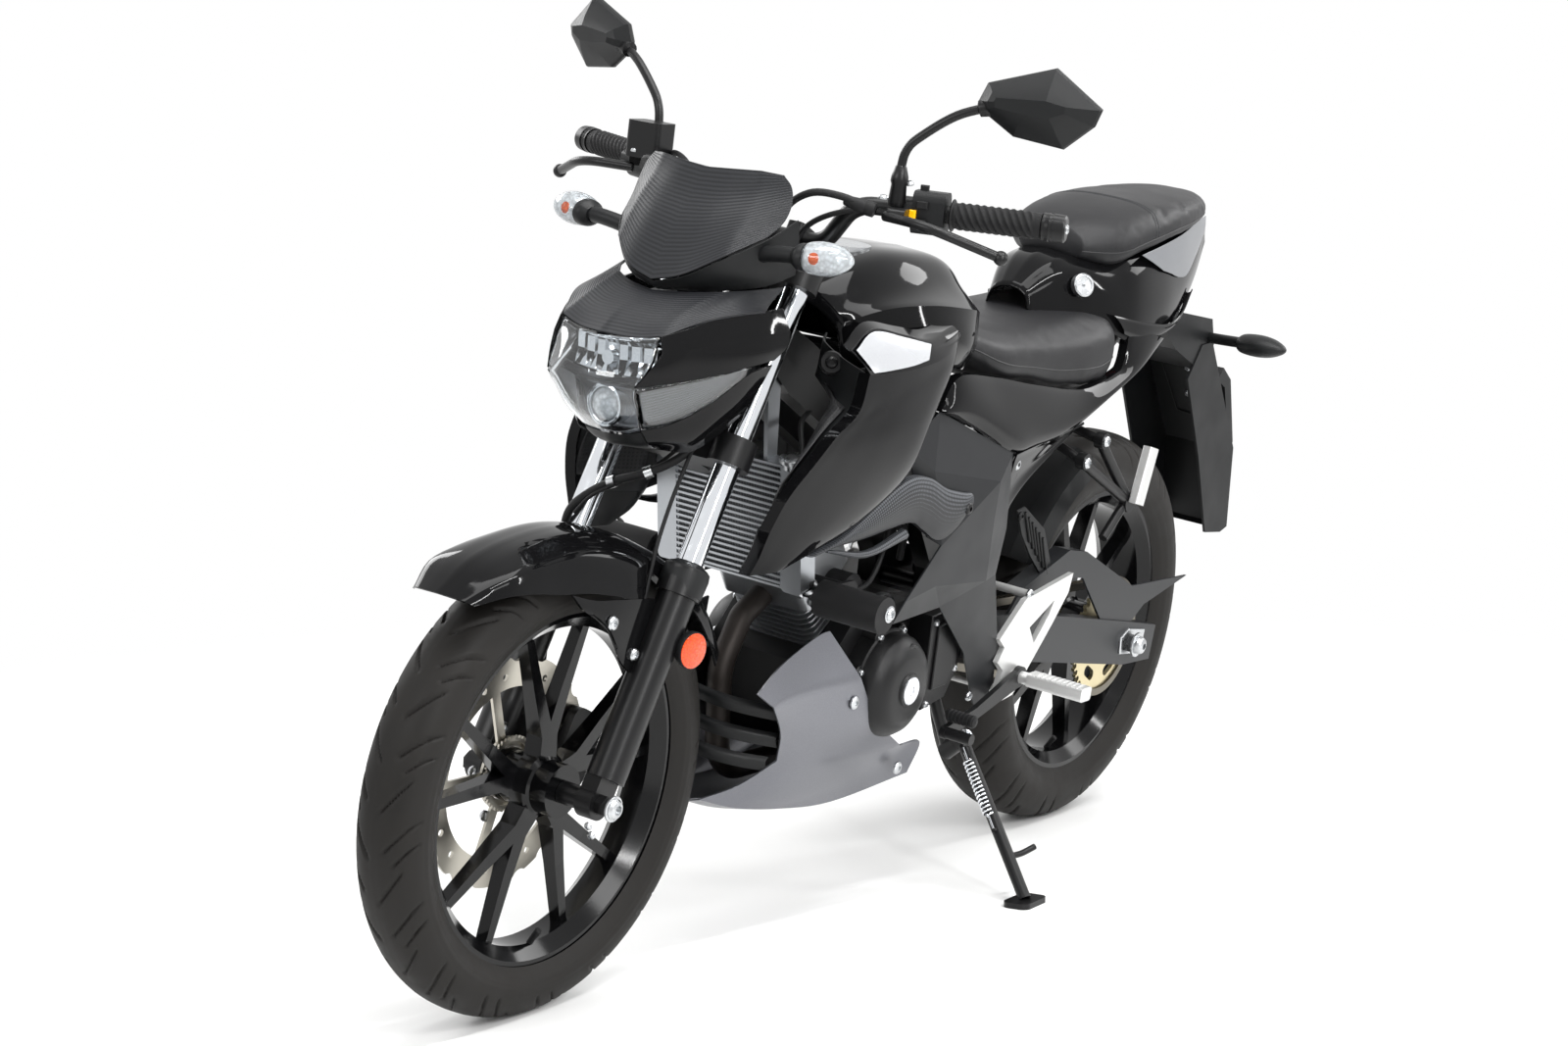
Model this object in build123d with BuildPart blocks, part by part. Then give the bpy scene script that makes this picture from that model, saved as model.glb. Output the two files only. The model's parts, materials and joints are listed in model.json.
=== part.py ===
from build123d import *
import os
from math import atan2, cos, degrees, hypot, pi, radians, sin, sqrt

# A light standard motorcycle, leaning on its side stand.
# Each piece is modelled in the upright machine's frame: +X forward, +Y to the rider's left, +Z up,
# with the origin on the floor midway between the axles. At the end of each piece it is leaned
# onto the stand with the rest of the machine, and the steered pieces turn with the fork.

os.makedirs("parts", exist_ok=True)

# ---------------------------------------------------------------- driving dimensions (mm, degrees)
wheelbase = 1300.0
rake = 25.5
trail = 93.0
front_tyre_radius = 288.0
rear_tyre_radius = 306.0
front_tyre_width = 92.0
rear_tyre_width = 132.0
rim_flange_radius = 232.0
bead_seat_radius = 216.0
front_rim_width = 55.0
rear_rim_width = 89.0
running_gap = 0.3          # radial gap of a shaft in its bore
panel = 4.0                # thickness of the moulded panels
lean = 9.13                # parked lean to the left
parked_steer = -2.0        # parked steering angle about the steering axis
steering_lock = 35.0

front_axle_at = (wheelbase / 2, 0.0, front_tyre_radius)
rear_axle_at = (-wheelbase / 2, 0.0, rear_tyre_radius)

# The fork frame: u forward, v left, w up the steering axis, zero where that axis meets the floor.
fork_u = (cos(radians(rake)), 0.0, sin(radians(rake)))
fork_w = (-sin(radians(rake)), 0.0, cos(radians(rake)))
fork_foot = (wheelbase / 2 + trail, 0.0, 0.0)
fork_frame = Plane(origin=fork_foot, x_dir=fork_u, z_dir=fork_w)
axle_u = front_tyre_radius * sin(radians(rake)) - trail * cos(radians(rake))
axle_w = front_tyre_radius * cos(radians(rake)) + trail * sin(radians(rake))

# ---------------------------------------------------------------- where the pieces stand when parked
parked = Location((0, 0, 0), (-lean, 0, 0))
steer_turn = fork_frame.location * Location((0, 0, 0), (0, 0, parked_steer)) * fork_frame.location.inverse()
parked_steered = parked * steer_turn
standing = []       # finished pieces that lean with the machine
steered = []        # finished pieces that also turn with the fork


def fork_point(u, v, w):
    """A point of the fork frame in the machine's frame."""
    return (fork_foot[0] + u * fork_u[0] + w * fork_w[0], v, u * fork_u[2] + w * fork_w[2])


def side_plane(y=0.0, origin=(0, 0, 0)):
    """Side-view plane at y: local x forward, local y up. A negative extrude goes to the left."""
    return Plane(origin=(origin[0], y, origin[2]), x_dir=(1, 0, 0), z_dir=(0, -1, 0))


def fork_side_plane(v=0.0):
    """Side-view plane of the fork frame: local x is u, local y is w."""
    return Plane(origin=(fork_foot[0], v, 0), x_dir=fork_u, z_dir=(0, -1, 0))


def across_plane(x):
    """Cross-section plane at x: local x to the left, local y up."""
    return Plane.YZ.offset(x)


def polar(radius, angle):
    """A point at this radius and angle of a sketch."""
    return (radius * cos(radians(angle)), radius * sin(radians(angle)))


def rod(start, end, radius, hole=0.0, mode=Mode.ADD):
    """A round bar or tube from one point to another, for use inside a part."""
    direction = Vector(*end) - Vector(*start)
    with BuildSketch(Plane(origin=start, z_dir=direction)) as section:
        Circle(radius)
        if hole:
            Circle(hole, mode=Mode.SUBTRACT)
    extrude(section.sketch, amount=direction.length, mode=mode)


def bent_tube(points, radii, radius):
    """A tube along straight runs joined by tangent arcs, for use inside a part."""
    with BuildLine() as route:
        FilletPolyline(*points, radius=radii)
    with BuildSketch(Plane(origin=points[0], z_dir=Vector(*points[1]) - Vector(*points[0]))) as section:
        Circle(radius)
    sweep(section.sketch, path=route.wires()[0])


def panel_section(near, far, swell, depth):
    """A panel's section from its front edge to its rear one, swollen outward between them."""
    span = Vector(*far) - Vector(*near)
    length = span.length
    outer = [
        (0, 0), (0.2 * length, 0.7 * swell), (0.5 * length, swell), (0.8 * length, 0.7 * swell), (length, 0),
    ]
    inner = [(x, y - depth) for x, y in reversed(outer)]
    along = span.normalized()
    with BuildSketch(Plane(origin=near, x_dir=along, z_dir=along.cross(Vector(0, 1, 0)))) as section:
        with BuildLine():
            Polyline(*outer, *inner, close=True)
        make_face()
    return section.sketch.faces()[0]


def curved_panel(front, rear, swell, depth=panel):
    """A panel ruled through sections, each from a point of its front edge to one of its rear edge."""
    sections = [panel_section(near, far, swell, depth) for near, far in zip(front, rear)]
    made = loft(sections, ruled=True, mode=Mode.PRIVATE)
    if made.volume < 0:
        made = loft(sections[::-1], ruled=True, mode=Mode.PRIVATE)
    add(made)


def hull(sections, inset=0.0, drop=0.0, overrun=0.0, mode=Mode.ADD):
    """A body ruled through cross sections of x and a left half outline from its foot up to its middle."""
    faces = []
    last = len(sections) - 1
    for k, (x, half_outline) in enumerate(sections):
        left = [(max(y - inset, 0.0), z - inset) for y, z in half_outline]
        left[0] = (left[0][0], left[0][1] + inset - drop)
        right = [(-y, z) for y, z in reversed(left) if y > 0]
        shift = overrun if k == 0 else -overrun if k == last else 0.0
        with BuildSketch(across_plane(x + shift)) as section:
            with BuildLine():
                Polyline(*left, *right, close=True)
            make_face()
        faces.append(section.sketch.faces()[0])
    loft(faces, ruled=True, mode=mode)


# ================================================================ wheels
tyre_wall = 7.0


def wheel_plane(axle_at):
    """Half section plane of a wheel: local x along the axle to the left, local y outward."""
    return Plane(origin=axle_at, x_dir=(0, 1, 0), z_dir=(1, 0, 0))


def radial_plane(axle_at, angle):
    """Half section plane of a wheel turned to this angle above the forward direction."""
    return Plane(origin=axle_at, x_dir=(0, 1, 0), z_dir=(sin(radians(angle)), 0, -cos(radians(angle))))


def tyre_ring(axle_at, radius, width, rim_width):
    """A hollow tyre: round tread, bulging side walls and beads that sit on the rim."""
    half = width / 2
    bead = rim_width / 2 - 0.3
    foot = bead_seat_radius + 0.3
    over_flange = rim_flange_radius + 0.8
    shoulder = radius - half * 0.62
    widest = (rim_flange_radius + shoulder) / 2 + 4
    with BuildPart() as tyre:
        with BuildSketch(wheel_plane(axle_at)):
            with BuildLine():
                ThreePointArc((-half, shoulder), (0, radius), (half, shoulder))
                ThreePointArc((half, shoulder), (half + 0.5, widest), (bead + 5, over_flange))
                Polyline((bead + 5, over_flange), (bead, over_flange), (bead, foot), (bead - 10, foot))
                Line((bead - 10, foot), (bead - 7, over_flange))
                ThreePointArc((bead - 7, over_flange), (half - tyre_wall, widest), (half - tyre_wall, shoulder))
                ThreePointArc(
                    (half - tyre_wall, shoulder), (0, radius - tyre_wall - 4), (tyre_wall - half, shoulder),
                )
                ThreePointArc((tyre_wall - half, shoulder), (tyre_wall - half, widest), (7 - bead, over_flange))
                Line((7 - bead, over_flange), (10 - bead, foot))
                Polyline((10 - bead, foot), (-bead, foot), (-bead, over_flange), (-bead - 5, over_flange))
                ThreePointArc((-bead - 5, over_flange), (-half - 0.5, widest), (-half, shoulder))
            make_face()
        revolve(axis=Axis(axle_at, (0, 1, 0)))
    return tyre


spoke_pairs = 5
spoke_split_radius = 62.0
spoke_spread = 15.5             # degrees from a pair's middle to each spoke end
rim_wall = 4.0
well_radius = 203.0


def forked_spokes(axle_at, spoke_depth):
    """Pairs of forked spokes that get thinner from the hub to the rim."""
    half = spoke_depth / 2
    with BuildPart() as spokes:
        with BuildSketch(side_plane(half, axle_at)):
            with PolarLocations(0, spoke_pairs, start_angle=90):
                Polygon(
                    (0, -17), (0, 17), (spoke_split_radius, 14), polar(well_radius - 2, spoke_spread + 1.7),
                    polar(well_radius - 2, spoke_spread - 1.7), (spoke_split_radius + 18, 0),
                    polar(well_radius - 2, 1.7 - spoke_spread), polar(well_radius - 2, -1.7 - spoke_spread),
                    (spoke_split_radius, -14), align=None,
                )
        extrude(amount=spoke_depth)
        with BuildSketch(wheel_plane(axle_at)):
            Polygon(
                (-half, 0), (-half, 46), (-half * 0.72, 120), (-half * 0.62, well_radius),
                (half * 0.62, well_radius),
                (half * 0.72, 120), (half, 46), (half, 0), align=None,
            )
        revolve(axis=Axis(axle_at, (0, 1, 0)), mode=Mode.INTERSECT)
    return spokes


def cast_rim(axle_at, rim_width, hub_radius, hub_left, hub_right, axle_radius, spoke_depth):
    """A cast wheel: flanged barrel with a well, bored hub and pairs of forked spokes."""
    half = rim_width / 2
    flange = half + rim_wall
    with BuildPart() as rim:
        with BuildSketch(wheel_plane(axle_at)):
            Polygon(
                (-flange, rim_flange_radius), (-half, rim_flange_radius), (-half, bead_seat_radius),
                (10 - half, bead_seat_radius - 1), (16 - half, well_radius), (half - 16, well_radius),
                (half - 10, bead_seat_radius - 1), (half, bead_seat_radius), (half, rim_flange_radius),
                (flange, rim_flange_radius), (flange, bead_seat_radius - 3),
                (half - 12, well_radius - rim_wall - 1),
                (12 - half, well_radius - rim_wall - 1), (-flange, bead_seat_radius - 3), align=None,
            )
        revolve(axis=Axis(axle_at, (0, 1, 0)))
        # the hub: a barrel with a thicker middle where the spokes run in
        with BuildSketch(wheel_plane(axle_at)):
            Polygon(
                (hub_right, 0), (hub_right, hub_radius), (-spoke_depth * 0.6, hub_radius),
                (-spoke_depth * 0.4, hub_radius + 7), (spoke_depth * 0.4, hub_radius + 7),
                (spoke_depth * 0.6, hub_radius),
                (hub_left, hub_radius), (hub_left, 0), align=None,
            )
        revolve(axis=Axis(axle_at, (0, 1, 0)))
        add(forked_spokes(axle_at, spoke_depth).part)
        with BuildSketch(side_plane(hub_left, axle_at)):
            Circle(axle_radius + running_gap)
        extrude(amount=hub_left - hub_right, mode=Mode.SUBTRACT)
    return rim


disc_thickness = 4.0


def petal_disc(axle_at, radius, y, petals, hub_radius, carrier_radius):
    """A drilled brake disc with a waved rim on a spoked carrier, its left face at y."""
    with BuildPart() as disc:
        with BuildSketch(side_plane(y, axle_at)):
            Circle(radius)
            with PolarLocations(radius + 9, petals):
                Circle(14, mode=Mode.SUBTRACT)
            Circle(carrier_radius, mode=Mode.SUBTRACT)
            Circle(hub_radius + 12)
            with PolarLocations(hub_radius + 6, 5):
                Rectangle(carrier_radius - hub_radius + 4, 14, align=(Align.MIN, Align.CENTER))
            Circle(hub_radius, mode=Mode.SUBTRACT)
            with PolarLocations((radius + carrier_radius) / 2 - 3, petals, start_angle=180 / petals):
                Circle(4.5, mode=Mode.SUBTRACT)
        extrude(amount=disc_thickness)
    return disc


axle_radius = 8.0
front_hub_half = 40.0
front_disc_y = -52.0
front_disc_radius = 145.0

front_tyre = tyre_ring(front_axle_at, front_tyre_radius, front_tyre_width, front_rim_width)
front_tyre.part.label = "front_tyre"
steered.append(front_tyre.part)

front_rim = cast_rim(front_axle_at, front_rim_width, 33, front_hub_half, -front_hub_half - 10, axle_radius, 26)
front_rim.part.label = "front_rim"
steered.append(front_rim.part)

front_disc = petal_disc(front_axle_at, front_disc_radius, front_disc_y + 3, 20, 33 + running_gap, 108)
front_disc.part.label = "front_disc"
steered.append(front_disc.part)

rear_hub_left = 62.0
rear_hub_right = -62.0
rear_disc_y = rear_hub_right
rear_disc_radius = 93.0

rear_tyre = tyre_ring(rear_axle_at, rear_tyre_radius, rear_tyre_width, rear_rim_width)
rear_tyre.part.label = "rear_tyre"
standing.append(rear_tyre.part)

rear_rim = cast_rim(rear_axle_at, rear_rim_width, 42, rear_hub_left, rear_hub_right, axle_radius, 34)
rear_rim.part.label = "rear_rim"
standing.append(rear_rim.part)

rear_disc = petal_disc(rear_axle_at, rear_disc_radius, rear_disc_y, 14, 40, 66)
rear_disc.part.label = "rear_disc"
standing.append(rear_disc.part)

# ================================================================ chain drive
chain_y = 80.0
chain_pitch = 12.7
roller_radius = 4.25
inner_width = 8.0
link_plate = 2.4
link_height = 11.0
front_teeth = 15
rear_teeth = 44
front_sprocket_at = (-85.0, chain_y, 385.0)
rear_sprocket_at = (rear_axle_at[0], chain_y, rear_axle_at[2])
front_pitch_radius = chain_pitch / 2 / sin(pi / front_teeth)
rear_pitch_radius = chain_pitch / 2 / sin(pi / rear_teeth)
sprocket_thickness = 6.0


def sprocket(teeth, pitch_radius, bore):
    """A toothed ring: a tooth tip disc with a roller seat cut between each two teeth."""
    Circle(pitch_radius + 3.2)
    with PolarLocations(pitch_radius + 0.6, teeth):
        Circle(roller_radius + 0.4, mode=Mode.SUBTRACT)
    Circle(bore, mode=Mode.SUBTRACT)


with BuildPart() as rear_sprocket:
    with BuildSketch(side_plane(chain_y + sprocket_thickness / 2, rear_sprocket_at)):
        sprocket(rear_teeth, rear_pitch_radius, 36)
        with PolarLocations((rear_pitch_radius + 42) / 2 - 2, 6):
            SlotOverall(34, 17, rotation=90, mode=Mode.SUBTRACT)
    extrude(amount=sprocket_thickness)
    # cush-drive carrier between the sprocket and the hub
    with BuildSketch(side_plane(chain_y - sprocket_thickness / 2, rear_sprocket_at)):
        Circle(48)
        Circle(axle_radius + running_gap, mode=Mode.SUBTRACT)
    extrude(amount=chain_y - sprocket_thickness / 2 - rear_hub_left)
rear_sprocket.part.label = "rear_sprocket"
standing.append(rear_sprocket.part)

# the belt line round both sprockets: tangent points from the difference of the pitch radii
centre_run = hypot(front_sprocket_at[0] - rear_sprocket_at[0], front_sprocket_at[2] - rear_sprocket_at[2])
run_slope = degrees(atan2(front_sprocket_at[2] - rear_sprocket_at[2], front_sprocket_at[0] - rear_sprocket_at[0]))
radius_gap = rear_pitch_radius - front_pitch_radius
wrap = degrees(atan2(radius_gap, sqrt(centre_run**2 - radius_gap**2)))


def chain_outline(offset):
    """The chain loop's outline at this distance from the pitch line, seen from the side."""
    rear = (rear_sprocket_at[0], rear_sprocket_at[2])
    front = (front_sprocket_at[0], front_sprocket_at[2])
    upper = run_slope + 90 - wrap
    lower = run_slope - 90 + wrap

    def on(centre, pitch_radius, angle):
        x, z = polar(pitch_radius + offset, angle)
        return (centre[0] + x, centre[1] + z)

    Line(on(rear, rear_pitch_radius, upper), on(front, front_pitch_radius, upper))
    ThreePointArc(
        on(front, front_pitch_radius, upper), on(front, front_pitch_radius, run_slope),
        on(front, front_pitch_radius, lower),
    )
    Line(on(front, front_pitch_radius, lower), on(rear, rear_pitch_radius, lower))
    ThreePointArc(
        on(rear, rear_pitch_radius, lower), on(rear, rear_pitch_radius, run_slope + 180),
        on(rear, rear_pitch_radius, upper),
    )


with BuildPart() as drive_chain:
    for plate_y in (chain_y + inner_width / 2 + link_plate, chain_y - inner_width / 2):
        with BuildSketch(side_plane(plate_y)):
            with BuildLine():
                chain_outline(link_height / 2)
            make_face()
            with BuildLine():
                chain_outline(-link_height / 2)
            make_face(mode=Mode.SUBTRACT)
        extrude(amount=link_plate)
    # rollers on the two straight runs only, so that the wheel's teeth turn between the plates
    run_length = sqrt(centre_run**2 - (rear_pitch_radius - front_pitch_radius)**2)
    rollers = int(run_length / chain_pitch) - 3
    for side in (1, -1):
        angle = run_slope + side * (90 - wrap)
        start = Vector(*polar(rear_pitch_radius, angle)) + Vector(rear_sprocket_at[0], rear_sprocket_at[2])
        along = Vector(*polar(1, run_slope - side * wrap))
        with BuildSketch(side_plane(chain_y + inner_width / 2)):
            for k in range(4, rollers):
                at = start + along * (k * chain_pitch)
                with Locations((at.X, at.Y)):
                    Circle(roller_radius)
        extrude(amount=inner_width)
drive_chain.part.label = "drive_chain"
standing.append(drive_chain.part)

# ================================================================ fork and steering
leg_v = 90.0
leg_u = axle_u - 2.0
stanchion_radius = 16.5
slider_radius = 24.0
slider_top_w = 600.0
lower_yoke_w = 735.0
upper_yoke_w = 970.0
yoke_thickness = 28.0
stem_radius = 14.0
caliper_half = 18.0
caliper_face_v = front_disc_y + 1 - caliper_half

with BuildPart() as stanchions:
    for v in (leg_v, -leg_v):
        with BuildSketch(fork_frame.offset(slider_top_w - 60)):
            with Locations((leg_u, v)):
                Circle(stanchion_radius)
        extrude(amount=upper_yoke_w + yoke_thickness + 8 - slider_top_w + 60)
stanchions.part.label = "stanchions"
steered.append(stanchions.part)

lug_inner = 74.0               # the axle lug's faces, from the machine's middle
lug_outer = 98.0
lug_radius = 20.0
with BuildPart() as sliders:
    for side in (1, -1):
        with BuildSketch(fork_frame.offset(axle_w + 30)):
            with Locations((leg_u, side * leg_v)):
                Circle(slider_radius)
        extrude(amount=slider_top_w - axle_w - 30)
        with BuildSketch(fork_frame.offset(slider_top_w - 34)):
            with Locations((leg_u, side * leg_v)):
                Circle(slider_radius + 4)
        extrude(amount=34)
        with BuildSketch(fork_side_plane(side * (lug_outer if side > 0 else lug_inner))):
            with Locations((axle_u, axle_w)):
                Circle(lug_radius)
            with Locations((leg_u, axle_w + 30)):
                Rectangle(2 * lug_radius - 2, 62)
        extrude(amount=lug_outer - lug_inner)
        with BuildSketch(fork_frame.offset(slider_top_w - 60)):
            with Locations((leg_u, side * leg_v)):
                Circle(stanchion_radius + running_gap)
        extrude(amount=60, mode=Mode.SUBTRACT)
    # caliper lug behind the right leg
    with BuildSketch(fork_side_plane(caliper_face_v - running_gap)):
        with Locations((axle_u - 44, axle_w + 66)):
            RectangleRounded(96, 74, 14)
    extrude(amount=12)
    # axle with its nuts and the spacers on both sides of the hub
    rod(fork_point(axle_u, -lug_outer - 8, axle_w), fork_point(axle_u, lug_outer + 8, axle_w), axle_radius)
    for side in (1, -1):
        nut_face = Plane(origin=fork_point(axle_u, side * lug_outer, axle_w), x_dir=fork_u, z_dir=(0, side, 0))
        with BuildSketch(nut_face):
            RegularPolygon(13, 6)
        extrude(amount=10)
        hub_end = front_hub_half + (0 if side > 0 else 10)
        spacer_face = Plane(
            origin=fork_point(axle_u, side * (hub_end + 0.5), axle_w), x_dir=fork_u, z_dir=(0, side, 0),
        )
        with BuildSketch(spacer_face):
            Circle(14)
        extrude(amount=lug_inner - hub_end - 0.5)
sliders.part.label = "sliders"
steered.append(sliders.part)

with BuildPart() as lower_yoke:
    with BuildSketch(fork_frame.offset(lower_yoke_w)):
        Circle(34)
        with Locations((leg_u - 6, 0)):
            RectangleRounded(44, 2 * leg_v, 12)
        with Locations((leg_u, leg_v), (leg_u, -leg_v)):
            Circle(stanchion_radius + 10)
            Circle(stanchion_radius + running_gap, mode=Mode.SUBTRACT)
    extrude(amount=yoke_thickness + 8)
    with BuildSketch(fork_frame.offset(lower_yoke_w + yoke_thickness)):
        Circle(stem_radius)
    extrude(amount=upper_yoke_w + yoke_thickness - lower_yoke_w - yoke_thickness)
lower_yoke.part.label = "lower_yoke"
steered.append(lower_yoke.part)

riser_u = 8.0
riser_v = 42.0
bar_w = 1044.0
bar_radius = 11.1

with BuildPart() as upper_yoke:
    with BuildSketch(fork_frame.offset(upper_yoke_w)):
        Circle(32)
        with Locations((leg_u - 12, 0)):
            RectangleRounded(50, 2 * leg_v, 16)
        with Locations((leg_u, leg_v), (leg_u, -leg_v)):
            Circle(stanchion_radius + 9)
            Circle(stanchion_radius + running_gap, mode=Mode.SUBTRACT)
        Circle(stem_radius + running_gap, mode=Mode.SUBTRACT)
    extrude(amount=yoke_thickness)
    # bar risers with their caps
    with BuildSketch(fork_frame.offset(upper_yoke_w + yoke_thickness)):
        with Locations((riser_u, riser_v), (riser_u, -riser_v)):
            RectangleRounded(36, 24, 6)
    extrude(amount=bar_w + 17 - upper_yoke_w - yoke_thickness)
    with BuildSketch(Plane(origin=fork_point(riser_u, 80, bar_w), x_dir=fork_u, z_dir=(0, -1, 0))):
        Circle(bar_radius + 0.05)
    extrude(amount=160, mode=Mode.SUBTRACT)
upper_yoke.part.label = "upper_yoke"
steered.append(upper_yoke.part)

# ---------------------------------------------------------------- handlebar and its fittings
bar_mid = fork_point(riser_u, 0, bar_w)
bar_rise_at = (bar_mid[0] + 12, 130.0, 1004.0)
bar_end = (221.0, 372.0, 1010.0)
bar_corner = (bar_mid[0], 82.0, bar_mid[2])


def mirrored(point):
    """The same point on the right."""
    return (point[0], -point[1], point[2])


def along_bar(distance, side=1):
    """A point on the bar's straight end, this far from its outer end, and the outward direction."""
    end = Vector(*bar_end)
    inward = (Vector(*bar_rise_at) - end).normalized()
    at = end + inward * distance
    return Vector(at.X, side * at.Y, at.Z), Vector(-inward.X, -side * inward.Y, -inward.Z)


bar_weight = 26.0
grip_length = 118.0
grip_radius = 16.5
with BuildPart() as handlebar:
    grip_end = tuple(along_bar(bar_weight)[0])
    bent_tube(
        [mirrored(grip_end), mirrored(bar_rise_at), mirrored(bar_corner), bar_corner, bar_rise_at, grip_end],
        [45, 45, 45, 45], bar_radius,
    )
    # end weights
    for side in (1, -1):
        at, outward = along_bar(bar_weight - 0.3, side)
        with BuildSketch(Plane(origin=at - outward * 0.3, z_dir=outward)):
            Circle(grip_radius + 0.5)
        extrude(amount=bar_weight, taper=4)
handlebar.part.label = "handlebar"
steered.append(handlebar.part)

with BuildPart() as grips:
    for side in (1, -1):
        at, outward = along_bar(bar_weight + grip_length, side)
        with BuildSketch(Plane(origin=at, z_dir=outward)):
            Circle(grip_radius)
            Circle(bar_radius + 0.1, mode=Mode.SUBTRACT)
        extrude(amount=grip_length - 0.3)
        with BuildSketch(Plane(origin=at, z_dir=outward)):
            Circle(grip_radius + 5)
            Circle(bar_radius + 0.1, mode=Mode.SUBTRACT)
        extrude(amount=4)
grips.part.label = "grips"
steered.append(grips.part)

switch_length = 40.0
switch_from_end = bar_weight + grip_length + 1.0
with BuildPart() as switchgear:
    for side in (1, -1):
        at, outward = along_bar(switch_from_end + switch_length, side)
        with BuildSketch(Plane(origin=at, x_dir=(0, 0, 1), z_dir=outward)):
            RectangleRounded(52, 42, 12)
            Circle(bar_radius + 0.1, mode=Mode.SUBTRACT)
        extrude(amount=switch_length)
switchgear.part.label = "switchgear"
steered.append(switchgear.part)

# lever brackets, ball-ended levers and the front brake's reservoir
lever_clamp_from_end = switch_from_end + switch_length + 1.0
lever_clamp = 22.0
with BuildPart() as levers:
    for side in (1, -1):
        at, outward = along_bar(lever_clamp_from_end + lever_clamp, side)
        middle = at + outward * (lever_clamp / 2)
        pivot = Vector(middle.X + 52, middle.Y + side * 6, middle.Z - 6)
        with BuildSketch(Plane(origin=at, x_dir=(1, 0, 0.0001), z_dir=outward)):
            Circle(bar_radius + 6)
            with Locations((28, 4)):
                RectangleRounded(56, 16, 6)
            Circle(bar_radius + 0.1, mode=Mode.SUBTRACT)
        extrude(amount=lever_clamp)
        bend = (pivot.X + 22, side * 262, 1000)
        tip = (307, side * 340, 972)
        bent_tube([(pivot.X, pivot.Y, pivot.Z), bend, tip], [60], 6)
        with Locations(tip):
            Sphere(9)
    # the reservoir stands on the right bracket
    at, outward = along_bar(lever_clamp_from_end + lever_clamp / 2, -1)
    with BuildSketch(Plane.XY.offset(at.Z + 8)):
        with Locations((at.X + 40, at.Y + 8)):
            RectangleRounded(40, 52, 8)
    extrude(amount=46)
levers.part.label = "levers"
steered.append(levers.part)

# ---------------------------------------------------------------- mirrors
mirror_base_from_end = lever_clamp_from_end + lever_clamp / 2
mirror_head = (253.0, 335.0, 1152.0)
with BuildPart() as mirrors:
    for side in (1, -1):
        at, outward = along_bar(mirror_base_from_end, side)
        foot = (at.X, at.Y, at.Z + bar_radius + 6 + running_gap)
        knee = (at.X + 4, side * 186, 1084)
        head = (mirror_head[0] + 18, side * 276, mirror_head[2] - 14)
        bent_tube([foot, knee, head], [22], 5.5)
        glass_plane = Plane(
            origin=(mirror_head[0], side * mirror_head[1], mirror_head[2]), x_dir=(-0.34, side * 0.94, 0),
            z_dir=(0.94, side * 0.34, -0.12),
        )
        for depth, share in ((0, 1.0), (16, 0.86), (32, 0.5)):
            with BuildSketch(glass_plane.offset(depth)):
                with BuildLine():
                    Spline(
                        *[(share * y, share * z) for y, z in (
                            (-78, -4), (-58, 28), (-6, 42), (48, 36), (76, 12), (62, -26), (18, -44),
                            (-44, -34),
                        )], periodic=True,
                    )
                make_face()
        loft()
mirrors.part.label = "mirrors"
steered.append(mirrors.part)

# ---------------------------------------------------------------- headlight, cowl, screen
lens_top = (640.0, 838.0)       # x, z of the lens face's top and bottom edges
lens_bottom = (602.0, 716.0)


def front_outline(top, upper, waist, foot, height):
    """Headlight outline seen from the front: half widths at top, upper corner, waist and foot."""
    Polyline(
        (-foot, 0), (-waist, height * 0.45), (-upper, height * 0.86), (-top, height),
        (top, height), (upper, height * 0.86), (waist, height * 0.45), (foot, 0), close=True,
    )


lens_slope = Vector(lens_top[0] - lens_bottom[0], 0, lens_top[1] - lens_bottom[1])
lens_plane = Plane(
    origin=(lens_bottom[0], 0, lens_bottom[1]), x_dir=(0, 1, 0), z_dir=(lens_slope.Z, 0, -lens_slope.X),
)
with BuildPart() as headlight:
    with BuildSketch(lens_plane.offset(-6)):
        with BuildLine():
            front_outline(60, 74, 62, 30, lens_slope.length)
        make_face()
    with BuildSketch(lens_plane.offset(-96)):
        with BuildLine():
            front_outline(46, 58, 50, 24, lens_slope.length - 16)
        make_face()
    loft()
headlight.part.label = "headlight"
steered.append(headlight.part)

def cowl_loft(front_x, rear_x, inset, drop, mode):
    """The cowl's body between its narrow front and its wide rear, inset by the panel's thickness."""
    front = [(40, 715 - drop), (80, 790), (86, 840), (60, 880)]
    rear = [(92, 715 - drop), (126, 800), (128, 880), (70, 915)]
    sections = []
    for x, half_outline in ((rear_x, rear), (front_x, front)):
        left = [(y - inset, z - (inset if z > 870 else 0)) for y, z in half_outline]
        right = [(-y, z) for y, z in reversed(left)]
        with BuildSketch(across_plane(x)) as section:
            with BuildLine():
                Polyline(*left, *right, close=True)
            make_face()
        sections.append(section.sketch.faces()[0])
    loft(sections, ruled=True, mode=mode)


cowl_side = [
    (598, 714), (618, 790), (600, 846), (572, 889), (500, 905), (430, 890), (430, 836), (470, 770), (492, 716),
]
with BuildPart() as cowl_hull:
    cowl_loft(625, 425, 0, 0, Mode.ADD)
stay_y = 66.0
with BuildPart() as headlight_cowl:
    cowl_loft(625, 425, 0, 0, Mode.ADD)
    cowl_loft(640, 410, panel, 15, Mode.SUBTRACT)
    with BuildSketch(side_plane(200)):
        with BuildLine():
            Polyline(*cowl_side, close=True)
        make_face()
    extrude(amount=400, mode=Mode.INTERSECT)
    # bosses that carry the cowl on the stays
    for side in (1, -1):
        rod((520, side * (stay_y + running_gap), 840), (520, side * 140, 840), 7)
        rod((540, side * (stay_y + running_gap), 760), (540, side * 140, 760), 7)
    add(cowl_hull.part, mode=Mode.INTERSECT)
headlight_cowl.part.label = "headlight_cowl"
steered.append(headlight_cowl.part)

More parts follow.
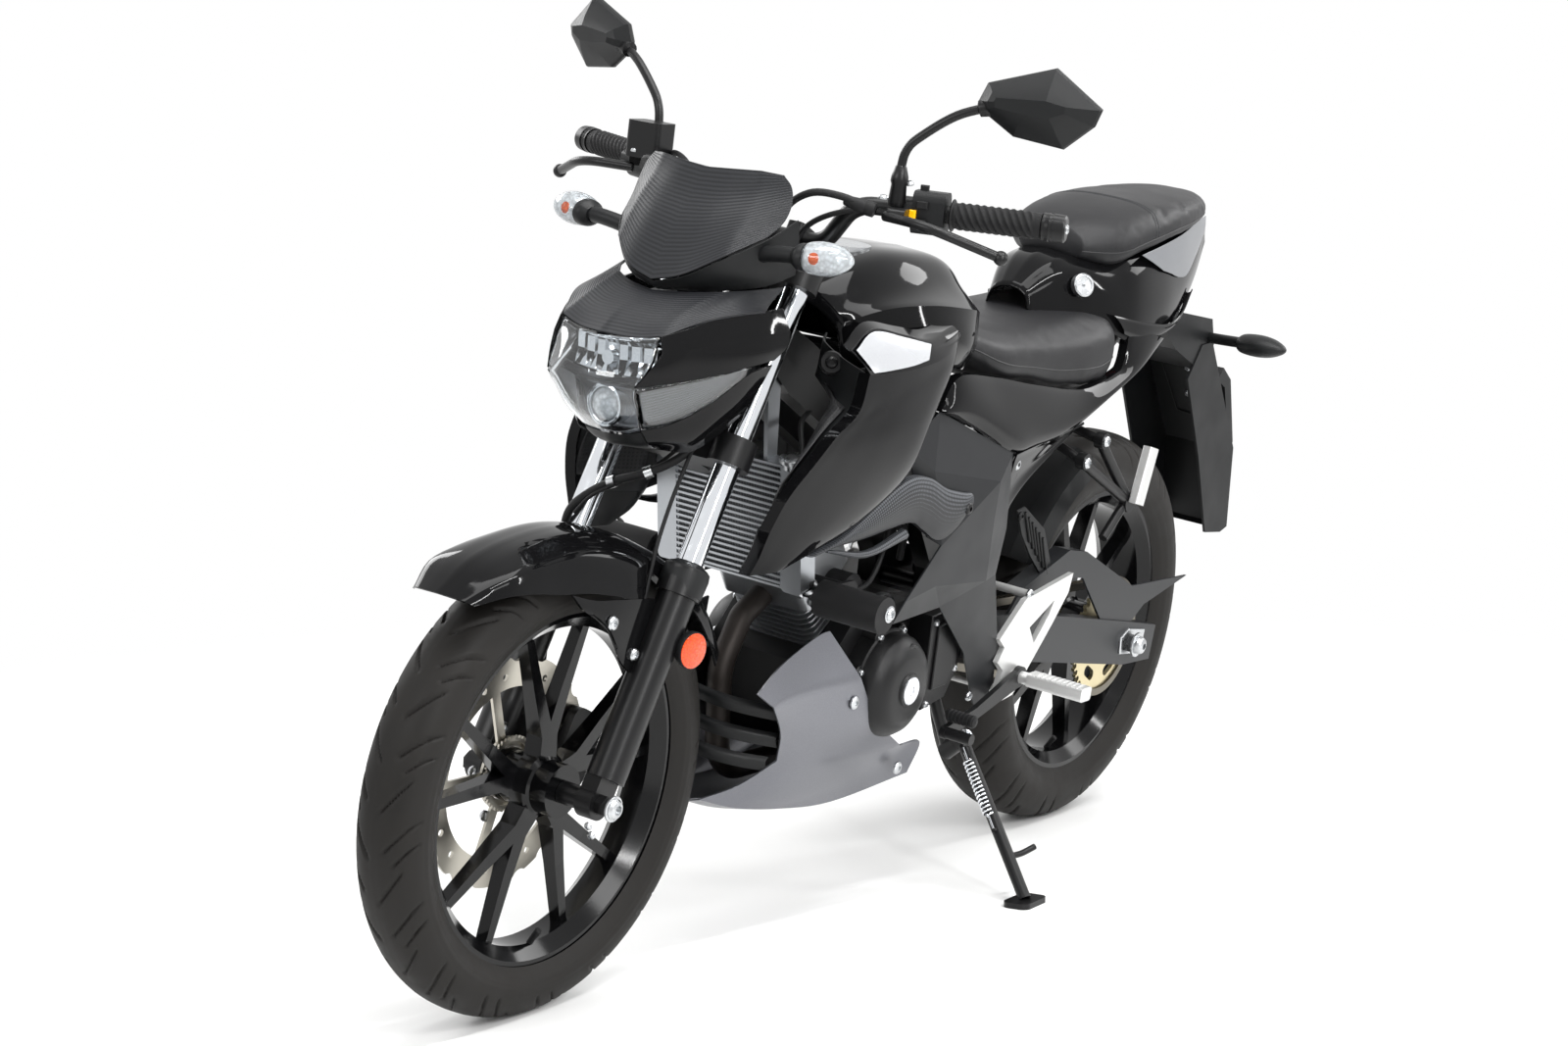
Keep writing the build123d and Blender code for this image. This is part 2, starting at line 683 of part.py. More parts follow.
with BuildPart() as headlight_stays:
    for side in (1, -1):
        with BuildSketch(side_plane(side * stay_y if side > 0 else -stay_y + 4)):
            with BuildLine():
                Polyline(
                    (424, 872), (535, 862), (590, 806), (566, 745), (535, 738), (510, 800), (430, 800),
                    (455, 712), (436, 704),
                    (396, 800), close=True,
                )
            make_face()
        extrude(amount=4)
    with BuildSketch(side_plane(stay_y)):
        with BuildLine():
            Polyline((424, 872), (470, 868), (470, 862), (424, 866), close=True)
        make_face()
    extrude(amount=2 * stay_y)
    # post up to the instrument
    with BuildSketch(side_plane(24)):
        with BuildLine():
            Polyline((424, 868), (448, 868), (448, 930), (424, 930), close=True)
        make_face()
    extrude(amount=48)
    add(headlight.part, mode=Mode.SUBTRACT)
    add(lower_yoke.part, mode=Mode.SUBTRACT)
    add(upper_yoke.part, mode=Mode.SUBTRACT)
    add(stanchions.part, mode=Mode.SUBTRACT)

screen_bottom = (569.0, 912.0)
screen_top = (406.0, 1026.0)
screen_slope = Vector(screen_top[0] - screen_bottom[0], 0, screen_top[1] - screen_bottom[1])
screen_normal = Vector(screen_slope.Z, 0, -screen_slope.X)
screen_plane = Plane(origin=(screen_bottom[0], 0, screen_bottom[1]), x_dir=(0, 1, 0), z_dir=screen_normal)
# rows from the lower tip up: middle x and z, then x, half width and z at the shoulder and at the edge
screen_rows = (
    (536, 897, 512, 72, 928, 462, 108, 962),
    (521, 930, 498, 72, 952, 440, 115, 980),
    (500, 965, 478, 72, 979, 428, 116, 1002),
    (472, 1000, 453, 70, 1009, 424, 110, 1022),
    (452, 1031, 442, 66, 1037, 426, 98, 1035),
)


def screen_strip(rows, mode=Mode.ADD):
    """One strip of the screen between two of its rows, as thick as the panels and towards the rider."""
    sections = []
    for middle_x, middle_z, shoulder_x, shoulder_y, shoulder_z, edge_x, edge_y, edge_z in rows:
        slope = Vector(edge_x - middle_x, 0, edge_z - middle_z)
        along = slope.normalized()
        plane = Plane(origin=(middle_x, 0, middle_z), x_dir=(0, 1, 0), z_dir=Vector(0, 1, 0).cross(along))
        shoulder = (Vector(shoulder_x - middle_x, 0, shoulder_z - middle_z)).dot(along)
        half = [(0, 0), (shoulder_y, shoulder), (edge_y, slope.length)]
        left = [(-y, z) for y, z in reversed(half[1:])]
        near_half = [(y * 0.96, z + panel) for y, z in reversed(half)]
        inner = near_half + [(-y * 0.96, z + panel) for y, z in half[1:]]
        with BuildSketch(plane) as section:
            with BuildLine():
                Polyline(*left, *half, *inner, close=True)
            make_face()
        sections.append(section.sketch.faces()[0])
    loft(sections, ruled=True, mode=mode)


with BuildPart() as fly_screen:
    screen_strip(screen_rows)
fly_screen.part.label = "fly_screen"
steered.append(fly_screen.part)

instrument_front = -44.0
with BuildPart() as instrument:
    with BuildSketch(screen_plane.offset(instrument_front)):
        with Locations((0, 120)):
            RectangleRounded(150, 84, 14)
    extrude(amount=-30)
    # posts that carry the screen
    with BuildSketch(screen_plane.offset(instrument_front)):
        with Locations((52, 94), (-52, 94), (40, 150), (-40, 150)):
            Circle(6)
    extrude(amount=-instrument_front + 4)
    add(headlight_stays.part)
    add(fly_screen.part, mode=Mode.SUBTRACT)
    add(max(instrument.part.solids(), key=lambda solid: solid.volume), mode=Mode.REPLACE)
instrument.part.label = "instrument"
steered.append(instrument.part)

with BuildPart() as front_indicators:
    for side in (1, -1):
        bent_tube([(450, side * 70, 922), (461, side * 108, 945), (466, side * 168, 949)], [25], 9)
        with BuildSketch(Plane(origin=(462, side * 160, 949), x_dir=(1, 0, 0.0001), z_dir=(-0.25, side, 0.05))):
            Ellipse(25, 20)
        extrude(amount=68, taper=12)
    add(instrument.part, mode=Mode.SUBTRACT)
front_indicators.part.label = "front_indicators"
steered.append(front_indicators.part)

# ---------------------------------------------------------------- front mudguard
guard_inner = front_tyre_radius + 16.0
guard_half = 61.5
guard_from = 58.0               # degrees above forward where the beak ends and the guard begins
guard_to = 150.0


def guard_x(x):
    """A place along the guard, tied to the front axle."""
    return x + front_axle_at[0] - 650.0


def guard_z(z):
    """A height on the guard, tied to the tyre's size."""
    return z + front_tyre_radius - 288.0


def guard_section(angle, inner, half, drop):
    """The guard's cross section at this angle: a crowned top with sides that drop by this much."""
    outer = [(-half, inner - drop), (-half * 0.78, inner - 2), (
        -half * 0.34, inner + 6,
    ), (half * 0.34, inner + 6),
             (half * 0.78, inner - 2), (half, inner - drop)]
    inside = [(y * (1 - panel / half), z - panel) for y, z in reversed(outer)]
    with BuildSketch(radial_plane(front_axle_at, angle)) as section:
        with BuildLine():
            Polyline(*outer, *inside, close=True)
        make_face()
    return section.sketch.faces()[0]


with BuildPart() as front_mudguard:
    add(guard_section(guard_to, guard_inner, guard_half, 30))
    revolve(axis=Axis(front_axle_at, (0, 1, 0)), revolution_arc=guard_to - guard_from)
    # the beak rises off the tyre and narrows
    loft(
        [
            guard_section(guard_from + 0.01, guard_inner, guard_half, 30),
            guard_section(guard_from - 4, guard_inner + 12, guard_half - 4, 24),
            guard_section(guard_from - 7.5, guard_inner + 28, guard_half - 15, 9),
        ],
        ruled=True,
    )
    # bolted tabs down the inside of the fork legs
    for side in (1, -1):
        with BuildSketch(side_plane(side * guard_half if side > 0 else -guard_half + panel)) as tab:
            with BuildLine():
                Polyline(
                    (guard_x(712), guard_z(534)), (guard_x(556), guard_z(550)), (guard_x(556), guard_z(500)),
                    (guard_x(584), guard_z(440)), (guard_x(606), guard_z(436)), (guard_x(650), guard_z(492)),
                    close=True,
                )
            make_face()
            with Locations((guard_x(644), guard_z(506))):
                Circle(4.2, mode=Mode.SUBTRACT)
        extrude(tab.sketch, amount=panel)
        rod((guard_x(600), side * (guard_half - 1), guard_z(462)), (guard_x(600), side * 70, guard_z(462)), 8)
    add(sliders.part, mode=Mode.SUBTRACT)
front_mudguard.part.label = "front_mudguard"
steered.append(front_mudguard.part)

with BuildPart() as front_caliper:
    with BuildSketch(fork_side_plane(caliper_face_v + 2 * caliper_half)):
        with Locations((axle_u - 100, axle_w + 64)):
            RectangleRounded(66, 96, 16)
    extrude(amount=2 * caliper_half)
    with BuildSketch(fork_side_plane(front_disc_y + 6)):
        with Locations((axle_u, axle_w)):
            Circle(front_disc_radius + 5)
    extrude(amount=disc_thickness + 6, mode=Mode.SUBTRACT)
front_caliper.part.label = "front_caliper"
steered.append(front_caliper.part)

# ================================================================ frame and engine
head_tube_from = lower_yoke_w + yoke_thickness + 8 + 3
head_tube_to = upper_yoke_w - 3
pivot_at = (-150.0, 0.0, 385.0)
spar_y = 46.0
spar_depth = 52.0
spar_wide = 28.0
shock_top = (-215.0, 638.0)
rail_y = 62.0
rail_radius = 10.0


# the stand swings from its parked direction to a stowed one about an axis square to both
stand_pivot = (-190.0, 112.0, 228.0)
stand_foot = (-134.0, 281.0)       # x, y on the floor of the leaned machine
stand_stowed = Vector(-238, 40, 20)
stand_boss_half = 9.0


def upright(y, z):
    """A point of the leaned machine's cross section before it leans."""
    turned = radians(lean)
    return (y * cos(turned) - z * sin(turned), y * sin(turned) + z * cos(turned))


foot_yz = upright(stand_foot[1], 0)
stand_parked = Vector(stand_foot[0], foot_yz[0], foot_yz[1]) - Vector(*stand_pivot)
stand_axis = stand_parked.cross(stand_stowed).normalized()
stand_swing = stand_parked.get_angle(stand_stowed)

with BuildPart() as frame:
    for side in (1, -1):
        # main spar from the head to the swing arm pivot, with tabs for the footrest bracket
        with BuildSketch(side_plane(side * spar_y + spar_wide / 2)):
            with BuildLine():
                Polyline(
                    (352, 858), (372, 806), (300, 752), (-60, 560), (-126, 470), (-134, 340), (-140, 298),
                    (-222, 298), (-222, 320), (-180, 345), (-176, 416), (-262, 425), (-262, 455), (-180, 490),
                    (-100, 620), (260, 815), close=True,
                )
            make_face()
        extrude(amount=spar_wide)
        bent_tube(
            [(-60, side * rail_y, 612), (-390, side * rail_y, 668), (-700, side * 46, 832)], [180], rail_radius,
        )
        rod((-170, side * rail_y, 470), (-420, side * rail_y, 684), rail_radius - 1)
    # gusset between the spars at the head
    with BuildSketch(side_plane(spar_y)):
        with BuildLine():
            Polyline((352, 858), (372, 806), (300, 770), (240, 800), close=True)
        make_face()
    extrude(amount=2 * spar_y)
    with BuildSketch(fork_frame.offset(head_tube_from)):
        Circle(27)
    extrude(amount=head_tube_to - head_tube_from)
    rod((-154, -spar_y, 440), (-154, spar_y, 440), 12)
    rod((-690, -46, 827), (-690, 46, 827), 8)
    rod((shock_top[0], -rail_y, shock_top[1]), (shock_top[0], rail_y, shock_top[1]), 10)
    with BuildSketch(fork_frame.offset(head_tube_from)):
        Circle(stem_radius + running_gap)
    extrude(amount=head_tube_to - head_tube_from, mode=Mode.SUBTRACT)
    # the side stand's lug
    lug_at = Vector(*stand_pivot) - stand_axis * (stand_boss_half + running_gap)
    rod(tuple(lug_at), tuple(lug_at - stand_axis * 30), 13)
    rod((-182, spar_y, 310), tuple(lug_at - stand_axis * 24), 9)
frame.part.label = "frame"
standing.append(frame.part)

crank_at = (55.0, 350.0)
case_half = 92.0
with BuildPart() as engine_case:
    with BuildSketch(side_plane(case_half)):
        with BuildLine():
            Polyline(
                (-20, 452), (120, 440), (176, 380), (170, 290), (136, 256), (-10, 250), (-40, 270), (-45, 420),
                close=True,
            )
        make_face()
    extrude(amount=2 * case_half)
    with BuildSketch(side_plane(58)):
        with BuildLine():
            Polyline((-20, 452), (-60, 448), (-118, 430), (-118, 320), (-60, 270), (-20, 260), close=True)
        make_face()
    extrude(amount=116)
    with BuildSketch(side_plane(chain_y + 10, front_sprocket_at)):
        Circle(10)
    extrude(amount=chain_y + 10 - 50)
    with BuildSketch(side_plane(chain_y + sprocket_thickness / 2, front_sprocket_at)):
        sprocket(front_teeth, front_pitch_radius, 4)
    extrude(amount=sprocket_thickness)
engine_case.part.label = "engine_case"
standing.append(engine_case.part)

cylinder_tilt = 54.0            # degrees of the cylinder's axis above the horizontal
cylinder_plane = Plane(
    origin=(crank_at[0], 0, crank_at[1]), x_dir=(sin(radians(cylinder_tilt)), 0, -cos(radians(cylinder_tilt))),
    z_dir=(cos(radians(cylinder_tilt)), 0, sin(radians(cylinder_tilt))),
)
head_half = 68.0
fins = 7
fin_pitch = 9.5
with BuildPart() as cylinder:
    with BuildSketch(cylinder_plane.offset(76)):
        RectangleRounded(88, 100, 14)
    extrude(amount=100)
    for fin in range(fins):
        with BuildSketch(cylinder_plane.offset(100 + fin * fin_pitch)):
            RectangleRounded(108, 120, 18)
        extrude(amount=2.6)
    with BuildSketch(cylinder_plane.offset(170)):
        RectangleRounded(112, 2 * head_half, 12)
    extrude(amount=58)
    with BuildSketch(cylinder_plane.offset(228)):
        RectangleRounded(118, 142, 12)
    extrude(amount=34)
    add(engine_case.part, mode=Mode.SUBTRACT)
cylinder.part.label = "cylinder"
standing.append(cylinder.part)

cover_y = case_half + 0.2
cover_screws = 8
sprocket_cover_y = 128.0
with BuildPart() as engine_covers:
    for side in (1, -1):
        face = Plane(origin=(crank_at[0], side * cover_y, crank_at[1]), x_dir=(1, 0, 0), z_dir=(0, side, 0))
        with BuildSketch(face):
            Circle(76)
            with PolarLocations(74, cover_screws, start_angle=20):
                Circle(9)
        extrude(amount=24)
        with BuildSketch(face.offset(24)):
            Circle(72)
        extrude(amount=18, taper=10)
        with BuildSketch(face.offset(42)):
            Circle(66)
        extrude(amount=18, taper=32)
        # round cap in the middle and the timing plug above it
        with BuildSketch(face.offset(54)):
            Circle(20)
        extrude(amount=10)
        with BuildSketch(face.offset(40)):
            with Locations((-6, side * 46)):
                Circle(13)
        extrude(amount=16)
    # sprocket cover behind the generator
    with BuildSketch(side_plane(sprocket_cover_y)):
        with BuildLine():
            Polyline((-28, 434), (-30, 300), (-90, 310), (-116, 350), (-116, 420), (-80, 440), close=True)
        make_face()
    extrude(amount=sprocket_cover_y - case_half - running_gap)
engine_covers.part.label = "engine_covers"
standing.append(engine_covers.part)

pipe_radius = 16.0
muffler_at = (-286.0, -172.0, 262.0)
muffler_along = (-0.955, -0.01, 0.296)
with BuildPart() as exhaust_header:
    bent_tube(
        [
            (202, 0, 468), (250, 0, 442), (284, 0, 380), (262, 0, 230), (120, 0, 229), (-90, -70, 229),
            (-180, -160, 229), (-284, -171.9, 261.4),
        ],
        [30, 60, 60, 60, 60, 60], pipe_radius,
    )
    add(cylinder.part, mode=Mode.SUBTRACT)
exhaust_header.part.label = "exhaust_header"
standing.append(exhaust_header.part)

with BuildPart() as muffler:
    with BuildSketch(Plane(origin=muffler_at, x_dir=(0, 1, 0), z_dir=muffler_along)):
        RectangleRounded(50, 60, 20)
    extrude(amount=40, taper=-12)
    barrel_at = Vector(*muffler_at) + Vector(*muffler_along) * 40
    with BuildSketch(Plane(origin=barrel_at, x_dir=(0, 1, 0), z_dir=muffler_along)):
        RectangleRounded(80, 100, 30)
    extrude(amount=230)
muffler.part.label = "muffler"
standing.append(muffler.part)

# ---------------------------------------------------------------- radiator
radiator_bottom = (292.0, 504.0)
radiator_top = (330.0, 668.0)
core_half = 82.0
tank_half = 112.0
core_depth = 26.0
tube_rows = 20
rad_slope = Vector(radiator_top[0] - radiator_bottom[0], 0, radiator_top[1] - radiator_bottom[1])
rad_plane = Plane(
    origin=(radiator_bottom[0], 0, radiator_bottom[1]), x_dir=(0, 1, 0), z_dir=(rad_slope.Z, 0, -rad_slope.X),
)
with BuildPart() as radiator:
    with BuildSketch(rad_plane):
        Rectangle(2 * core_half, rad_slope.length, align=(Align.CENTER, Align.MIN))
    extrude(amount=-core_depth)
    with BuildSketch(rad_plane.offset(2)):
        for side in (1, -1):
            with Locations((side * (core_half + tank_half) / 2, rad_slope.length / 2)):
                RectangleRounded(tank_half - core_half, rad_slope.length + 6, 6)
    extrude(amount=-core_depth - 6)
    # proud rows of tubes across the core
    for row in range(tube_rows):
        with BuildSketch(rad_plane.offset(-1)):
            with Locations((0, 8 + row * (rad_slope.length - 16) / (tube_rows - 1))):
                Rectangle(2 * core_half + 2, 3.2)
        extrude(amount=3)
    # hanger plates up to the gusset
    for side in (1, -1):
        with BuildSketch(side_plane(side * 53 + 3)):
            with BuildLine():
                Polyline((302, 655), (322, 655), (350, 790), (322, 800), close=True)
            make_face()
        extrude(amount=6)
    add(frame.part, mode=Mode.SUBTRACT)
radiator.part.label = "radiator"
standing.append(radiator.part)

# ---------------------------------------------------------------- belly pan
pan_sections = (
    # x, then half widths and heights of the floor, the chine, the crease and the top edge
    (-20, 84, 200, 120, 250, 120, 270, 119, 300),
    (60, 90, 196, 122, 250, 126, 300, 124, 400),
    (220, 76, 194, 110, 262, 120, 374, 100, 440),
    (372, 42, 219, 78, 280, 106, 356, 104, 402),
)

def pan_loft(inset, overrun, mode):
    """The pan's trough through its sections, inset by the panel's thickness and run past its ends."""
    sections = []
    for x, floor_half, floor_z, chine_half, chine_z, crease_half, crease_z, top_half, top_z in pan_sections:
        left = [
            (floor_half - inset * 0.75, floor_z + inset), (chine_half - inset, chine_z),
            (crease_half - inset, crease_z),
            (top_half - inset, top_z + overrun),
        ]
        right = [(-y, z) for y, z in reversed(left)]
        place = x + (overrun if x > 300 else -overrun if x < 100 else 0) / 4
        with BuildSketch(across_plane(place)) as section:
            with BuildLine():
                Polyline(*left, *right, close=True)
            make_face()
        sections.append(section.sketch.faces()[0])
    loft(sections, ruled=True, mode=mode)


with BuildPart() as belly_pan:
    pan_loft(0, 0, Mode.ADD)
    pan_loft(panel, 20, Mode.SUBTRACT)
    with BuildSketch(side_plane(200)):
        with BuildLine():
            Polyline(
                (-48, 206), (110, 180), (225, 180), (376, 212), (372, 232), (276, 276), (326, 360), (359, 383),
                (309, 408),
                (186, 438), (141, 374), (96, 312), (-1, 254), (-56, 264), close=True,
            )
        make_face()
    extrude(amount=400, mode=Mode.INTERSECT)
    for side in (1, -1):
        rod((150, side * (case_half + running_gap), 300), (150, side * 122, 300), 5)
        rod((60, side * 50, 196), (60, side * 50, 262), 7)
    # curved vanes across the nose
    for x, z, reach in ((330, 352, 107), (333, 316, 100), (334, 282, 92)):
        with BuildSketch(Plane.XY.offset(z)):
            with BuildLine():
                ThreePointArc((x - 58, -reach), (x, 0), (x - 58, reach))
                Line((x - 58, reach), (x - 66, reach - 2))
                ThreePointArc((x - 66, reach - 2), (x - 8, 0), (x - 66, 2 - reach))
                Line((x - 66, 2 - reach), (x - 58, -reach))
            make_face()
        extrude(amount=-16)
    with BuildSketch(side_plane(200)) as bolt_holes:
        with Locations((155, 343), (1, 223)):
            Circle(4.2)
    extrude(bolt_holes.sketch, amount=400, mode=Mode.SUBTRACT)
    # the turning tyre clears the nose all the way from lock to lock
    rod(fork_point(0, 0, 250), fork_point(0, 0, 405), front_tyre_radius - 37, mode=Mode.SUBTRACT)
    rod(fork_point(0, 0, 400), fork_point(0, 0, 540), front_tyre_radius - 54, mode=Mode.SUBTRACT)
    add(engine_case.part, mode=Mode.SUBTRACT)
    add(engine_covers.part, mode=Mode.SUBTRACT)
    # crumbs that the cuts leave are dropped
    add(max(belly_pan.part.solids(), key=lambda solid: solid.volume), mode=Mode.REPLACE)
belly_pan.part.label = "belly_pan"
standing.append(belly_pan.part)

# ================================================================ tank and body panels
lid_at = (128.0, 0.0)
lid_radius = 38.0
lid_seat_z = 918.0
lid_thickness = 10.0
# sections from the front: x, then the left half outline from its foot up to the middle
tank_sections = (
    (256, ((84, 786), (94, 822), (86, 846), (70, 864), (44, 876), (0, 880))),
    (236, ((98, 778), (110, 822), (100, 850), (84, 870), (50, 892), (0, 896))),
    (188, ((120, 786), (133, 828), (122, 866), (98, 878), (58, 908), (0, 912))),
    (118, ((140, 788), (154, 832), (143, 872), (106, 886), (62, 922), (0, 926))),
    (48, ((144, 784), (158, 824), (147, 866), (104, 886), (62, 920), (0, 925))),
    (-10, ((130, 776), (143, 812), (135, 856), (92, 880), (56, 908), (0, 915))),
    (-56, ((106, 770), (117, 800), (107, 842), (70, 858), (46, 880), (0, 889))),
    (-96, ((76, 768), (84, 790), (74, 812), (56, 830), (36, 846), (0, 852))),
)
with BuildPart() as fuel_tank:
    hull(tank_sections)
    add(frame.part, mode=Mode.SUBTRACT)
    with BuildSketch(Plane.XY.offset(lid_seat_z)):
        with Locations((lid_at[0], lid_at[1])):
            Circle(lid_radius + 3)
    extrude(amount=30, mode=Mode.SUBTRACT)
fuel_tank.part.label = "fuel_tank"
standing.append(fuel_tank.part)

with BuildPart() as fuel_lid:
    with BuildSketch(Plane.XY.offset(lid_seat_z + running_gap)):
        with Locations((lid_at[0], lid_at[1])):
            Circle(lid_radius)
    extrude(amount=lid_thickness)
fuel_lid.part.label = "fuel_lid"
standing.append(fuel_lid.part)


def mirrored_panel(outline, y, depth, bosses=(), holes=()):
    """The same flat moulding on both sides at y, with bosses inward to what carries it."""
    for side in (1, -1):
        with BuildSketch(side_plane(side * y)) as face:
            with BuildLine():
                Polyline(*outline, close=True)
            make_face()
        extrude(face.sketch, amount=-side * depth)
        for x, z, hole_radius in holes:
            with BuildSketch(side_plane(200)) as hole:
                with Locations((x, z)):
                    Circle(hole_radius)
            extrude(hole.sketch, amount=400, mode=Mode.SUBTRACT)
        for x, z, carrier_y in bosses:
            rod((x, side * carrier_y, z), (x, side * (y + 1), z), 7)


spar_face = spar_y + spar_wide / 2 + running_gap
bracket_bosses = ((-206, 308), (-256, 440))
bracket_boss_radius = 6.0
shroud_front = (
    (392, 194, 842), (333, 192, 807), (342, 190, 761), (380, 186, 732), (413, 180, 698), (443, 170, 660),
    (455, 158, 618),
    (460, 138, 558),
)
shroud_rear = (
    (84, 156, 846), (78, 165, 834), (107, 178, 791), (148, 182, 736), (190, 182, 667), (265, 172, 613),
    (330, 158, 586),
    (392, 144, 564),
)
shroud_swell = 10.0
with BuildPart() as tank_shrouds:
    curved_panel(shroud_front, shroud_rear, shroud_swell)
    for x, y, z in ((288, 193, 782), (196, 189, 715)):
        rod((x, spar_face, z), (x, y, z), 7)
    mirror(about=Plane.XZ)
    add(fuel_tank.part, mode=Mode.SUBTRACT)
tank_shrouds.part.label = "tank_shrouds"
standing.append(tank_shrouds.part)

trim_top = (
    (365, 154, 575), (312, 162, 592), (265, 168, 618), (190, 176, 655), (130, 174, 655), (73, 172, 634),
    (20, 170, 622),
    (-2, 168, 619),
)
trim_low = (
    (350, 154, 571), (324, 156, 577), (248, 162, 584), (151, 166, 595), (112, 166, 582), (68, 164, 562),
    (30, 164, 566),
    (-2, 164, 594),
)
with BuildPart() as shroud_trims:
    curved_panel(trim_top, trim_low, 6)
    curved_panel(
        [(330, 157, 578), (233, 163, 567), (151, 166, 590)],
        [(318, 155, 571), (231, 160, 556), (139, 163, 574)], 2,
    )
    rod((9, spar_face, 604), (9, 168, 604), 7)
    mirror(about=Plane.XZ)
    add(tank_shrouds.part, mode=Mode.SUBTRACT)
shroud_trims.part.label = "shroud_trims"
standing.append(shroud_trims.part)

cover_front = (
    (72, 150, 731), (140, 147, 690), (79, 157, 653), (53, 166, 590), (51, 164, 552), (107, 156, 480),
    (118, 150, 450),
    (-4, 146, 440), (-105, 138, 374), (-150, 134, 315), (-165, 132, 290),
)
cover_rear = (
    (50, 150, 724), (-20, 153, 700), (-128, 156, 659), (-134, 160, 600), (-134, 160, 553), (-130, 156, 488),
    (-146, 154, 452), (-160, 150, 422), (-183, 146, 383), (-205, 138, 317), (-187, 134, 279),
)
with BuildPart() as frame_covers:
    curved_panel(cover_front, cover_rear, 4)
    rod((20, spar_face, 640), (20, 163, 640), 7)
    rod((-152, spar_face, 440), (-152, 154, 440), 7)
    mirror(about=Plane.XZ)
    with BuildSketch(side_plane(200)) as boss_holes:
        with Locations(*bracket_bosses):
            Circle(bracket_boss_radius + 0.5)
    extrude(boss_holes.sketch, amount=400, mode=Mode.SUBTRACT)
    add(shroud_trims.part, mode=Mode.SUBTRACT)
frame_covers.part.label = "frame_covers"
standing.append(frame_covers.part)

rider_sections = (
    (-38, ((60, 775), (108, 790), (118, 808), (110, 824), (80, 834), (40, 838), (0, 839))),
    (-110, ((90, 755), (130, 762), (137, 785), (127, 806), (90, 818), (45, 823), (0, 824))),
    (-200, ((100, 742), (127, 748), (136, 772), (129, 796), (92, 810), (45, 815), (0, 816))),
    (-300, ((100, 728), (123, 733), (132, 760), (127, 790), (92, 808), (45, 814), (0, 815))),
    (-400, ((95, 722), (119, 728), (128, 758), (124, 792), (92, 812), (45, 820), (0, 822))),
    (-462, ((85, 728), (111, 738), (119, 768), (113, 802), (84, 820), (42, 828), (0, 829))),
    (-494, ((60, 760), (86, 768), (93, 788), (87, 806), (66, 818), (34, 824), (0, 825))),
)
with BuildPart() as rider_seat:
    hull(rider_sections)
    # feet that stand on the rails
    for side in (1, -1):
        for x, z in ((-230, 640), (-400, 684)):
            rod((x, side * 60, z), (x, side * 60, 756), 9)
    add(frame.part, mode=Mode.SUBTRACT)
    # the tank's end stays a hair clear of the cushion
    add(Pos(-0.4, 0, 0.4) * fuel_tank.part, mode=Mode.SUBTRACT)
    add(Pos(-0.4, 0, -0.4) * fuel_tank.part, mode=Mode.SUBTRACT)
    add(fuel_tank.part, mode=Mode.SUBTRACT)
rider_seat.part.label = "rider_seat"
standing.append(rider_seat.part)

pillion_sections = (
    (-440, ((20, 888), (46, 892), (54, 908), (49, 922), (34, 930), (16, 934), (0, 935))),
    (-490, ((50, 882), (84, 890), (94, 912), (84, 936), (58, 948), (30, 953), (0, 954))),
    (-560, ((60, 900), (96, 908), (105, 928), (95, 950), (66, 962), (33, 967), (0, 968))),
    (-640, ((60, 918), (96, 924), (105, 942), (96, 960), (66, 970), (33, 974), (0, 975))),
    (-720, ((55, 928), (86, 934), (94, 950), (86, 966), (60, 975), (30, 979), (0, 980))),
    (-800, ((40, 938), (64, 944), (71, 957), (64, 970), (44, 977), (22, 980), (0, 980))),
    (-858, ((15, 950), (29, 954), (33, 962), (29, 969), (20, 973), (10, 974), (0, 974))),
)
with BuildPart() as pillion_seat:
    hull(pillion_sections)
    for side in (1, -1):
        rod((-600, side * 50, 779), (-600, side * 50, 925), 9)
    add(frame.part, mode=Mode.SUBTRACT)
pillion_seat.part.label = "pillion_seat"
standing.append(pillion_seat.part)

with BuildPart() as tail_light:
    with BuildSketch(across_plane(-850)):
        with Locations((0, 920)):
            Rectangle(86, 20)
    with BuildSketch(across_plane(-700)):
        with Locations((0, 880)):
            Rectangle(150, 60)
    loft()
    for side in (1, -1):
        rod((-690, side * 40, 827), (-712, side * 40, 870), 6)
    add(frame.part, mode=Mode.SUBTRACT)
tail_light.part.label = "tail_light"
standing.append(tail_light.part)

plate_face_top = (-915.0, 745.0)
plate_face_foot = (-1060.0, 560.0)
carrier_top = (-1064.0, 668.0)
carrier_foot = (-1112.0, 560.0)
plate_face_at = (
    (carrier_top[0] + carrier_foot[0]) / 2, 0.0, (carrier_top[1] + carrier_foot[1]) / 2,
)
flap_half = 62.0
plate_face_out = (carrier_foot[1] - carrier_top[1], 0.0, carrier_top[0] - carrier_foot[0])
# the flap is a shallow tray, open to the tyre
with BuildPart() as rear_flap:
    with BuildSketch(side_plane(flap_half)):
        with BuildLine():
            Polyline(
                (-846, 690), (-880, 742), plate_face_top, plate_face_foot, (-1085, 425), (-1062, 418),
                (-1004, 424),
                (-930, 560), close=True,
            )
        make_face()
    extrude(amount=2 * flap_half)
    with BuildSketch(side_plane(flap_half - panel)):
        with BuildLine():
            Polyline(
                (-836, 686), (-874, 736), (-909, 739), (-1054, 557), (-1078, 428), (-1060, 410), (-990, 410),
                (-916, 560),
                close=True,
            )
        make_face()
    extrude(amount=2 * (flap_half - panel), mode=Mode.SUBTRACT)

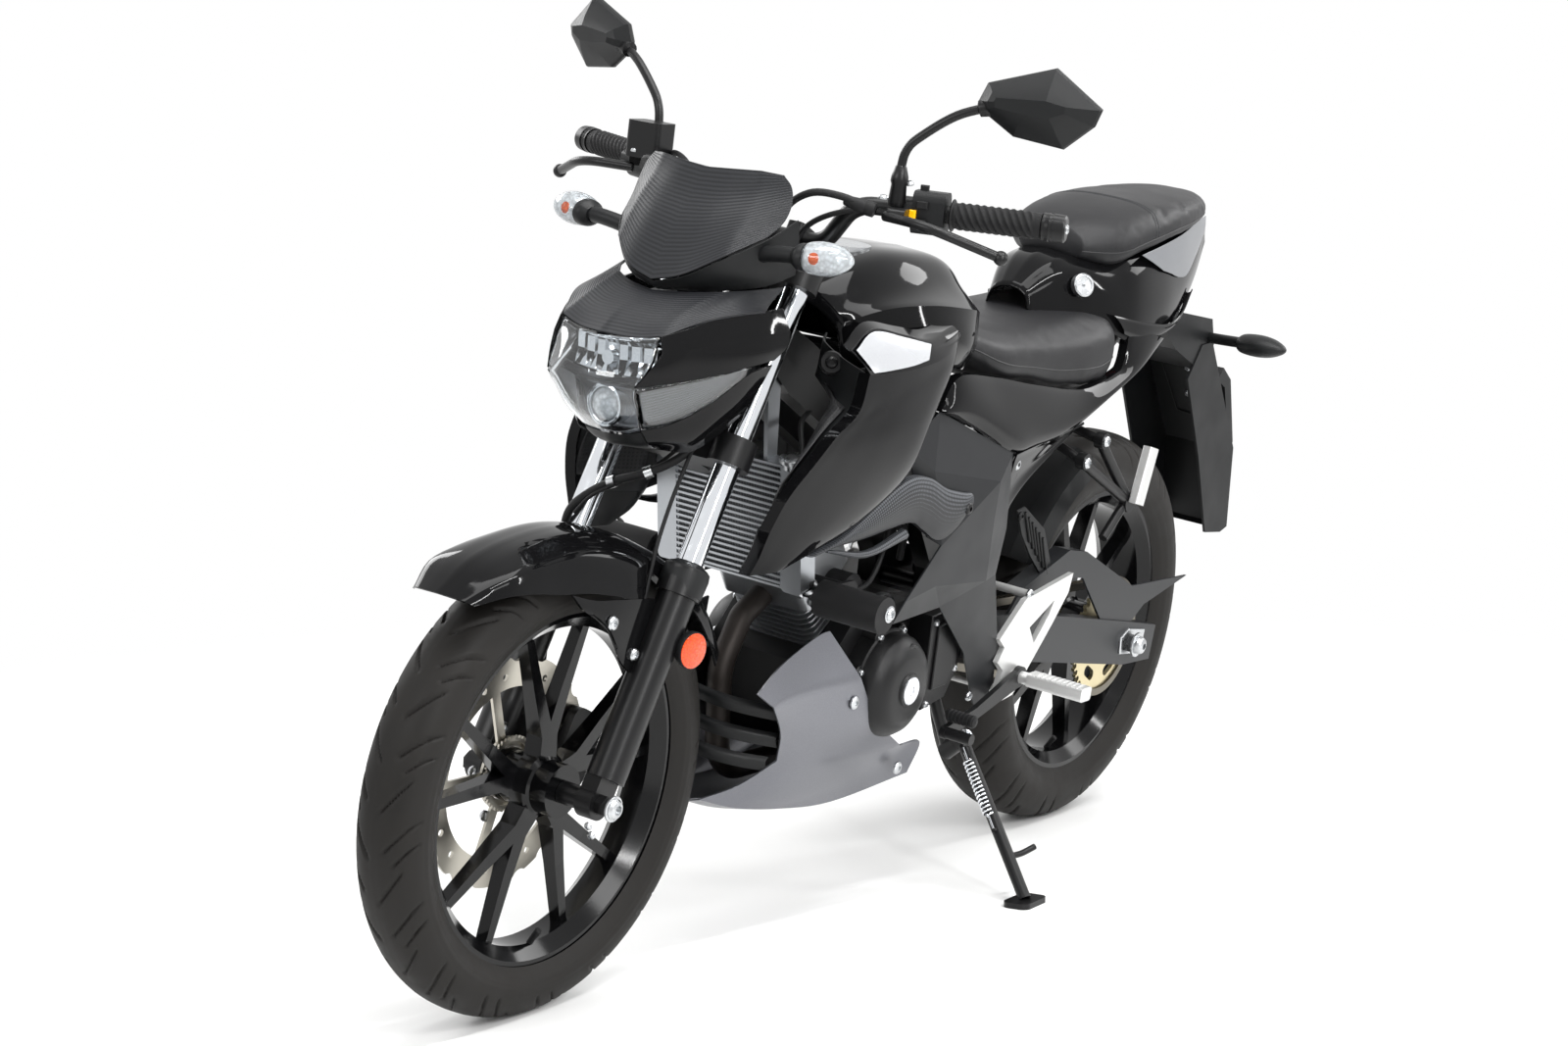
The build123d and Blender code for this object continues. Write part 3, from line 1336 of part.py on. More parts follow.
with BuildPart() as plate_holder:
    with BuildSketch(side_plane(60)):
        with BuildLine():
            Polyline(
                (-682, 826), (-730, 834), (-780, 800), (-905, 782), (-925, 740), (-890, 700), (-790, 740),
                (-700, 800),
                close=True,
            )
        make_face()
    extrude(amount=120)
    add(rear_flap.part)
    # bracket behind the flap for the plate
    with BuildSketch(side_plane(36)):
        with BuildLine():
            Polyline(
                (-994, 640), (-1030, 690), carrier_top, carrier_foot, (-1094, 520), (-1062, 552), (-1088, 570),
                (-1046, 656),
                (-1030, 664), (-1008, 620), close=True,
            )
        make_face()
    extrude(amount=72)
    add(frame.part, mode=Mode.SUBTRACT)
    with BuildSketch(side_plane(60)):
        with Locations((-690, 827)):
            Circle(8.3)
    extrude(amount=120, mode=Mode.SUBTRACT)
plate_holder.part.label = "plate_holder"
standing.append(plate_holder.part)

# cross sections from the front, then the flanks below the seat
tail_sections = (
    (-336, ((34, 822), (32, 832), (26, 842), (14, 849), (0, 851))),
    (-392, ((62, 806), (60, 836), (52, 868), (30, 886), (0, 892))),
    (-440, ((84, 800), (82, 838), (72, 876), (40, 897), (0, 902))),
    (-490, ((104, 788), (102, 832), (92, 868), (70, 892), (0, 901))),
    (-540, ((114, 772), (113, 826), (104, 872), (86, 896), (0, 903))),
    (-620, ((110, 786), (110, 832), (101, 876), (88, 908), (0, 914))),
    (-700, ((96, 808), (95, 846), (88, 884), (76, 922), (0, 928))),
    (-790, ((70, 850), (70, 880), (66, 908), (58, 938), (0, 944))),
    (-852, ((50, 905), (48, 916), (46, 930), (40, 942), (0, 948))),
)
strip_top = ((-131, 158, 658), (-190, 152, 661), (-260, 147, 667), (-350, 140, 677))
strip_low = ((-134, 156, 562), (-162, 150, 587), (-220, 145, 620), (-346, 139, 671))
flank_top = (
    (74, 147, 732), (36, 148, 772), (-76, 144, 762), (-200, 142, 742), (-360, 134, 722), (-470, 125, 736),
    (-500, 120, 750), (-545, 116, 786),
)
flank_low = (
    (66, 148, 729), (-20, 155, 701), (-128, 157, 662), (-200, 151, 662), (-300, 145, 671), (-432, 133, 707),
    (-560, 118, 742),
    (-632, 110, 778),
)
flank_boss = (-240.0, 680.0)
with BuildPart() as side_flanks:
    curved_panel(flank_top, flank_low, 8)
    curved_panel(strip_top, strip_low, -3)
    rod((flank_boss[0], rail_y - 2, 645), (flank_boss[0], 145, flank_boss[1]), 6)
    mirror(about=Plane.XZ)
    for carrier in (frame, rider_seat, fuel_tank, frame_covers):
        add(carrier.part, mode=Mode.SUBTRACT)
side_flanks.part.label = "side_flanks"
standing.append(side_flanks.part)

with BuildPart() as tail_panels:
    hull(tail_sections)
    hull(tail_sections, panel, 30, -panel, Mode.SUBTRACT)
    for side in (1, -1):
        rod((-600, side * 52, 780), (-600, side * 110, 810), 6)
    for carrier in (frame, rider_seat, pillion_seat, side_flanks, tail_light, plate_holder):
        add(carrier.part, mode=Mode.SUBTRACT)
    # the cushions stay a hair clear of the shell
    for carrier in (rider_seat, pillion_seat):
        add(Pos(0, 0, -0.4) * carrier.part, mode=Mode.SUBTRACT)
    # crumbs that the cuts leave are dropped
    add(max(tail_panels.part.solids(), key=lambda solid: solid.volume), mode=Mode.REPLACE)
tail_panels.part.label = "tail_panels"
standing.append(tail_panels.part)

with BuildPart() as rear_indicators:
    for side in (1, -1):
        rod((-905, side * 61.5, 752), (-890, side * 130, 757), 9)
        with BuildSketch(Plane(origin=(-890, side * 124, 757), x_dir=(1, 0, 0.0001), z_dir=(0.15, side, 0.05))):
            Ellipse(24, 17)
        extrude(amount=80, taper=10)
rear_indicators.part.label = "rear_indicators"
standing.append(rear_indicators.part)

# ================================================================ rear suspension
arm_in = 98.0
arm_out = 126.0
with BuildPart() as swingarm:
    for side in (1, -1):
        with BuildSketch(side_plane(arm_out if side > 0 else -arm_in)):
            with BuildLine():
                Polyline(
                    (-122, 405), (-122, 362), (-160, 352), (-640, 272), (-730, 268), (-736, 322), (-640, 340),
                    (-330, 395), (-170, 415), close=True,
                )
            make_face()
        extrude(amount=arm_out - arm_in)
    with BuildSketch(side_plane(arm_in)):
        with BuildLine():
            Polyline((-200, 392), (-262, 388), (-262, 352), (-200, 348), close=True)
        make_face()
    extrude(amount=2 * arm_in)
    # guard over the chain with its rear wing
    with BuildSketch(side_plane(arm_out - 4)):
        with BuildLine():
            Polyline(
                (-240, 392), (-282, 437), (-415, 479), (-470, 470), (-640, 396), (-828, 389), (-690, 360),
                (-655, 338),
                (-560, 345), (-470, 430), (-400, 440), (-330, 392), close=True,
            )
        make_face()
    extrude(amount=4)
    with BuildSketch(side_plane(arm_out - 4)):
        with BuildLine():
            Polyline(
                (-282, 437), (-415, 479), (-470, 470), (-640, 396), (-640, 392), (-470, 466), (-415, 475),
                (-284, 433),
                close=True,
            )
        make_face()
    extrude(amount=28)
    # pivot bosses that meet the frame's plates
    for side in (1, -1):
        rod((pivot_at[0], side * spar_face, pivot_at[2]), (pivot_at[0], side * (arm_in + 1), pivot_at[2]), 16)
    # axle with its nuts and the spacers on both sides of the hub
    rod(
        (rear_axle_at[0], -arm_out - 14, rear_axle_at[2]), (rear_axle_at[0], arm_out + 14, rear_axle_at[2]),
        axle_radius,
    )
    for side in (1, -1):
        with BuildSketch(Plane(origin=(rear_axle_at[0], side * arm_out, rear_axle_at[2]), x_dir=(1, 0, 0), z_dir=(0, side, 0))):
            RegularPolygon(14, 6)
        extrude(amount=14)
    for side, hub_end in ((1, chain_y - sprocket_thickness / 2), (-1, -rear_hub_right)):
        spacer_face = Plane(
            origin=(rear_axle_at[0], side * (hub_end + 0.5), rear_axle_at[2]), x_dir=(1, 0, 0),
            z_dir=(0, side, 0),
        )
        with BuildSketch(spacer_face):
            Circle(14)
        extrude(amount=arm_in - hub_end - 0.5)
swingarm.part.label = "swingarm"
standing.append(swingarm.part)

with BuildPart() as rear_hugger:
    with BuildSketch(radial_plane(rear_axle_at, 68)):
        with BuildLine():
            Polyline(
                (-86, 292), (-76, 314), (-50, 324), (50, 324), (76, 314), (86, 292), (82, 290), (72, 311),
                (48, 320),
                (-48, 320), (-72, 311), (-82, 290), close=True,
            )
        make_face()
    revolve(axis=Axis(rear_axle_at, (0, 1, 0)), revolution_arc=40)
    for side in (1, -1):
        rod((-392, side * 80, 475), (-392, side * 108, 386), 5)
    add(swingarm.part, mode=Mode.SUBTRACT)
rear_hugger.part.label = "rear_hugger"
standing.append(rear_hugger.part)

shock_foot = (-231.0, 390.0)
with BuildPart() as rear_shock:
    top = (shock_top[0] - 0.5, 0, shock_top[1] - 2)
    rod((shock_foot[0], 0, shock_foot[1] - 6), top, 9)
    rod((shock_foot[0] + 0.5, 0, 440), (shock_top[0] - 2, 0, 610), 26)
    add(swingarm.part, mode=Mode.SUBTRACT)
    add(frame.part, mode=Mode.SUBTRACT)
rear_shock.part.label = "rear_shock"
standing.append(rear_shock.part)

with BuildPart() as rear_caliper:
    with BuildSketch(side_plane(rear_disc_y + 12, rear_axle_at)):
        with Locations((86, 22)):
            RectangleRounded(60, 50, 12)
    extrude(amount=arm_in + rear_disc_y + 12 - running_gap)
    with BuildSketch(side_plane(rear_disc_y + 3, rear_axle_at)):
        Circle(rear_disc_radius + 5)
    extrude(amount=10, mode=Mode.SUBTRACT)
rear_caliper.part.label = "rear_caliper"
standing.append(rear_caliper.part)

# ================================================================ footrests, pedals, stand
peg_at = (-236.0, 326.0)
peg_stem_radius = 9.0
with BuildPart() as footpeg_brackets:
    for side in (1, -1):
        with BuildSketch(side_plane(154 if side > 0 else -146)):
            with BuildLine():
                Polyline(
                    (-188, 300), (-200, 338), (-182, 352), (-196, 372), (-178, 386), (-238, 436), (-372, 458),
                    (-366, 430),
                    (-330, 388), (-262, 316), (-240, 296), (-208, 292), close=True,
                )
            make_face()
            with BuildLine():
                Polyline((-262, 392), (-326, 424), (-316, 404), (-282, 366), close=True)
            make_face(mode=Mode.SUBTRACT)
        extrude(amount=8)
        for x, z in bracket_bosses:
            rod((x, side * spar_face, z), (x, side * 147, z), bracket_boss_radius)
        # the rider's peg
        rod((peg_at[0], side * 150, peg_at[1]), (peg_at[0], side * 182, peg_at[1]), peg_stem_radius)
        with BuildSketch(Plane(origin=(peg_at[0], side * 182, peg_at[1] + 2), x_dir=(1, 0, 0), z_dir=(0, side, 0))):
            RectangleRounded(30, 20, 5)
        extrude(amount=88)
footpeg_brackets.part.label = "footpeg_brackets"
standing.append(footpeg_brackets.part)

pedal_toe = (-44.0, 277.0)
with BuildPart() as foot_pedals:
    for side in (1, -1):
        with BuildSketch(side_plane(166 if side > 0 else -158)):
            with BuildLine():
                Polyline((-236, 340), (-120, 300), (-44, 285), (-44, 269), (-120, 282), (-236, 312), close=True)
            make_face()
            with Locations(peg_at):
                Circle(15)
                Circle(peg_stem_radius + running_gap, mode=Mode.SUBTRACT)
            with Locations(pedal_toe):
                Circle(9)
        extrude(amount=8)
        rod((pedal_toe[0], side * 165, pedal_toe[1]), (pedal_toe[0], side * 205, pedal_toe[1]), 8)
foot_pedals.part.label = "foot_pedals"
standing.append(foot_pedals.part)

hanger_eye = (-509.0, 549.0)
with BuildPart() as pillion_hangers:
    for side in (1, -1):
        y = side * 152
        # two bars that meet at the peg's eye, one of them running on past it
        rod((-345, y, 626), (hanger_eye[0] + 6, y, hanger_eye[1] + 4), 8)
        rod((-394, y, 652), (hanger_eye[0] + 10, y, hanger_eye[1] + 14), 8)
        rod((-452, y, 500), (hanger_eye[0] + 4, y, hanger_eye[1] - 2), 7)
        with BuildSketch(side_plane(160 if side > 0 else -148)):
            with Locations(hanger_eye):
                Circle(15)
        extrude(amount=12)
        for x, z, rail_z in ((-345, 626, 660), (-394, 652, 670)):
            with BuildSketch(side_plane(162 if side > 0 else -148)):
                with Locations((x, z)):
                    Circle(12)
            extrude(amount=14)
            rod((x, side * 150, z), (x, side * rail_y, rail_z), 7)
    add(frame.part, mode=Mode.SUBTRACT)
pillion_hangers.part.label = "pillion_hangers"
standing.append(pillion_hangers.part)

pillion_peg_up = (-0.25, 0.0, 0.97)
pillion_peg_y = 168.5
for side, name in ((1, "pillion_peg_left"), (-1, "pillion_peg_right")):
    with BuildPart() as pillion_peg:
        peg_root = (hanger_eye[0], side * pillion_peg_y, hanger_eye[1])
        with BuildSketch(Plane(origin=peg_root, x_dir=(0.97, 0, 0.25), z_dir=pillion_peg_up)):
            RectangleRounded(26, 16, 4)
        extrude(amount=86)
    pillion_peg.part.label = name
    standing.append(pillion_peg.part)

with BuildPart() as crash_bobbins:
    for side in (1, -1):
        rod((200, side * (head_half + running_gap), 500), (200, side * 126, 500), 9)
        with BuildSketch(side_plane(130 if side > 0 else -124)):
            with Locations((236, 500)):
                SlotOverall(100, 28)
        extrude(amount=6)
        rod((272, side * 130, 501), (272, side * 226, 501), 24)
crash_bobbins.part.label = "crash_bobbins"
standing.append(crash_bobbins.part)

# the side stand's foot meets the floor of the leaned machine
tyres = [front_tyre.part.moved(parked_steered), rear_tyre.part.moved(parked)]
floor_z = min(tyre.bounding_box().min.Z for tyre in tyres)
stand_bar_radius = 9.0
foot_thickness = 8.0
foot_top = upright(stand_foot[1], floor_z + foot_thickness)
foot_base = upright(stand_foot[1], floor_z)
floor_up = (0, foot_top[0] - foot_base[0], foot_top[1] - foot_base[1])
with BuildPart() as side_stand:
    rod(stand_pivot, (stand_foot[0], foot_top[0], foot_top[1]), stand_bar_radius)
    with BuildSketch(Plane(origin=(stand_foot[0], foot_base[0], foot_base[1]), x_dir=(1, 0, 0), z_dir=floor_up)):
        RectangleRounded(64, 40, 12)
    extrude(amount=foot_thickness)
    rod(
        tuple(Vector(*stand_pivot) - stand_axis * stand_boss_half),
        tuple(Vector(*stand_pivot) + stand_axis * stand_boss_half), 13,
    )
side_stand.part.label = "side_stand"
standing.append(side_stand.part)

# ================================================================ the parked machine
# Lean and steer every piece, then bring the floor to zero and the box's middle over the origin.
placed = [piece.moved(parked) for piece in standing] + [piece.moved(parked_steered) for piece in steered]
boxes = [piece.bounding_box() for piece in placed]
middle_x = (min(box.min.X for box in boxes) + max(box.max.X for box in boxes)) / 2
middle_y = (min(box.min.Y for box in boxes) + max(box.max.Y for box in boxes)) / 2
to_origin = Location((-middle_x, -middle_y, -floor_z))
for piece in placed:
    export_step(piece.moved(to_origin), f"parts/{piece.label}.step")
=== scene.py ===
"""Looks of a light standard motorcycle parked on its side stand.

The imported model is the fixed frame. Body panels, seats, tyres, lenses and fittings are surfaces worked out
with numpy in the upright machine's own millimetres, then leaned onto the stand and, for what turns with the
fork, steered. Every size below is in millimetres unless its name says otherwise.
"""

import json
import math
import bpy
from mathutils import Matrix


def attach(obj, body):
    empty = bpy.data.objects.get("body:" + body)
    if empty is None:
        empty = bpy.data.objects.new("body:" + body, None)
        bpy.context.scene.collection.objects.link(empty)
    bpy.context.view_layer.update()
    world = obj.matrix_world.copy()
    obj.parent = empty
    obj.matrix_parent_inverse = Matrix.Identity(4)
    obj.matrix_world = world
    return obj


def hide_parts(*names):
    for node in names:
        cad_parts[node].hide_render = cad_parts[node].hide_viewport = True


bl_info = {
    "name": "Standard motorcycle",
    "version": (1, 0, 0),
    "blender": (4, 5, 0),
    "location": "View3D > Sidebar > Motorcycle",
    "description": "Builds the panels, seats, tyres, lights and finishes of a parked standard motorcycle",
    "category": "Add Mesh",
}

import bpy
import numpy as np
from bpy.props import FloatProperty, FloatVectorProperty, PointerProperty
from mathutils import Matrix, Vector

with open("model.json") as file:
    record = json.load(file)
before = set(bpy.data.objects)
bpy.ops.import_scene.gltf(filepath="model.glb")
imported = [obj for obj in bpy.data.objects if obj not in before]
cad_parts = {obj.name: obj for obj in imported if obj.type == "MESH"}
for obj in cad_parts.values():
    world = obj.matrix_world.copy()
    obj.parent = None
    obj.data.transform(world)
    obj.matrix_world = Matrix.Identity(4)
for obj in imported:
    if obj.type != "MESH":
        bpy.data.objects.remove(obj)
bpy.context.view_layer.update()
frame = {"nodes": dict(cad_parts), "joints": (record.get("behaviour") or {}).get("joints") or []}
NODES = frame["nodes"]
JOINTS = {joint["name"]: joint for joint in frame["joints"]}

MM = 0.001
REAR_AXLE = np.array([-650.0, 0.0, 306.0])      # axles of the upright machine, in mm
FRONT_AXLE = np.array([650.0, 0.0, 288.0])


# ---------------------------------------------------------------- placing in the parked machine
def unit(vector):
    """The vector at a length of one."""
    vector = np.asarray(vector, float)
    return vector / np.linalg.norm(vector)


def standing_turn():
    """Rotation that leans the upright machine: its axle line becomes the rear wheel's joint axis."""
    across = unit(JOINTS["rear_wheel_spin"]["axis"])
    forward = np.array([1.0, 0.0, 0.0])
    return np.stack([forward, across, np.cross(forward, across)], axis=1)


def steered_turn():
    """Rotation that leans and steers: the fork's three directions become those of its joints."""
    lean = standing_turn()
    steering = unit(JOINTS["steering_turn"]["axis"])
    axle = unit(JOINTS["front_wheel_spin"]["axis"])
    upright = lean.T @ steering
    before = np.stack([np.cross([0.0, 1.0, 0.0], upright), [0.0, 1.0, 0.0], upright], axis=1)
    after = np.stack([np.cross(axle, steering), axle, steering], axis=1)
    return after @ before.T


def standing(points):
    """Upright millimetres to parked metres, for what leans with the machine."""
    return (np.asarray(points, float) - REAR_AXLE) * MM @ standing_turn().T + JOINTS["rear_wheel_spin"]["pos_m"]


def steered(points):
    """Upright millimetres to parked metres, for what turns with the fork."""
    return (np.asarray(points, float) - FRONT_AXLE) * MM @ steered_turn().T + JOINTS["front_wheel_spin"]["pos_m"]


def place_of(body):
    """What turns with the fork is placed with it, and the rest stands with the machine."""
    return steered if body in ("steering", "front_wheel") else standing


# ---------------------------------------------------------------- surfaces
def spline_weights(count, steps, creases=()):
    """Weights that run a smooth cubic through `count` control values with `steps` samples to a span.

    Inside, the slope at a value is half the step from the value before it to the one after. At an end or a
    crease it is the step to the next value, so the curve may kink there.
    """
    samples = (count - 1) * steps + 1
    t = np.linspace(0, count - 1, samples)
    span = np.minimum(t.astype(int), count - 2)
    s = (t - span)[:, None]
    here = np.eye(count)
    leaving = np.zeros((count, count))
    arriving = np.zeros((count, count))
    for k in range(count):
        sharp = k in creases or k == 0 or k == count - 1
        after, before = min(k + 1, count - 1), max(k - 1, 0)
        leaving[k] = here[after] - here[k] if sharp else (here[after] - here[before]) / 2
        arriving[k] = here[k] - here[before] if sharp else (here[after] - here[before]) / 2
    return (
        (2 * s**3 - 3 * s**2 + 1) * here[span] + (s**3 - 2 * s**2 + s) * leaving[span]
        + (3 * s**2 - 2 * s**3) * here[span + 1] + (s**3 - s**2) * arriving[span + 1]
    )


def net_surface(net, steps=(6, 6), row_creases=(), column_creases=()):
    """Grid of points on the smooth surface through a net of control points: rows, then columns."""
    net = np.asarray(net, float)
    rows = spline_weights(net.shape[0], steps[0], row_creases)
    columns = spline_weights(net.shape[1], steps[1], column_creases)
    return np.einsum("ai,ijk,bj->abk", rows, net, columns)


def smooth_line(points, steps=6, creases=()):
    """Points on the smooth curve through the given ones."""
    points = np.asarray(points, float)
    return spline_weights(len(points), steps, creases) @ points


def grid_faces(rows, columns, closed_rows=False, closed_columns=False, start=0):
    """Quads that join the points of a grid, wrapping round where it is closed."""
    r = np.arange(rows if closed_rows else rows - 1)
    c = np.arange(columns if closed_columns else columns - 1)
    r, c = np.meshgrid(r, c, indexing="ij")
    r, c = r.ravel(), c.ravel()
    next_r, next_c = (r + 1) % rows, (c + 1) % columns
    corners = [r * columns + c, next_r * columns + c, next_r * columns + next_c, r * columns + next_c]
    return (np.stack(corners, axis=1) + start).tolist()


class Shape:
    """Points and faces of one piece while it is put together."""

    def __init__(self):
        self.points = []
        self.spread = []
        self.faces = []
        self.size = 0

    def grid(self, points, closed_rows=False, closed_columns=False, caps=False, towards=None):
        """Adds a grid surface. Caps close the first and last rows; towards turns its faces that way."""
        points = np.asarray(points, float)
        rows, columns = points.shape[:2]
        faces = grid_faces(rows, columns, closed_rows, closed_columns, self.size)
        if caps:
            faces.append([self.size + k for k in range(columns)])
            faces.append([self.size + (rows - 1) * columns + k for k in range(columns)][::-1])
        if towards is not None:
            side_a, side_b = points[1:, :-1] - points[:-1, :-1], points[:-1, 1:] - points[:-1, :-1]
            if (np.cross(side_a, side_b).sum(axis=(0, 1)) @ np.asarray(towards, float)) < 0:
                faces = [face[::-1] for face in faces]
        down = np.linalg.norm(np.diff(points, axis=0, prepend=points[:1]), axis=2).mean(axis=1).cumsum()
        across = np.linalg.norm(np.diff(points, axis=1, prepend=points[:, :1]), axis=2).mean(axis=0).cumsum()
        spread = np.stack(np.meshgrid(across, down), axis=2).reshape(-1, 2)
        return self.add(points.reshape(-1, 3), faces, spread)

    def add(self, points, faces, spread=None):
        """Adds points with faces already counted from this shape's size, and their spread-out place in mm."""
        self.points.append(np.asarray(points, float))
        self.spread.append(np.zeros((len(points), 2)) if spread is None else spread)
        self.faces.extend(faces)
        self.size += len(points)
        return self

    def facets(self, corners, faces):
        """Adds flat faces over named corners."""
        names = list(corners)
        order = {name: self.size + k for k, name in enumerate(names)}
        return self.add([corners[name] for name in names],
                        [[order[name] for name in face.split()] for face in faces])

    def both_sides(self):
        """Adds the mirror image on the right, with its faces turned to stay outward."""
        points = np.concatenate(self.points)
        mirror = points * np.array([1.0, -1.0, 1.0])
        faces = [[index + self.size for index in face[::-1]] for face in self.faces]
        return self.add(mirror, faces, np.concatenate(self.spread))


def tube_grid(path, radius, sides=14, flat=1.0, up=(0.0, 0.0, 1.0)):
    """A circle of this radius, or one radius a point, carried along a path; flat squeezes it along up."""
    path = np.asarray(path, float)
    radius = np.broadcast_to(radius, len(path))[:, None, None]
    along = np.gradient(path, axis=0)
    along /= np.linalg.norm(along, axis=1, keepdims=True)
    side = np.cross(along, np.asarray(up, float))
    side /= np.linalg.norm(side, axis=1, keepdims=True)
    top = np.cross(side, along)
    turn = np.linspace(0, 2 * np.pi, sides, endpoint=False)[None, :, None]
    return path[:, None] + radius * (np.cos(turn) * side[:, None] + flat * np.sin(turn) * top[:, None])


def revolved(profile, centre, axis=(0.0, 1.0, 0.0), sides=48):
    """A profile of (distance along the axis, radius) turned about it, clockwise so that faces point outward."""
    profile = np.asarray(profile, float)
    axis = unit(axis)
    other = np.array([1.0, 0.0, 0.0]) if abs(axis[0]) < 0.8 else np.array([0.0, 0.0, 1.0])
    u = unit(np.cross(axis, other))
    v = np.cross(axis, u)
    turn = np.linspace(2 * np.pi, 0, sides, endpoint=False)[None, :, None]
    return (
        np.asarray(centre, float) + profile[:, 0, None, None] * axis
        + profile[:, 1, None, None] * (np.cos(turn) * u + np.sin(turn) * v)
    )


def between(first, second, cross, steps=(6, 6), creases=(), out=(0.0, 1.0, 0.0)):
    """Surface between two edges: straight across, pushed out by a cross profile of (share, offset)."""
    first, second = np.asarray(first, float), np.asarray(second, float)
    cross = np.asarray(cross, float)
    shares = cross[:, 0][None, :, None]
    net = first[:, None] * (1 - shares) + second[:, None] * shares
    net = net + cross[:, 1][None, :, None] * np.asarray(out, float)
    return net_surface(net, steps, (), creases)


def plain_mesh(name, shape, place, material, angle=34.0):
    """Object with the shape's mesh placed in the parked machine, smooth but for edges past the angle."""
    mesh = bpy.data.meshes.new(name)
    mesh.from_pydata(place(np.concatenate(shape.points)).tolist(), [], shape.faces)
    mesh.polygons.foreach_set("use_smooth", np.ones(len(mesh.polygons), bool))
    mesh.set_sharp_from_angle(angle=math.radians(angle))
    corners = np.zeros(len(mesh.loops), np.int32)
    mesh.loops.foreach_get("vertex_index", corners)
    spread = mesh.uv_layers.new(name="spread_out")
    spread.data.foreach_set("uv", (np.concatenate(shape.spread)[corners] * MM).astype(np.float32).ravel())
    mesh.materials.append(material)
    piece = bpy.data.objects.new(name, mesh)
    bpy.context.scene.collection.objects.link(piece)
    return piece


def finish_piece(piece, body, nodes=(), thickness=0.0, bevel=0.0, levels=0):
    """Gives a piece its wall, its rounded edges and its body, and hides the nodes it stands for."""
    if thickness:
        wall = piece.modifiers.new("wall", "SOLIDIFY")
        wall.thickness = thickness * MM
        wall.offset = -1.0
    if bevel:
        edge = piece.modifiers.new("edges", "BEVEL")
        edge.width = bevel * MM
        edge.segments = 2
        edge.limit_method = "ANGLE"
        edge.angle_limit = math.radians(38)
        edge.harden_normals = True
    if levels:
        fine = piece.modifiers.new("fine", "SUBSURF")
        fine.levels = fine.render_levels = levels
    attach(piece, body)
    if nodes:
        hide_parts(*nodes)
    return piece


# ---------------------------------------------------------------- materials
def colour(hex_code):
    """sRGB hex to linear red, green, blue and alpha."""
    parts = [int(hex_code[k:k + 2], 16) / 255 for k in (1, 3, 5)]
    return tuple(c / 12.92 if c <= 0.04045 else ((c + 0.055) / 1.055) ** 2.4 for c in parts) + (1.0,)


def node(tree, kind, links=(), **settings):
    """Adds a node, sets its properties and sockets, and links (its socket, other node, other socket)."""
    made = tree.nodes.new("ShaderNode" + kind)
    for key, value in settings.items():
        if hasattr(made, key):
            setattr(made, key, value)
        else:
            made.inputs[key.replace("_", " ")].default_value = value
    for socket, other, output in links:
        tree.links.new(other.outputs[output], made.inputs[socket])
    return made


def wire(first, output, second, socket):
    """Links an output of one node to a socket of another."""
    first.id_data.links.new(first.outputs[output], second.inputs[socket])


def new_material(name, **sockets):
    """A material with its Principled shader, whose sockets are set by their names."""
    material = bpy.data.materials.new(name)
    material.use_nodes = True
    shader = material.node_tree.nodes["Principled BSDF"]
    for key, value in sockets.items():
        shader.inputs[key.replace("_", " ")].default_value = value
    return material, material.node_tree, shader


def gloss_lacquer(base):
    """Black base coat under clear lacquer, sprayed on moulded panels.

    One sharp reflection over a black that gives back almost nothing; the lacquer's orange peel, about 9 mm
    across, makes the edges of that reflection waver.
    """
    material, tree, shader = new_material("Gloss black lacquer", Base_Color=base, Roughness=0.05,
                                          Specular_IOR_Level=0.15)
    place = node(tree, "TexCoord")
    peel = node(tree, "TexNoise", [("Vector", place, "Object")], Scale=110.0, Detail=1.0)
    bump = node(tree, "Bump", [("Height", peel, "Fac")], Strength=0.4, Distance=0.00004)
    haze = node(tree, "TexNoise", [("Vector", place, "Object")], Scale=14.0, Detail=3.0)
    rough = node(tree, "MapRange", [("Value", haze, "Fac")], From_Min=0.35, From_Max=0.75, To_Min=0.04,
                 To_Max=0.085)
    wire(bump, "Normal", shader, "Normal")
    wire(rough, "Result", shader, "Roughness")
    return material


def gloss_powder():
    """Gloss black powder coat on cast wheels: a little softer than lacquer, with a coarser peel."""
    material, tree, shader = new_material("Gloss black powder coat", Base_Color=colour("#070708"), Roughness=0.12,
                                          Specular_IOR_Level=0.24)
    place = node(tree, "TexCoord")
    peel = node(tree, "TexNoise", [("Vector", place, "Object")], Scale=420.0, Detail=2.0)
    bump = node(tree, "Bump", [("Height", peel, "Fac")], Strength=0.5, Distance=0.00006)
    wire(bump, "Normal", shader, "Normal")
    return material


def band_scale(pitch):
    """Scale that sets the lines of a band texture this many mm apart."""
    return 0.314 / (pitch * MM)


def ribbed_plastic(pitch):
    """Unpainted moulded ABS with fine ribs cut in the mould; their shimmer as the light grazes them is painted, as
    lighter colour on the rib crests than between them.

    The ribs run across the piece's own spread-out map, so they keep their real pitch round its curves.
    """
    material, tree, shader = new_material("Ribbed dark ABS", Roughness=0.42, Specular_IOR_Level=0.24)
    place = node(tree, "UVMap")
    ribs = node(tree, "TexWave", [("Vector", place, "UV")], wave_type="BANDS", bands_direction="Y",
                Scale=band_scale(pitch))
    # painted sheen: the rib crests are coloured lighter than the hollows between them
    tint = node(tree, "Mix", [("Factor", ribs, "Fac")], data_type="RGBA", A=colour("#161719"),
                B=colour("#242528"))
    bump = node(tree, "Bump", [("Height", ribs, "Fac")], Strength=0.8, Distance=0.00028)
    wire(tint, "Result", shader, "Base Color")
    wire(bump, "Normal", shader, "Normal")
    return material


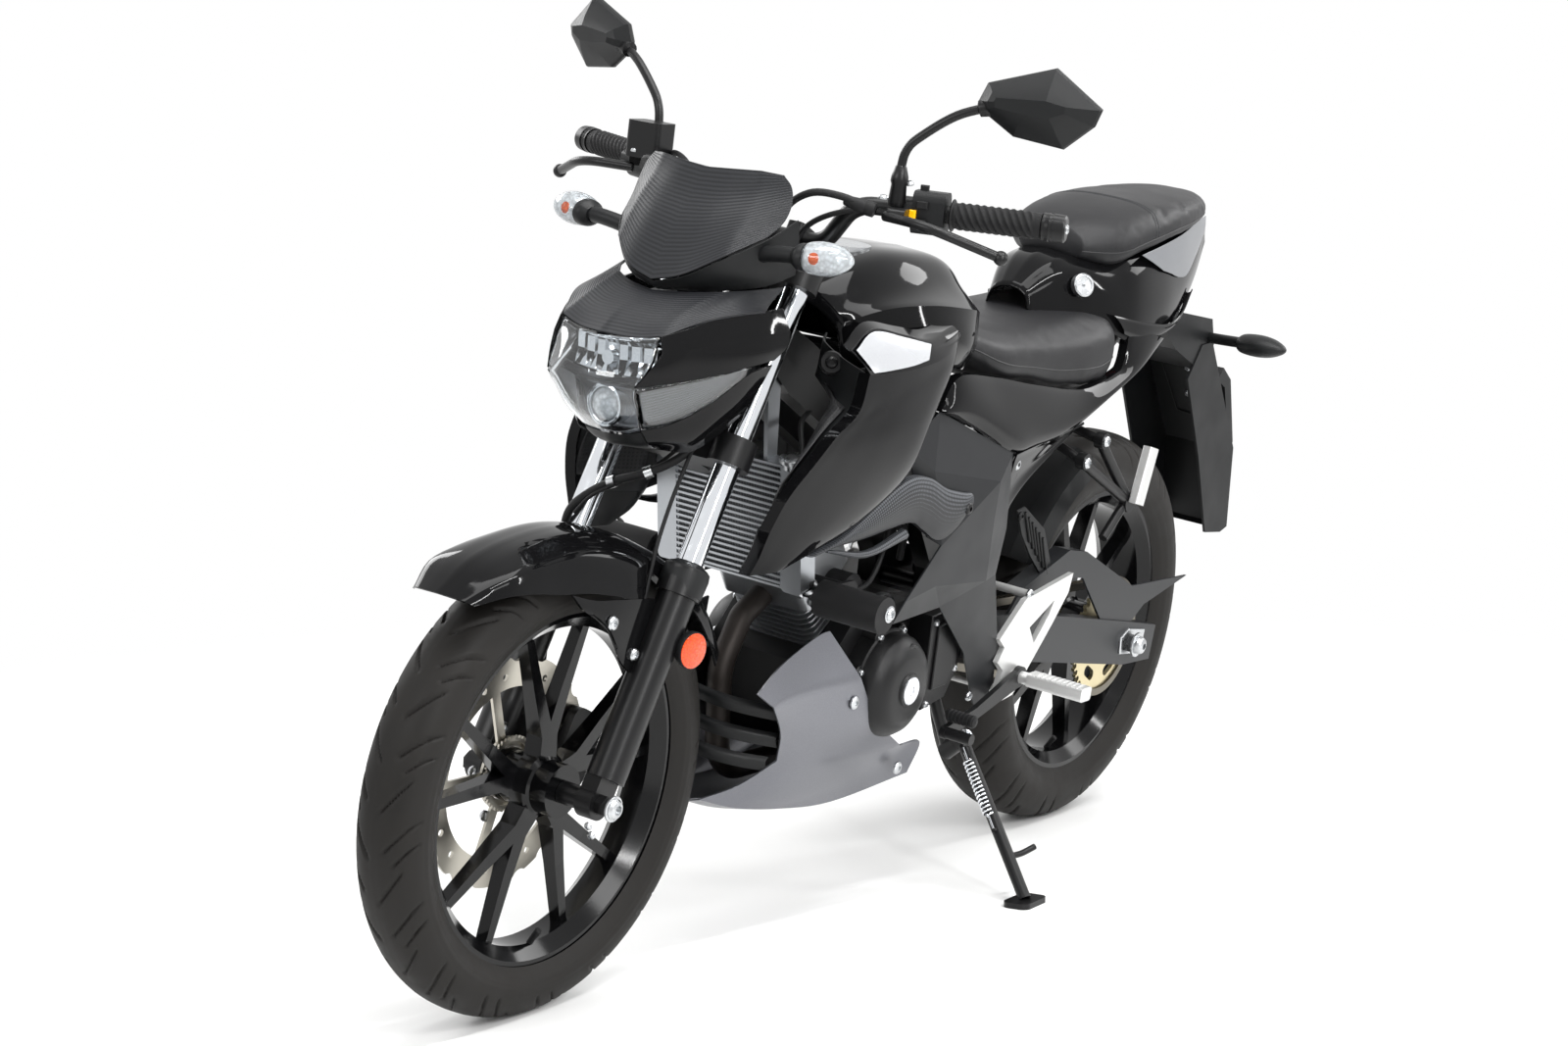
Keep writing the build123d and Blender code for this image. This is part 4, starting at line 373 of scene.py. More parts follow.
def grained_plastic(name, base, rough, grain_mm, depth_mm):
    """Unpainted ABS out of a spark-eroded mould: its fine grain breaks the light into a soft, even sheen."""
    material, tree, shader = new_material(name, Base_Color=colour(base), Specular_IOR_Level=0.24)
    place = node(tree, "TexCoord")
    grain = node(tree, "TexNoise", [("Vector", place, "Object")], Scale=1 / (grain_mm * MM), Detail=2.0,
                 Roughness=0.6)
    patches = node(tree, "TexNoise", [("Vector", place, "Object")], Scale=16.0, Detail=2.0)
    sheen = node(tree, "MapRange", [("Value", patches, "Fac")], From_Min=0.3, From_Max=0.7,
                 To_Min=rough - 0.05, To_Max=rough + 0.06)
    bump = node(tree, "Bump", [("Height", grain, "Fac")], Strength=0.7, Distance=depth_mm * MM)
    wire(sheen, "Result", shader, "Roughness")
    wire(bump, "Normal", shader, "Normal")
    return material


def powder_coat(name, base, rough):
    """Satin powder coat baked on steel: a soft highlight over a slight orange peel."""
    material, tree, shader = new_material(name, Base_Color=colour(base), Roughness=rough, Specular_IOR_Level=0.28)
    place = node(tree, "TexCoord")
    peel = node(tree, "TexNoise", [("Vector", place, "Object")], Scale=620.0, Detail=1.0)
    bump = node(tree, "Bump", [("Height", peel, "Fac")], Strength=0.5, Distance=0.00008)
    wire(bump, "Normal", shader, "Normal")
    return material


def metallic_paint(name, base, flake, rough):
    """Metallic paint: aluminium flakes in the base coat brighten what faces the light and darken the rest."""
    material, tree, shader = new_material(name, Roughness=rough, Metallic=0.7, Coat_Weight=0.25,
                                          Coat_Roughness=0.15)
    place = node(tree, "TexCoord")
    flakes = node(tree, "TexNoise", [("Vector", place, "Object")], Scale=1300.0, Detail=1.0)
    tint = node(tree, "Mix", [("Factor", flakes, "Fac")], data_type="RGBA", A=base, B=flake)
    wire(tint, "Result", shader, "Base Color")
    return material


def plated_metal(name, base, rough):
    """Plated or polished metal: mirror-like, with the uneven polish that handling leaves."""
    material, tree, shader = new_material(name, Base_Color=colour(base), Metallic=1.0)
    place = node(tree, "TexCoord")
    smear = node(tree, "TexNoise", [("Vector", place, "Object")], Scale=70.0, Detail=3.0)
    polish = node(tree, "MapRange", [("Value", smear, "Fac")], From_Min=0.3, From_Max=0.7,
                  To_Min=max(rough - 0.06, 0.02), To_Max=rough + 0.08)
    wire(polish, "Result", shader, "Roughness")
    return material


def ground_metal(name, base, rough):
    """Ground stainless plate: fine scratches of the grinding wheel spread its highlight into a glow."""
    material, tree, shader = new_material(name, Base_Color=colour(base), Metallic=1.0, Roughness=rough)
    place = node(tree, "TexCoord")
    turned = node(tree, "Mapping", [("Vector", place, "Object")], Scale=(900.0, 60.0, 900.0))
    lines = node(tree, "TexNoise", [("Vector", turned, "Vector")], Scale=1.0, Detail=2.0)
    bump = node(tree, "Bump", [("Height", lines, "Fac")], Strength=0.5, Distance=0.00003)
    wire(bump, "Normal", shader, "Normal")
    return material


def cast_metal(name, base, rough, metallic):
    """Die-cast metal, bare or painted: the mould's wash leaves a fine pebbled skin with a broken highlight."""
    material, tree, shader = new_material(name, Base_Color=colour(base), Metallic=metallic, Roughness=rough,
                                          Specular_IOR_Level=0.5 if metallic > 0.5 else 0.28)
    place = node(tree, "TexCoord")
    pebble = node(tree, "TexNoise", [("Vector", place, "Object")], Scale=700.0, Detail=3.0, Roughness=0.6)
    bump = node(tree, "Bump", [("Height", pebble, "Fac")], Strength=0.6, Distance=0.0002)
    wire(bump, "Normal", shader, "Normal")
    return material


def tyre_rubber():
    """Vulcanised rubber from a steel mould: near black, slightly brown with release wax, hardly any sheen."""
    material, tree, shader = new_material("Moulded tyre rubber", Specular_IOR_Level=0.18)
    place = node(tree, "TexCoord")
    wax = node(tree, "TexNoise", [("Vector", place, "Object")], Scale=22.0, Detail=4.0, Roughness=0.6)
    tint = node(tree, "Mix", [("Factor", wax, "Fac")], data_type="RGBA", A=colour("#131211"),
                B=colour("#211f1d"))
    rough = node(tree, "MapRange", [("Value", wax, "Fac")], From_Min=0.3, From_Max=0.7, To_Min=0.5,
                 To_Max=0.66)
    skin = node(tree, "TexNoise", [("Vector", place, "Object")], Scale=800.0, Detail=2.0)
    bump = node(tree, "Bump", [("Height", skin, "Fac")], Strength=0.5, Distance=0.00015)
    wire(tint, "Result", shader, "Base Color")
    wire(rough, "Result", shader, "Roughness")
    wire(bump, "Normal", shader, "Normal")
    return material


def seat_vinyl(base):
    """Vinyl-coated stretch cloth: an embossed leather grain of small cells, with a dull, slightly greasy sheen."""
    material, tree, shader = new_material("Grained seat vinyl", Base_Color=base, Specular_IOR_Level=0.3)
    place = node(tree, "TexCoord")
    cells = node(tree, "TexVoronoi", [("Vector", place, "Object")], feature="DISTANCE_TO_EDGE", Scale=560.0)
    bump = node(tree, "Bump", [("Height", cells, "Distance")], Strength=0.55, Distance=0.00035)
    rubbed = node(tree, "TexNoise", [("Vector", place, "Object")], Scale=9.0, Detail=2.0)
    rough = node(tree, "MapRange", [("Value", rubbed, "Fac")], From_Min=0.3, From_Max=0.7, To_Min=0.42,
                 To_Max=0.54)
    wire(bump, "Normal", shader, "Normal")
    wire(rough, "Result", shader, "Roughness")
    return material


def clear_lens():
    """Injection-moulded clear polycarbonate: see-through, with a sharp gloss and a faint ripple of the mould."""
    material, tree, shader = new_material("Clear polycarbonate", Base_Color=colour("#f8fbfd"), Roughness=0.015,
                                          Transmission_Weight=1.0)
    place = node(tree, "TexCoord")
    ripple = node(tree, "TexNoise", [("Vector", place, "Object")], Scale=40.0, Detail=1.0)
    bump = node(tree, "Bump", [("Height", ripple, "Fac")], Strength=0.3, Distance=0.00005)
    wire(bump, "Normal", shader, "Normal")
    return material


def prism_lens(name, base, cell_mm):
    """Coloured moulded lens with rows of prisms on its back, whose sparkle is painted: small cells in full colour
    at their middles, darker towards their edges.
    """
    material, tree, shader = new_material(name, Roughness=0.16, Coat_Weight=0.4, Specular_IOR_Level=0.3)
    place = node(tree, "TexCoord")
    cells = node(tree, "TexVoronoi", [("Vector", place, "Object")], Scale=1 / (cell_mm * MM))
    # painted sparkle: a darker copy of the colour, for the shaded edges of each prism cell
    dark = tuple(value * 0.45 for value in base[:3]) + (1.0,)
    tint = node(tree, "Mix", [("Factor", cells, "Distance")], data_type="RGBA", A=base, B=dark)
    bump = node(tree, "Bump", [("Height", cells, "Distance")], Strength=0.8, Distance=0.0009)
    wire(tint, "Result", shader, "Base Color")
    wire(bump, "Normal", shader, "Normal")
    return material


def lined_guide():
    """Dark light guide behind a clear cover: fine parallel lines 3 mm apart carry the light along it."""
    material, tree, shader = new_material("Lined light guide", Roughness=0.3, Metallic=0.2)
    place = node(tree, "UVMap")
    lines = node(tree, "TexWave", [("Vector", place, "UV")], wave_type="BANDS", bands_direction="Y",
                 Scale=band_scale(3.0))
    tint = node(tree, "Mix", [("Factor", lines, "Fac")], data_type="RGBA", A=colour("#101113"),
                B=colour("#3a3d40"))
    wire(tint, "Result", shader, "Base Color")
    return material


def finned_core():
    """Corrugated aluminium fins behind the tube rows.

    Upright waves 2.4 mm apart each carry a painted thin line of light; between them the core is painted nearly
    black as shade.
    """
    material, tree, shader = new_material("Corrugated radiator fins", Roughness=0.5, Metallic=0.5)
    place = node(tree, "UVMap", uv_map="spread_out")
    wave = node(tree, "TexWave", [("Vector", place, "UV")], wave_type="BANDS", bands_direction="X", Scale=131.0)
    # painted light and shade: pale lines on the waves, near black between them
    tint = node(tree, "Mix", [("Factor", wave, "Fac")], data_type="RGBA")
    tint.inputs["A"].default_value, tint.inputs["B"].default_value = colour("#0d0d0e"), colour("#5b5d60")
    wire(tint, "Result", shader, "Base Color")
    bump = node(tree, "Bump", [("Height", wave, "Fac")], Distance=0.0006)
    wire(bump, "Normal", shader, "Normal")
    return material


def woven_mesh():
    """Pressed mesh behind a duct: holes 5 mm apart are painted as near-black dots of shade in black plastic."""
    material, tree, shader = new_material("Pressed mesh", Roughness=0.5)
    place = node(tree, "UVMap")
    holes = node(tree, "TexVoronoi", [("Vector", place, "UV")], Scale=1 / (5.0 * MM), Randomness=0.0)
    tint = node(tree, "MapRange", [("Value", holes, "Distance")], From_Min=0.3, From_Max=0.36,
                To_Min=0.0, To_Max=1.0)
    # painted shade: the holes are coloured near black for the darkness seen through them
    shade = node(tree, "Mix", [("Factor", tint, "Result")], data_type="RGBA", A=colour("#020202"),
                 B=colour("#1b1b1d"))
    bump = node(tree, "Bump", [("Height", tint, "Result")], Strength=1.0, Distance=0.001)
    wire(shade, "Result", shader, "Base Color")
    wire(bump, "Normal", shader, "Normal")
    return material


def dotted_plastic():
    """Dark trim with a printed fade of small pale dots 4 mm apart, thinning towards its lower edge."""
    material, tree, shader = new_material("Dot-printed dark trim", Roughness=0.45, Specular_IOR_Level=0.24)
    place = node(tree, "UVMap")
    dots = node(tree, "TexVoronoi", [("Vector", place, "UV")], Scale=1 / (4.0 * MM), Randomness=0.0)
    across = node(tree, "SeparateXYZ", [("Vector", place, "UV")])
    limit = node(tree, "MapRange", [("Value", across, "X")], From_Min=0.012, From_Max=0.05, To_Min=0.42,
                 To_Max=0.0)
    inside = node(tree, "Math", [(0, dots, "Distance"), (1, limit, "Result")], operation="LESS_THAN")
    tint = node(tree, "Mix", [("Factor", inside, "Value")], data_type="RGBA", A=colour("#1c1d1f"),
                B=colour("#515357"))
    wire(tint, "Result", shader, "Base Color")
    return material


MATERIALS = {}


def make_materials(sizes, colours):
    """Every finish of the machine, by the plain name the pieces use."""
    MATERIALS.update({
        "gloss": gloss_lacquer(colours.body_paint),
        "rim": gloss_powder(),
        "ribbed": ribbed_plastic(sizes.rib_pitch),
        "grained": grained_plastic("Grained black ABS", "#0f1011", 0.44, 1.1, 0.16),
        "panel": grained_plastic("Matt moulded frame cover", "#18191b", 0.4, 1.2, 0.12),
        "trim": dotted_plastic(),
        "arm": powder_coat("Dark grey powder coat", "#1e1f21", 0.4),
        "black": powder_coat("Satin black powder coat", "#0b0b0c", 0.34),
        "casting": cast_metal("Black painted casting", "#0e0e0f", 0.4, 0.1),
        "pan": metallic_paint("Graphite metallic paint", colours.pan_paint, colour("#75767c"), 0.34),
        "silver": metallic_paint("Silver metallic paint", colour("#b9bbbf"), colour("#dfe1e4"), 0.26),
        "smoke": metallic_paint("Smoke grey metallic paint", colour("#6f7175"), colour("#8f9195"), 0.34),
        "chrome": plated_metal("Hard chrome", "#dfe2e6", 0.06),
        "zinc": plated_metal("Zinc plated steel", "#b9bbbd", 0.28),
        "disc": ground_metal("Ground stainless steel", "#b3afa5", 0.3),
        "sprocket": ground_metal("Yellow zinc plated steel", "#cbbf9b", 0.36),
        "chain": ground_metal("Oiled chain steel", "#6b665c", 0.4),
        "alloy": cast_metal("Die-cast aluminium", "#9c9ea1", 0.42, 1.0),
        "bracket": cast_metal("Silver painted forging", "#cfcfce", 0.36, 0.6),
        "radiator": ground_metal("Brazed aluminium", "#a4a7ab", 0.38),
        "fins": finned_core(),
        "header": cast_metal("Heat-darkened steel", "#2b2623", 0.5, 0.6),
        "tyre": tyre_rubber(),
        "rubber": grained_plastic("Moulded black rubber", "#101011", 0.6, 1.0, 0.12),
        "vinyl": seat_vinyl(colours.seat_vinyl),
        "thread": grained_plastic("Polyester thread", "#2e2f31", 0.6, 0.4, 0.1),
        "lens": clear_lens(),
        "reflector": prism_lens("Orange prism reflector", colour("#f24a00"), 3.2),
        "bulb": prism_lens("Amber bulb glass", colour("#e85e12"), 6.0),
        "red": prism_lens("Red prism lens", colour("#9c0d10"), 4.0),
        "frost": prism_lens("Clear prism back", colour("#dfe3e6"), 5.0),
        "yellow": grained_plastic("Yellow button", "#f5b50c", 0.3, 0.8, 0.03),
        "mirror": plated_metal("Silvered mirror glass", "#e9edf0", 0.03),
        "spear": lined_guide(),
        "mesh": woven_mesh(),
        "bowl": plated_metal("Vacuum-plated reflector", "#c6c9cc", 0.08),
    })


CAD_FINISH = {
    "front_rim": "rim", "rear_rim": "rim", "front_disc": "disc", "rear_disc": "disc",
    "rear_sprocket": "sprocket", "drive_chain": "chain", "stanchions": "chrome", "sliders": "black",
    "lower_yoke": "casting", "upper_yoke": "casting", "handlebar": "black", "grips": "rubber",
    "switchgear": "grained", "levers": "black", "instrument": "grained", "front_caliper": "casting",
    "rear_caliper": "casting", "frame": "black", "engine_case": "casting", "cylinder": "alloy",
    "engine_covers": "casting", "exhaust_header": "header", "muffler": "casting", "radiator": "radiator",
    "fuel_lid": "zinc", "swingarm": "arm", "rear_hugger": "grained", "rear_shock": "casting",
    "footpeg_brackets": "bracket", "foot_pedals": "casting", "pillion_hangers": "casting",
    "pillion_peg_left": "bracket", "pillion_peg_right": "bracket", "crash_bobbins": "rubber",
    "side_stand": "black", "plate_holder": "grained", "tail_light": "red", "front_indicators": "lens",
    "rear_indicators": "grained", "mirrors": "grained",
}


def finish_nodes():
    """Puts a finish on every CAD node that is shown."""
    for name, finish in CAD_FINISH.items():
        data = NODES[name].data
        data.materials.clear()
        data.materials.append(MATERIALS[finish])


# ---------------------------------------------------------------- the machine's pieces
def left_and_right(name, grids, finish, body, nodes=(), wall=2.5, bevel=0.8, towards=(0, 1, 0), angle=34.0):
    """One piece from grids given for the left and mirrored to the right, with a wall behind them."""
    shape = Shape()
    for points in grids:
        shape.grid(points, towards=towards)
    shape.both_sides()
    piece = plain_mesh(name, shape, place_of(body), MATERIALS[finish], angle)
    return finish_piece(piece, body, nodes, wall, bevel)


def whole(name, grids, finish, body, nodes=(), wall=2.5, bevel=0.8, towards=(0, 0, 1), angle=34.0):
    """One piece from grids over half its width, mirrored and welded along the middle."""
    shape = Shape()
    for points in grids:
        points = np.asarray(points, float)
        mirror = points[:, :0:-1] * np.array([1.0, -1.0, 1.0])
        shape.grid(np.concatenate([mirror, points], axis=1), towards=towards)
    piece = plain_mesh(name, shape, place_of(body), MATERIALS[finish], angle)
    return finish_piece(piece, body, nodes, wall, bevel)


def bolt(shape, centre, axis, radius=6.0, height=4.0, socket=2.6):
    """A button-head bolt with a hexagonal socket, turned about its axis, added to a shape."""
    profile = [(-1.0, radius), (height * 0.35, radius), (height * 0.8, radius * 0.8), (height, radius * 0.45),
               (height, socket), (height * 0.4, socket), (height * 0.4, 0.01)]
    ring = revolved(profile, centre, axis, 18)
    shape.grid(ring, closed_columns=True)
    return shape


def turned(shape, profile, centre, axis=(0.0, 1.0, 0.0), sides=32):
    """Adds a turned form: its profile runs from the foot to the top, and its faces point outward."""
    shape.grid(revolved(profile, centre, axis, sides), closed_columns=True)
    return shape


def tube(shape, points, radius, sides=10, steps=6):
    """Adds a round hose or wire on a smooth line through the points, with closed ends."""
    path = smooth_line(points, steps)
    shape.grid(tube_grid(path, radius, sides), closed_columns=True, caps=True)
    return shape


def prism(shape, outline, low, high):
    """Adds a flat form with a softened outer rim: an outline in x and z, from one y up to another."""
    outline = np.asarray(outline, float)
    turn = np.sum(outline[:, 0] * np.roll(outline[:, 1], -1) - np.roll(outline[:, 0], -1) * outline[:, 1])
    if turn < 0:
        outline = outline[::-1]
    drawn_in = 1.0 - 1.5 / np.abs(outline - outline.mean(axis=0)).max()
    rings = []
    for y, share in ((low, 1.0), (high - 1.5, 1.0), (high, drawn_in)):
        flat = outline.mean(axis=0) + (outline - outline.mean(axis=0)) * share
        rings.append(np.stack([flat[:, 0], np.full(len(flat), y), flat[:, 1]], axis=1))
    shape.grid(np.array(rings), closed_columns=True, caps=True)
    return shape


def made_piece(name, shape, finish, body, nodes=(), angle=30.0):
    """A piece of closed forms, which need no wall of their own."""
    return finish_piece(plain_mesh(name, shape, place_of(body), MATERIALS[finish], angle), body, nodes)


def bolts(name, finish, body, seats):
    """A piece of bolts, the same on the left and the right, each with its centre, axis and sizes."""
    shape = Shape()
    for seat in seats:
        bolt(shape, *seat)
    shape.both_sides()
    return made_piece(name, shape, finish, body)


SHROUD_FRONT = [(333, 192, 807), (342, 190, 761), (380, 186, 732), (413, 180, 698), (443, 170, 660),
                (455, 158, 618), (456, 146, 578), (460, 138, 556)]
SHROUD_REAR = [(78, 165, 841), (86, 170, 820), (107, 178, 791), (148, 184, 736), (190, 184, 667), (265, 172, 613),
               (330, 158, 584), (392, 146, 563)]


def shroud_pieces():
    """Tank shrouds: a blade between two edges that swells outward, its front edge rolled in, and a silver inset."""
    front, rear = np.array(SHROUD_FRONT, float), np.array(SHROUD_REAR, float)
    cross = [(0.0, -16.0), (0.0, 0.0), (0.1, 3.5), (0.3, 8.5), (0.55, 11.0), (0.8, 8.5), (0.95, 3.0), (1.0, -3.0),
             (0.98, -16.0)]
    blade = between(front, rear, cross, (6, 5), (1,))
    rim = np.array([[(388, 182, 846), (330, 170, 868), (250, 166, 858), (178, 160, 848), (92, 140, 850)],
                    [(392, 196, 842), (330, 184, 862), (250, 182, 850), (178, 180, 838), (84, 158, 846)],
                    [(360, 196, 824), (300, 194, 832), (240, 192, 826), (160, 188, 822), (80, 166, 838)],
                    [(333, 193, 807), (300, 197, 806), (230, 198, 808), (150, 190, 816), (78, 166, 834)]], float)
    upper = net_surface(rim, (6, 6), (1,))
    left_and_right("tank_shroud_panels", [blade, upper], "gloss", "chassis",
                   ("tank_shrouds",), 3.0, 1.0)
    inset = net_surface([[(383, 199, 842), (332, 189, 860), (255, 188, 848), (186, 187, 835)],
                         [(357, 200, 825), (315, 198, 838), (250, 197, 832), (196, 193, 826)],
                         [(333, 198, 810), (310, 201, 811), (250, 202, 814), (205, 198, 818)]], (5, 5))
    left_and_right("shroud_insets", [inset], "silver", "chassis", (), 1.5, 0.5)


YOKE_ROOM = 149.0                   # what the lower yoke needs about the steering axis, in mm
YOKE_HEIGHTS = (600.0, 785.0)       # between these the ducts give it that room, in mm


def clear_of_fork(points):
    """Moves points straight out from the steering axis until the lower yoke can swing past them."""
    turn = standing_turn()
    joint = JOINTS["steering_turn"]
    axis = turn.T @ unit(joint["axis"])
    foot = (np.array(joint["pos_m"]) - JOINTS["rear_wheel_spin"]["pos_m"]) @ turn / MM + REAR_AXLE
    along = (points - foot) @ axis
    middle = foot + along[..., None] * axis
    away = np.linalg.norm(points - middle, axis=-1)
    low, high = YOKE_HEIGHTS
    share = np.clip((points[..., 2] - low) / 25, 0, 1) * np.clip((high - points[..., 2]) / 25, 0, 1)
    reach = away + share * np.clip(YOKE_ROOM - away, 0, None)
    return middle + (points - middle) * (reach / away)[..., None]


def inner_duct_pieces():
    """Black ducts between the shrouds' front edges and the frame: a wall with pressed mesh and a bolted boss."""
    outer = np.array(SHROUD_FRONT, float) + (-6, -12, 0)
    inner = np.array([(300, 100, 840), (300, 96, 790), (318, 92, 745), (330, 92, 705), (338, 94, 660),
                      (345, 100, 615), (360, 112, 580), (400, 126, 560)], float)
    duct = clear_of_fork(between(outer, inner, [(0, 0), (0.3, -16), (0.7, -20), (1, 0)], (5, 5)))
    left_and_right("inner_ducts", [duct], "grained", "chassis", (), 2.5, 0.6, (1, 0.3, 0))
    grille = between(outer[1:6] * (1, 0.98, 1) + (1.5, -6, 0), inner[1:6] + (6, 14, 0),
                     [(0, -2), (0.5, -15), (1, -4)], (5, 5))
    grille = clear_of_fork(grille) - np.array([0.0, 1.5, 0.0])
    left_and_right("duct_grilles", [grille], "mesh", "chassis", (), 1.0, 0.0, (1, 0.3, 0))
    shape = Shape()
    turned(shape, [(-6, 15), (2, 15), (4, 13), (4, 0.01)], (322, 128, 808), (0.75, 0.5, 0.3), 28)
    bolt(shape, (325, 130, 809), (0.75, 0.5, 0.3), 8, 5, 3.6)
    shape.both_sides()
    made_piece("duct_bolts", shape, "black", "chassis")


def trim_pieces():
    """Dark trims below the shrouds: a blade between its edges, a slot below it and a bolted lug at the rear."""
    top = [(365, 158, 575), (312, 166, 590), (265, 172, 613), (190, 180, 655), (130, 178, 655), (73, 176, 634),
           (20, 174, 622), (-2, 172, 619)]
    low = [(350, 158, 573), (324, 160, 578), (248, 166, 584), (151, 170, 595), (112, 170, 582), (68, 168, 562),
           (30, 168, 566), (-2, 168, 594)]
    blade = between(top, low, [(0, -10), (0, 0), (0.12, 4), (0.45, 7), (0.8, 5), (1, 0), (0.96, -14)], (5, 4),
                    (1, 5))
    bar = between([(324, 162, 577), (233, 166, 566), (151, 168, 586)],
                  [(318, 160, 572), (231, 162, 556), (139, 166, 572)],
                  [(0, -6), (0, 0), (0.5, 3), (1, 0), (1, -6)], (5, 3), (1, 3))
    left_and_right("shroud_trim_panels", [blade, bar], "trim", "chassis", ("shroud_trims",))
    bolts("trim_bolts", "black", "chassis", [((9, 177, 600), (0, 1, 0), 8, 4, 3.2)])


COVER = {
    "A": (140, 146, 690), "B": (72, 150, 731), "C": (-128, 158, 659), "D": (-134, 162, 553), "E": (-130, 158, 488),
    "F": (-183, 148, 383), "G": (-205, 140, 317), "H": (-187, 136, 279), "H2": (-165, 134, 290),
    "I": (-105, 140, 374), "J": (-4, 148, 455), "K": (122, 152, 450), "L": (107, 158, 480), "M": (51, 168, 552),
    "N": (-71, 176, 629), "O": (-92, 165, 485), "P": (42, 163, 494), "Q": (-80, 170, 572), "R": (79, 158, 653),
    "S": (61, 162, 614), "T": (60, 150, 560),
}
COVER_FACES = ["A B R", "R B C N", "R N S", "C D Q N", "D E O Q", "N Q O P", "N P M", "M P L", "P J K L", "P O J",
               "O I J", "O E F I", "F G H H2 I", "A R S T", "T S N M"]


def frame_cover_pieces():
    """Frame covers: flat facets that meet in a star, and the gloss strip and flank behind them."""
    shape = Shape()
    shape.facets(COVER, COVER_FACES)
    out = np.array([0.0, 1.0, 0.0])
    points = np.concatenate(shape.points)
    for k, face in enumerate(shape.faces):
        a, b, c = points[face[0]], points[face[1]], points[face[2]]
        if np.cross(b - a, c - a) @ out < 0:
            shape.faces[k] = face[::-1]
    shape.both_sides()
    piece = plain_mesh("frame_cover_facets", shape, standing, MATERIALS["panel"], 8)
    finish_piece(piece, "chassis", ("frame_covers",), 3.0, 1.2)
    top = [(74, 149, 733), (36, 150, 774), (-76, 142, 764), (-200, 138, 744), (-360, 130, 724), (-470, 122, 738),
           (-500, 118, 752), (-520, 110, 800)]
    low = [(70, 150, 730), (-20, 154, 700), (-128, 158, 660), (-200, 152, 660), (-300, 146, 670), (-432, 134, 707),
           (-560, 118, 742), (-640, 108, 776)]
    flank = between(top, low, [(0, -14), (0, 0), (0.12, 4), (0.4, 9), (0.7, 10), (0.92, 5), (1, 0), (0.97, -14)],
                    (6, 4), (1, 6))
    strip = between([(-131, 160, 657), (-190, 154, 662), (-260, 149, 668), (-352, 142, 678)],
                    [(-134, 158, 560), (-162, 152, 585), (-220, 147, 618), (-346, 141, 673)],
                    [(0, -4), (0, 3), (0.15, 0), (0.6, -5), (0.97, -2), (1, -12)], (6, 4), (1,))
    left_and_right("side_flank_panels", [flank, strip], "gloss", "chassis",
                   ("side_flanks",))
    bolts("cover_bolts", "zinc", "chassis",
          [((-150, 154, 640), (0, 1, 0), 8, 4, 3), ((-145, 136, 305), (0, 1, 0), 7, 4, 3)])


TANK_NET = [
    [(262, 0, 868), (245, 0, 888), (190, 0, 912), (120, 0, 926), (40, 0, 925), (-40, 0, 915), (-95, 0, 885),
     (-122, 0, 835)],
    [(258, 44, 864), (244, 48, 884), (190, 58, 908), (120, 62, 922), (40, 62, 920), (-40, 56, 908), (-92, 46, 876),
     (-116, 30, 828)],
    [(256, 80, 846), (244, 84, 862), (190, 98, 878), (120, 106, 886), (40, 104, 886), (-35, 92, 880),
     (-82, 70, 855), (-104, 44, 815)],
    [(255, 90, 836), (244, 98, 850), (190, 124, 868), (120, 144, 872), (50, 148, 866), (-15, 136, 856),
     (-58, 108, 842), (-82, 70, 815)],
    [(252, 96, 800), (242, 104, 812), (188, 132, 826), (118, 154, 830), (50, 158, 824), (-5, 144, 812),
     (-44, 118, 800), (-66, 84, 790)],
    [(248, 90, 770), (238, 96, 780), (184, 120, 790), (116, 140, 790), (50, 144, 786), (0, 132, 778),
     (-34, 108, 772), (-56, 80, 768)],
]


def tank_piece():
    """Fuel tank: a smooth surface through a net of sections, mirrored; its shoulder ridge is the fourth row."""
    half = net_surface(np.array(TANK_NET, float), (7, 7), (3,))
    whole("tank_skin", [half.transpose(1, 0, 2)], "gloss", "chassis", ("fuel_tank",),
          3.0, 0.0)


RIDER_SECTIONS = [
    (-38, [(60, 775), (110, 790), (120, 808), (112, 824), (80, 834), (40, 838), (0, 839)]),
    (-110, [(90, 755), (132, 762), (139, 785), (128, 806), (90, 818), (45, 823), (0, 824)]),
    (-200, [(100, 742), (128, 748), (137, 772), (130, 796), (92, 810), (45, 815), (0, 816)]),
    (-300, [(100, 728), (124, 733), (133, 760), (128, 790), (92, 808), (45, 814), (0, 815)]),
    (-400, [(95, 722), (120, 728), (129, 758), (125, 792), (92, 812), (45, 820), (0, 822)]),
    (-462, [(85, 728), (112, 738), (120, 768), (114, 802), (84, 820), (42, 828), (0, 829)]),
    (-494, [(60, 760), (86, 768), (94, 788), (88, 806), (66, 818), (34, 824), (0, 825)]),
]
PILLION_SECTIONS = [
    (-440, [(20, 888), (46, 892), (54, 908), (49, 922), (34, 930), (16, 934), (0, 935)]),
    (-490, [(50, 882), (84, 890), (94, 912), (84, 936), (58, 948), (30, 953), (0, 954)]),
    (-560, [(60, 900), (96, 908), (105, 928), (95, 950), (66, 962), (33, 967), (0, 968)]),
    (-640, [(60, 918), (96, 924), (105, 942), (96, 960), (66, 970), (33, 974), (0, 975)]),
    (-720, [(55, 928), (86, 934), (94, 950), (86, 966), (60, 975), (30, 979), (0, 980)]),
    (-800, [(40, 938), (64, 944), (71, 957), (64, 970), (44, 977), (22, 980), (0, 980)]),
    (-858, [(15, 950), (29, 954), (33, 962), (29, 969), (20, 973), (10, 974), (0, 974)]),
]


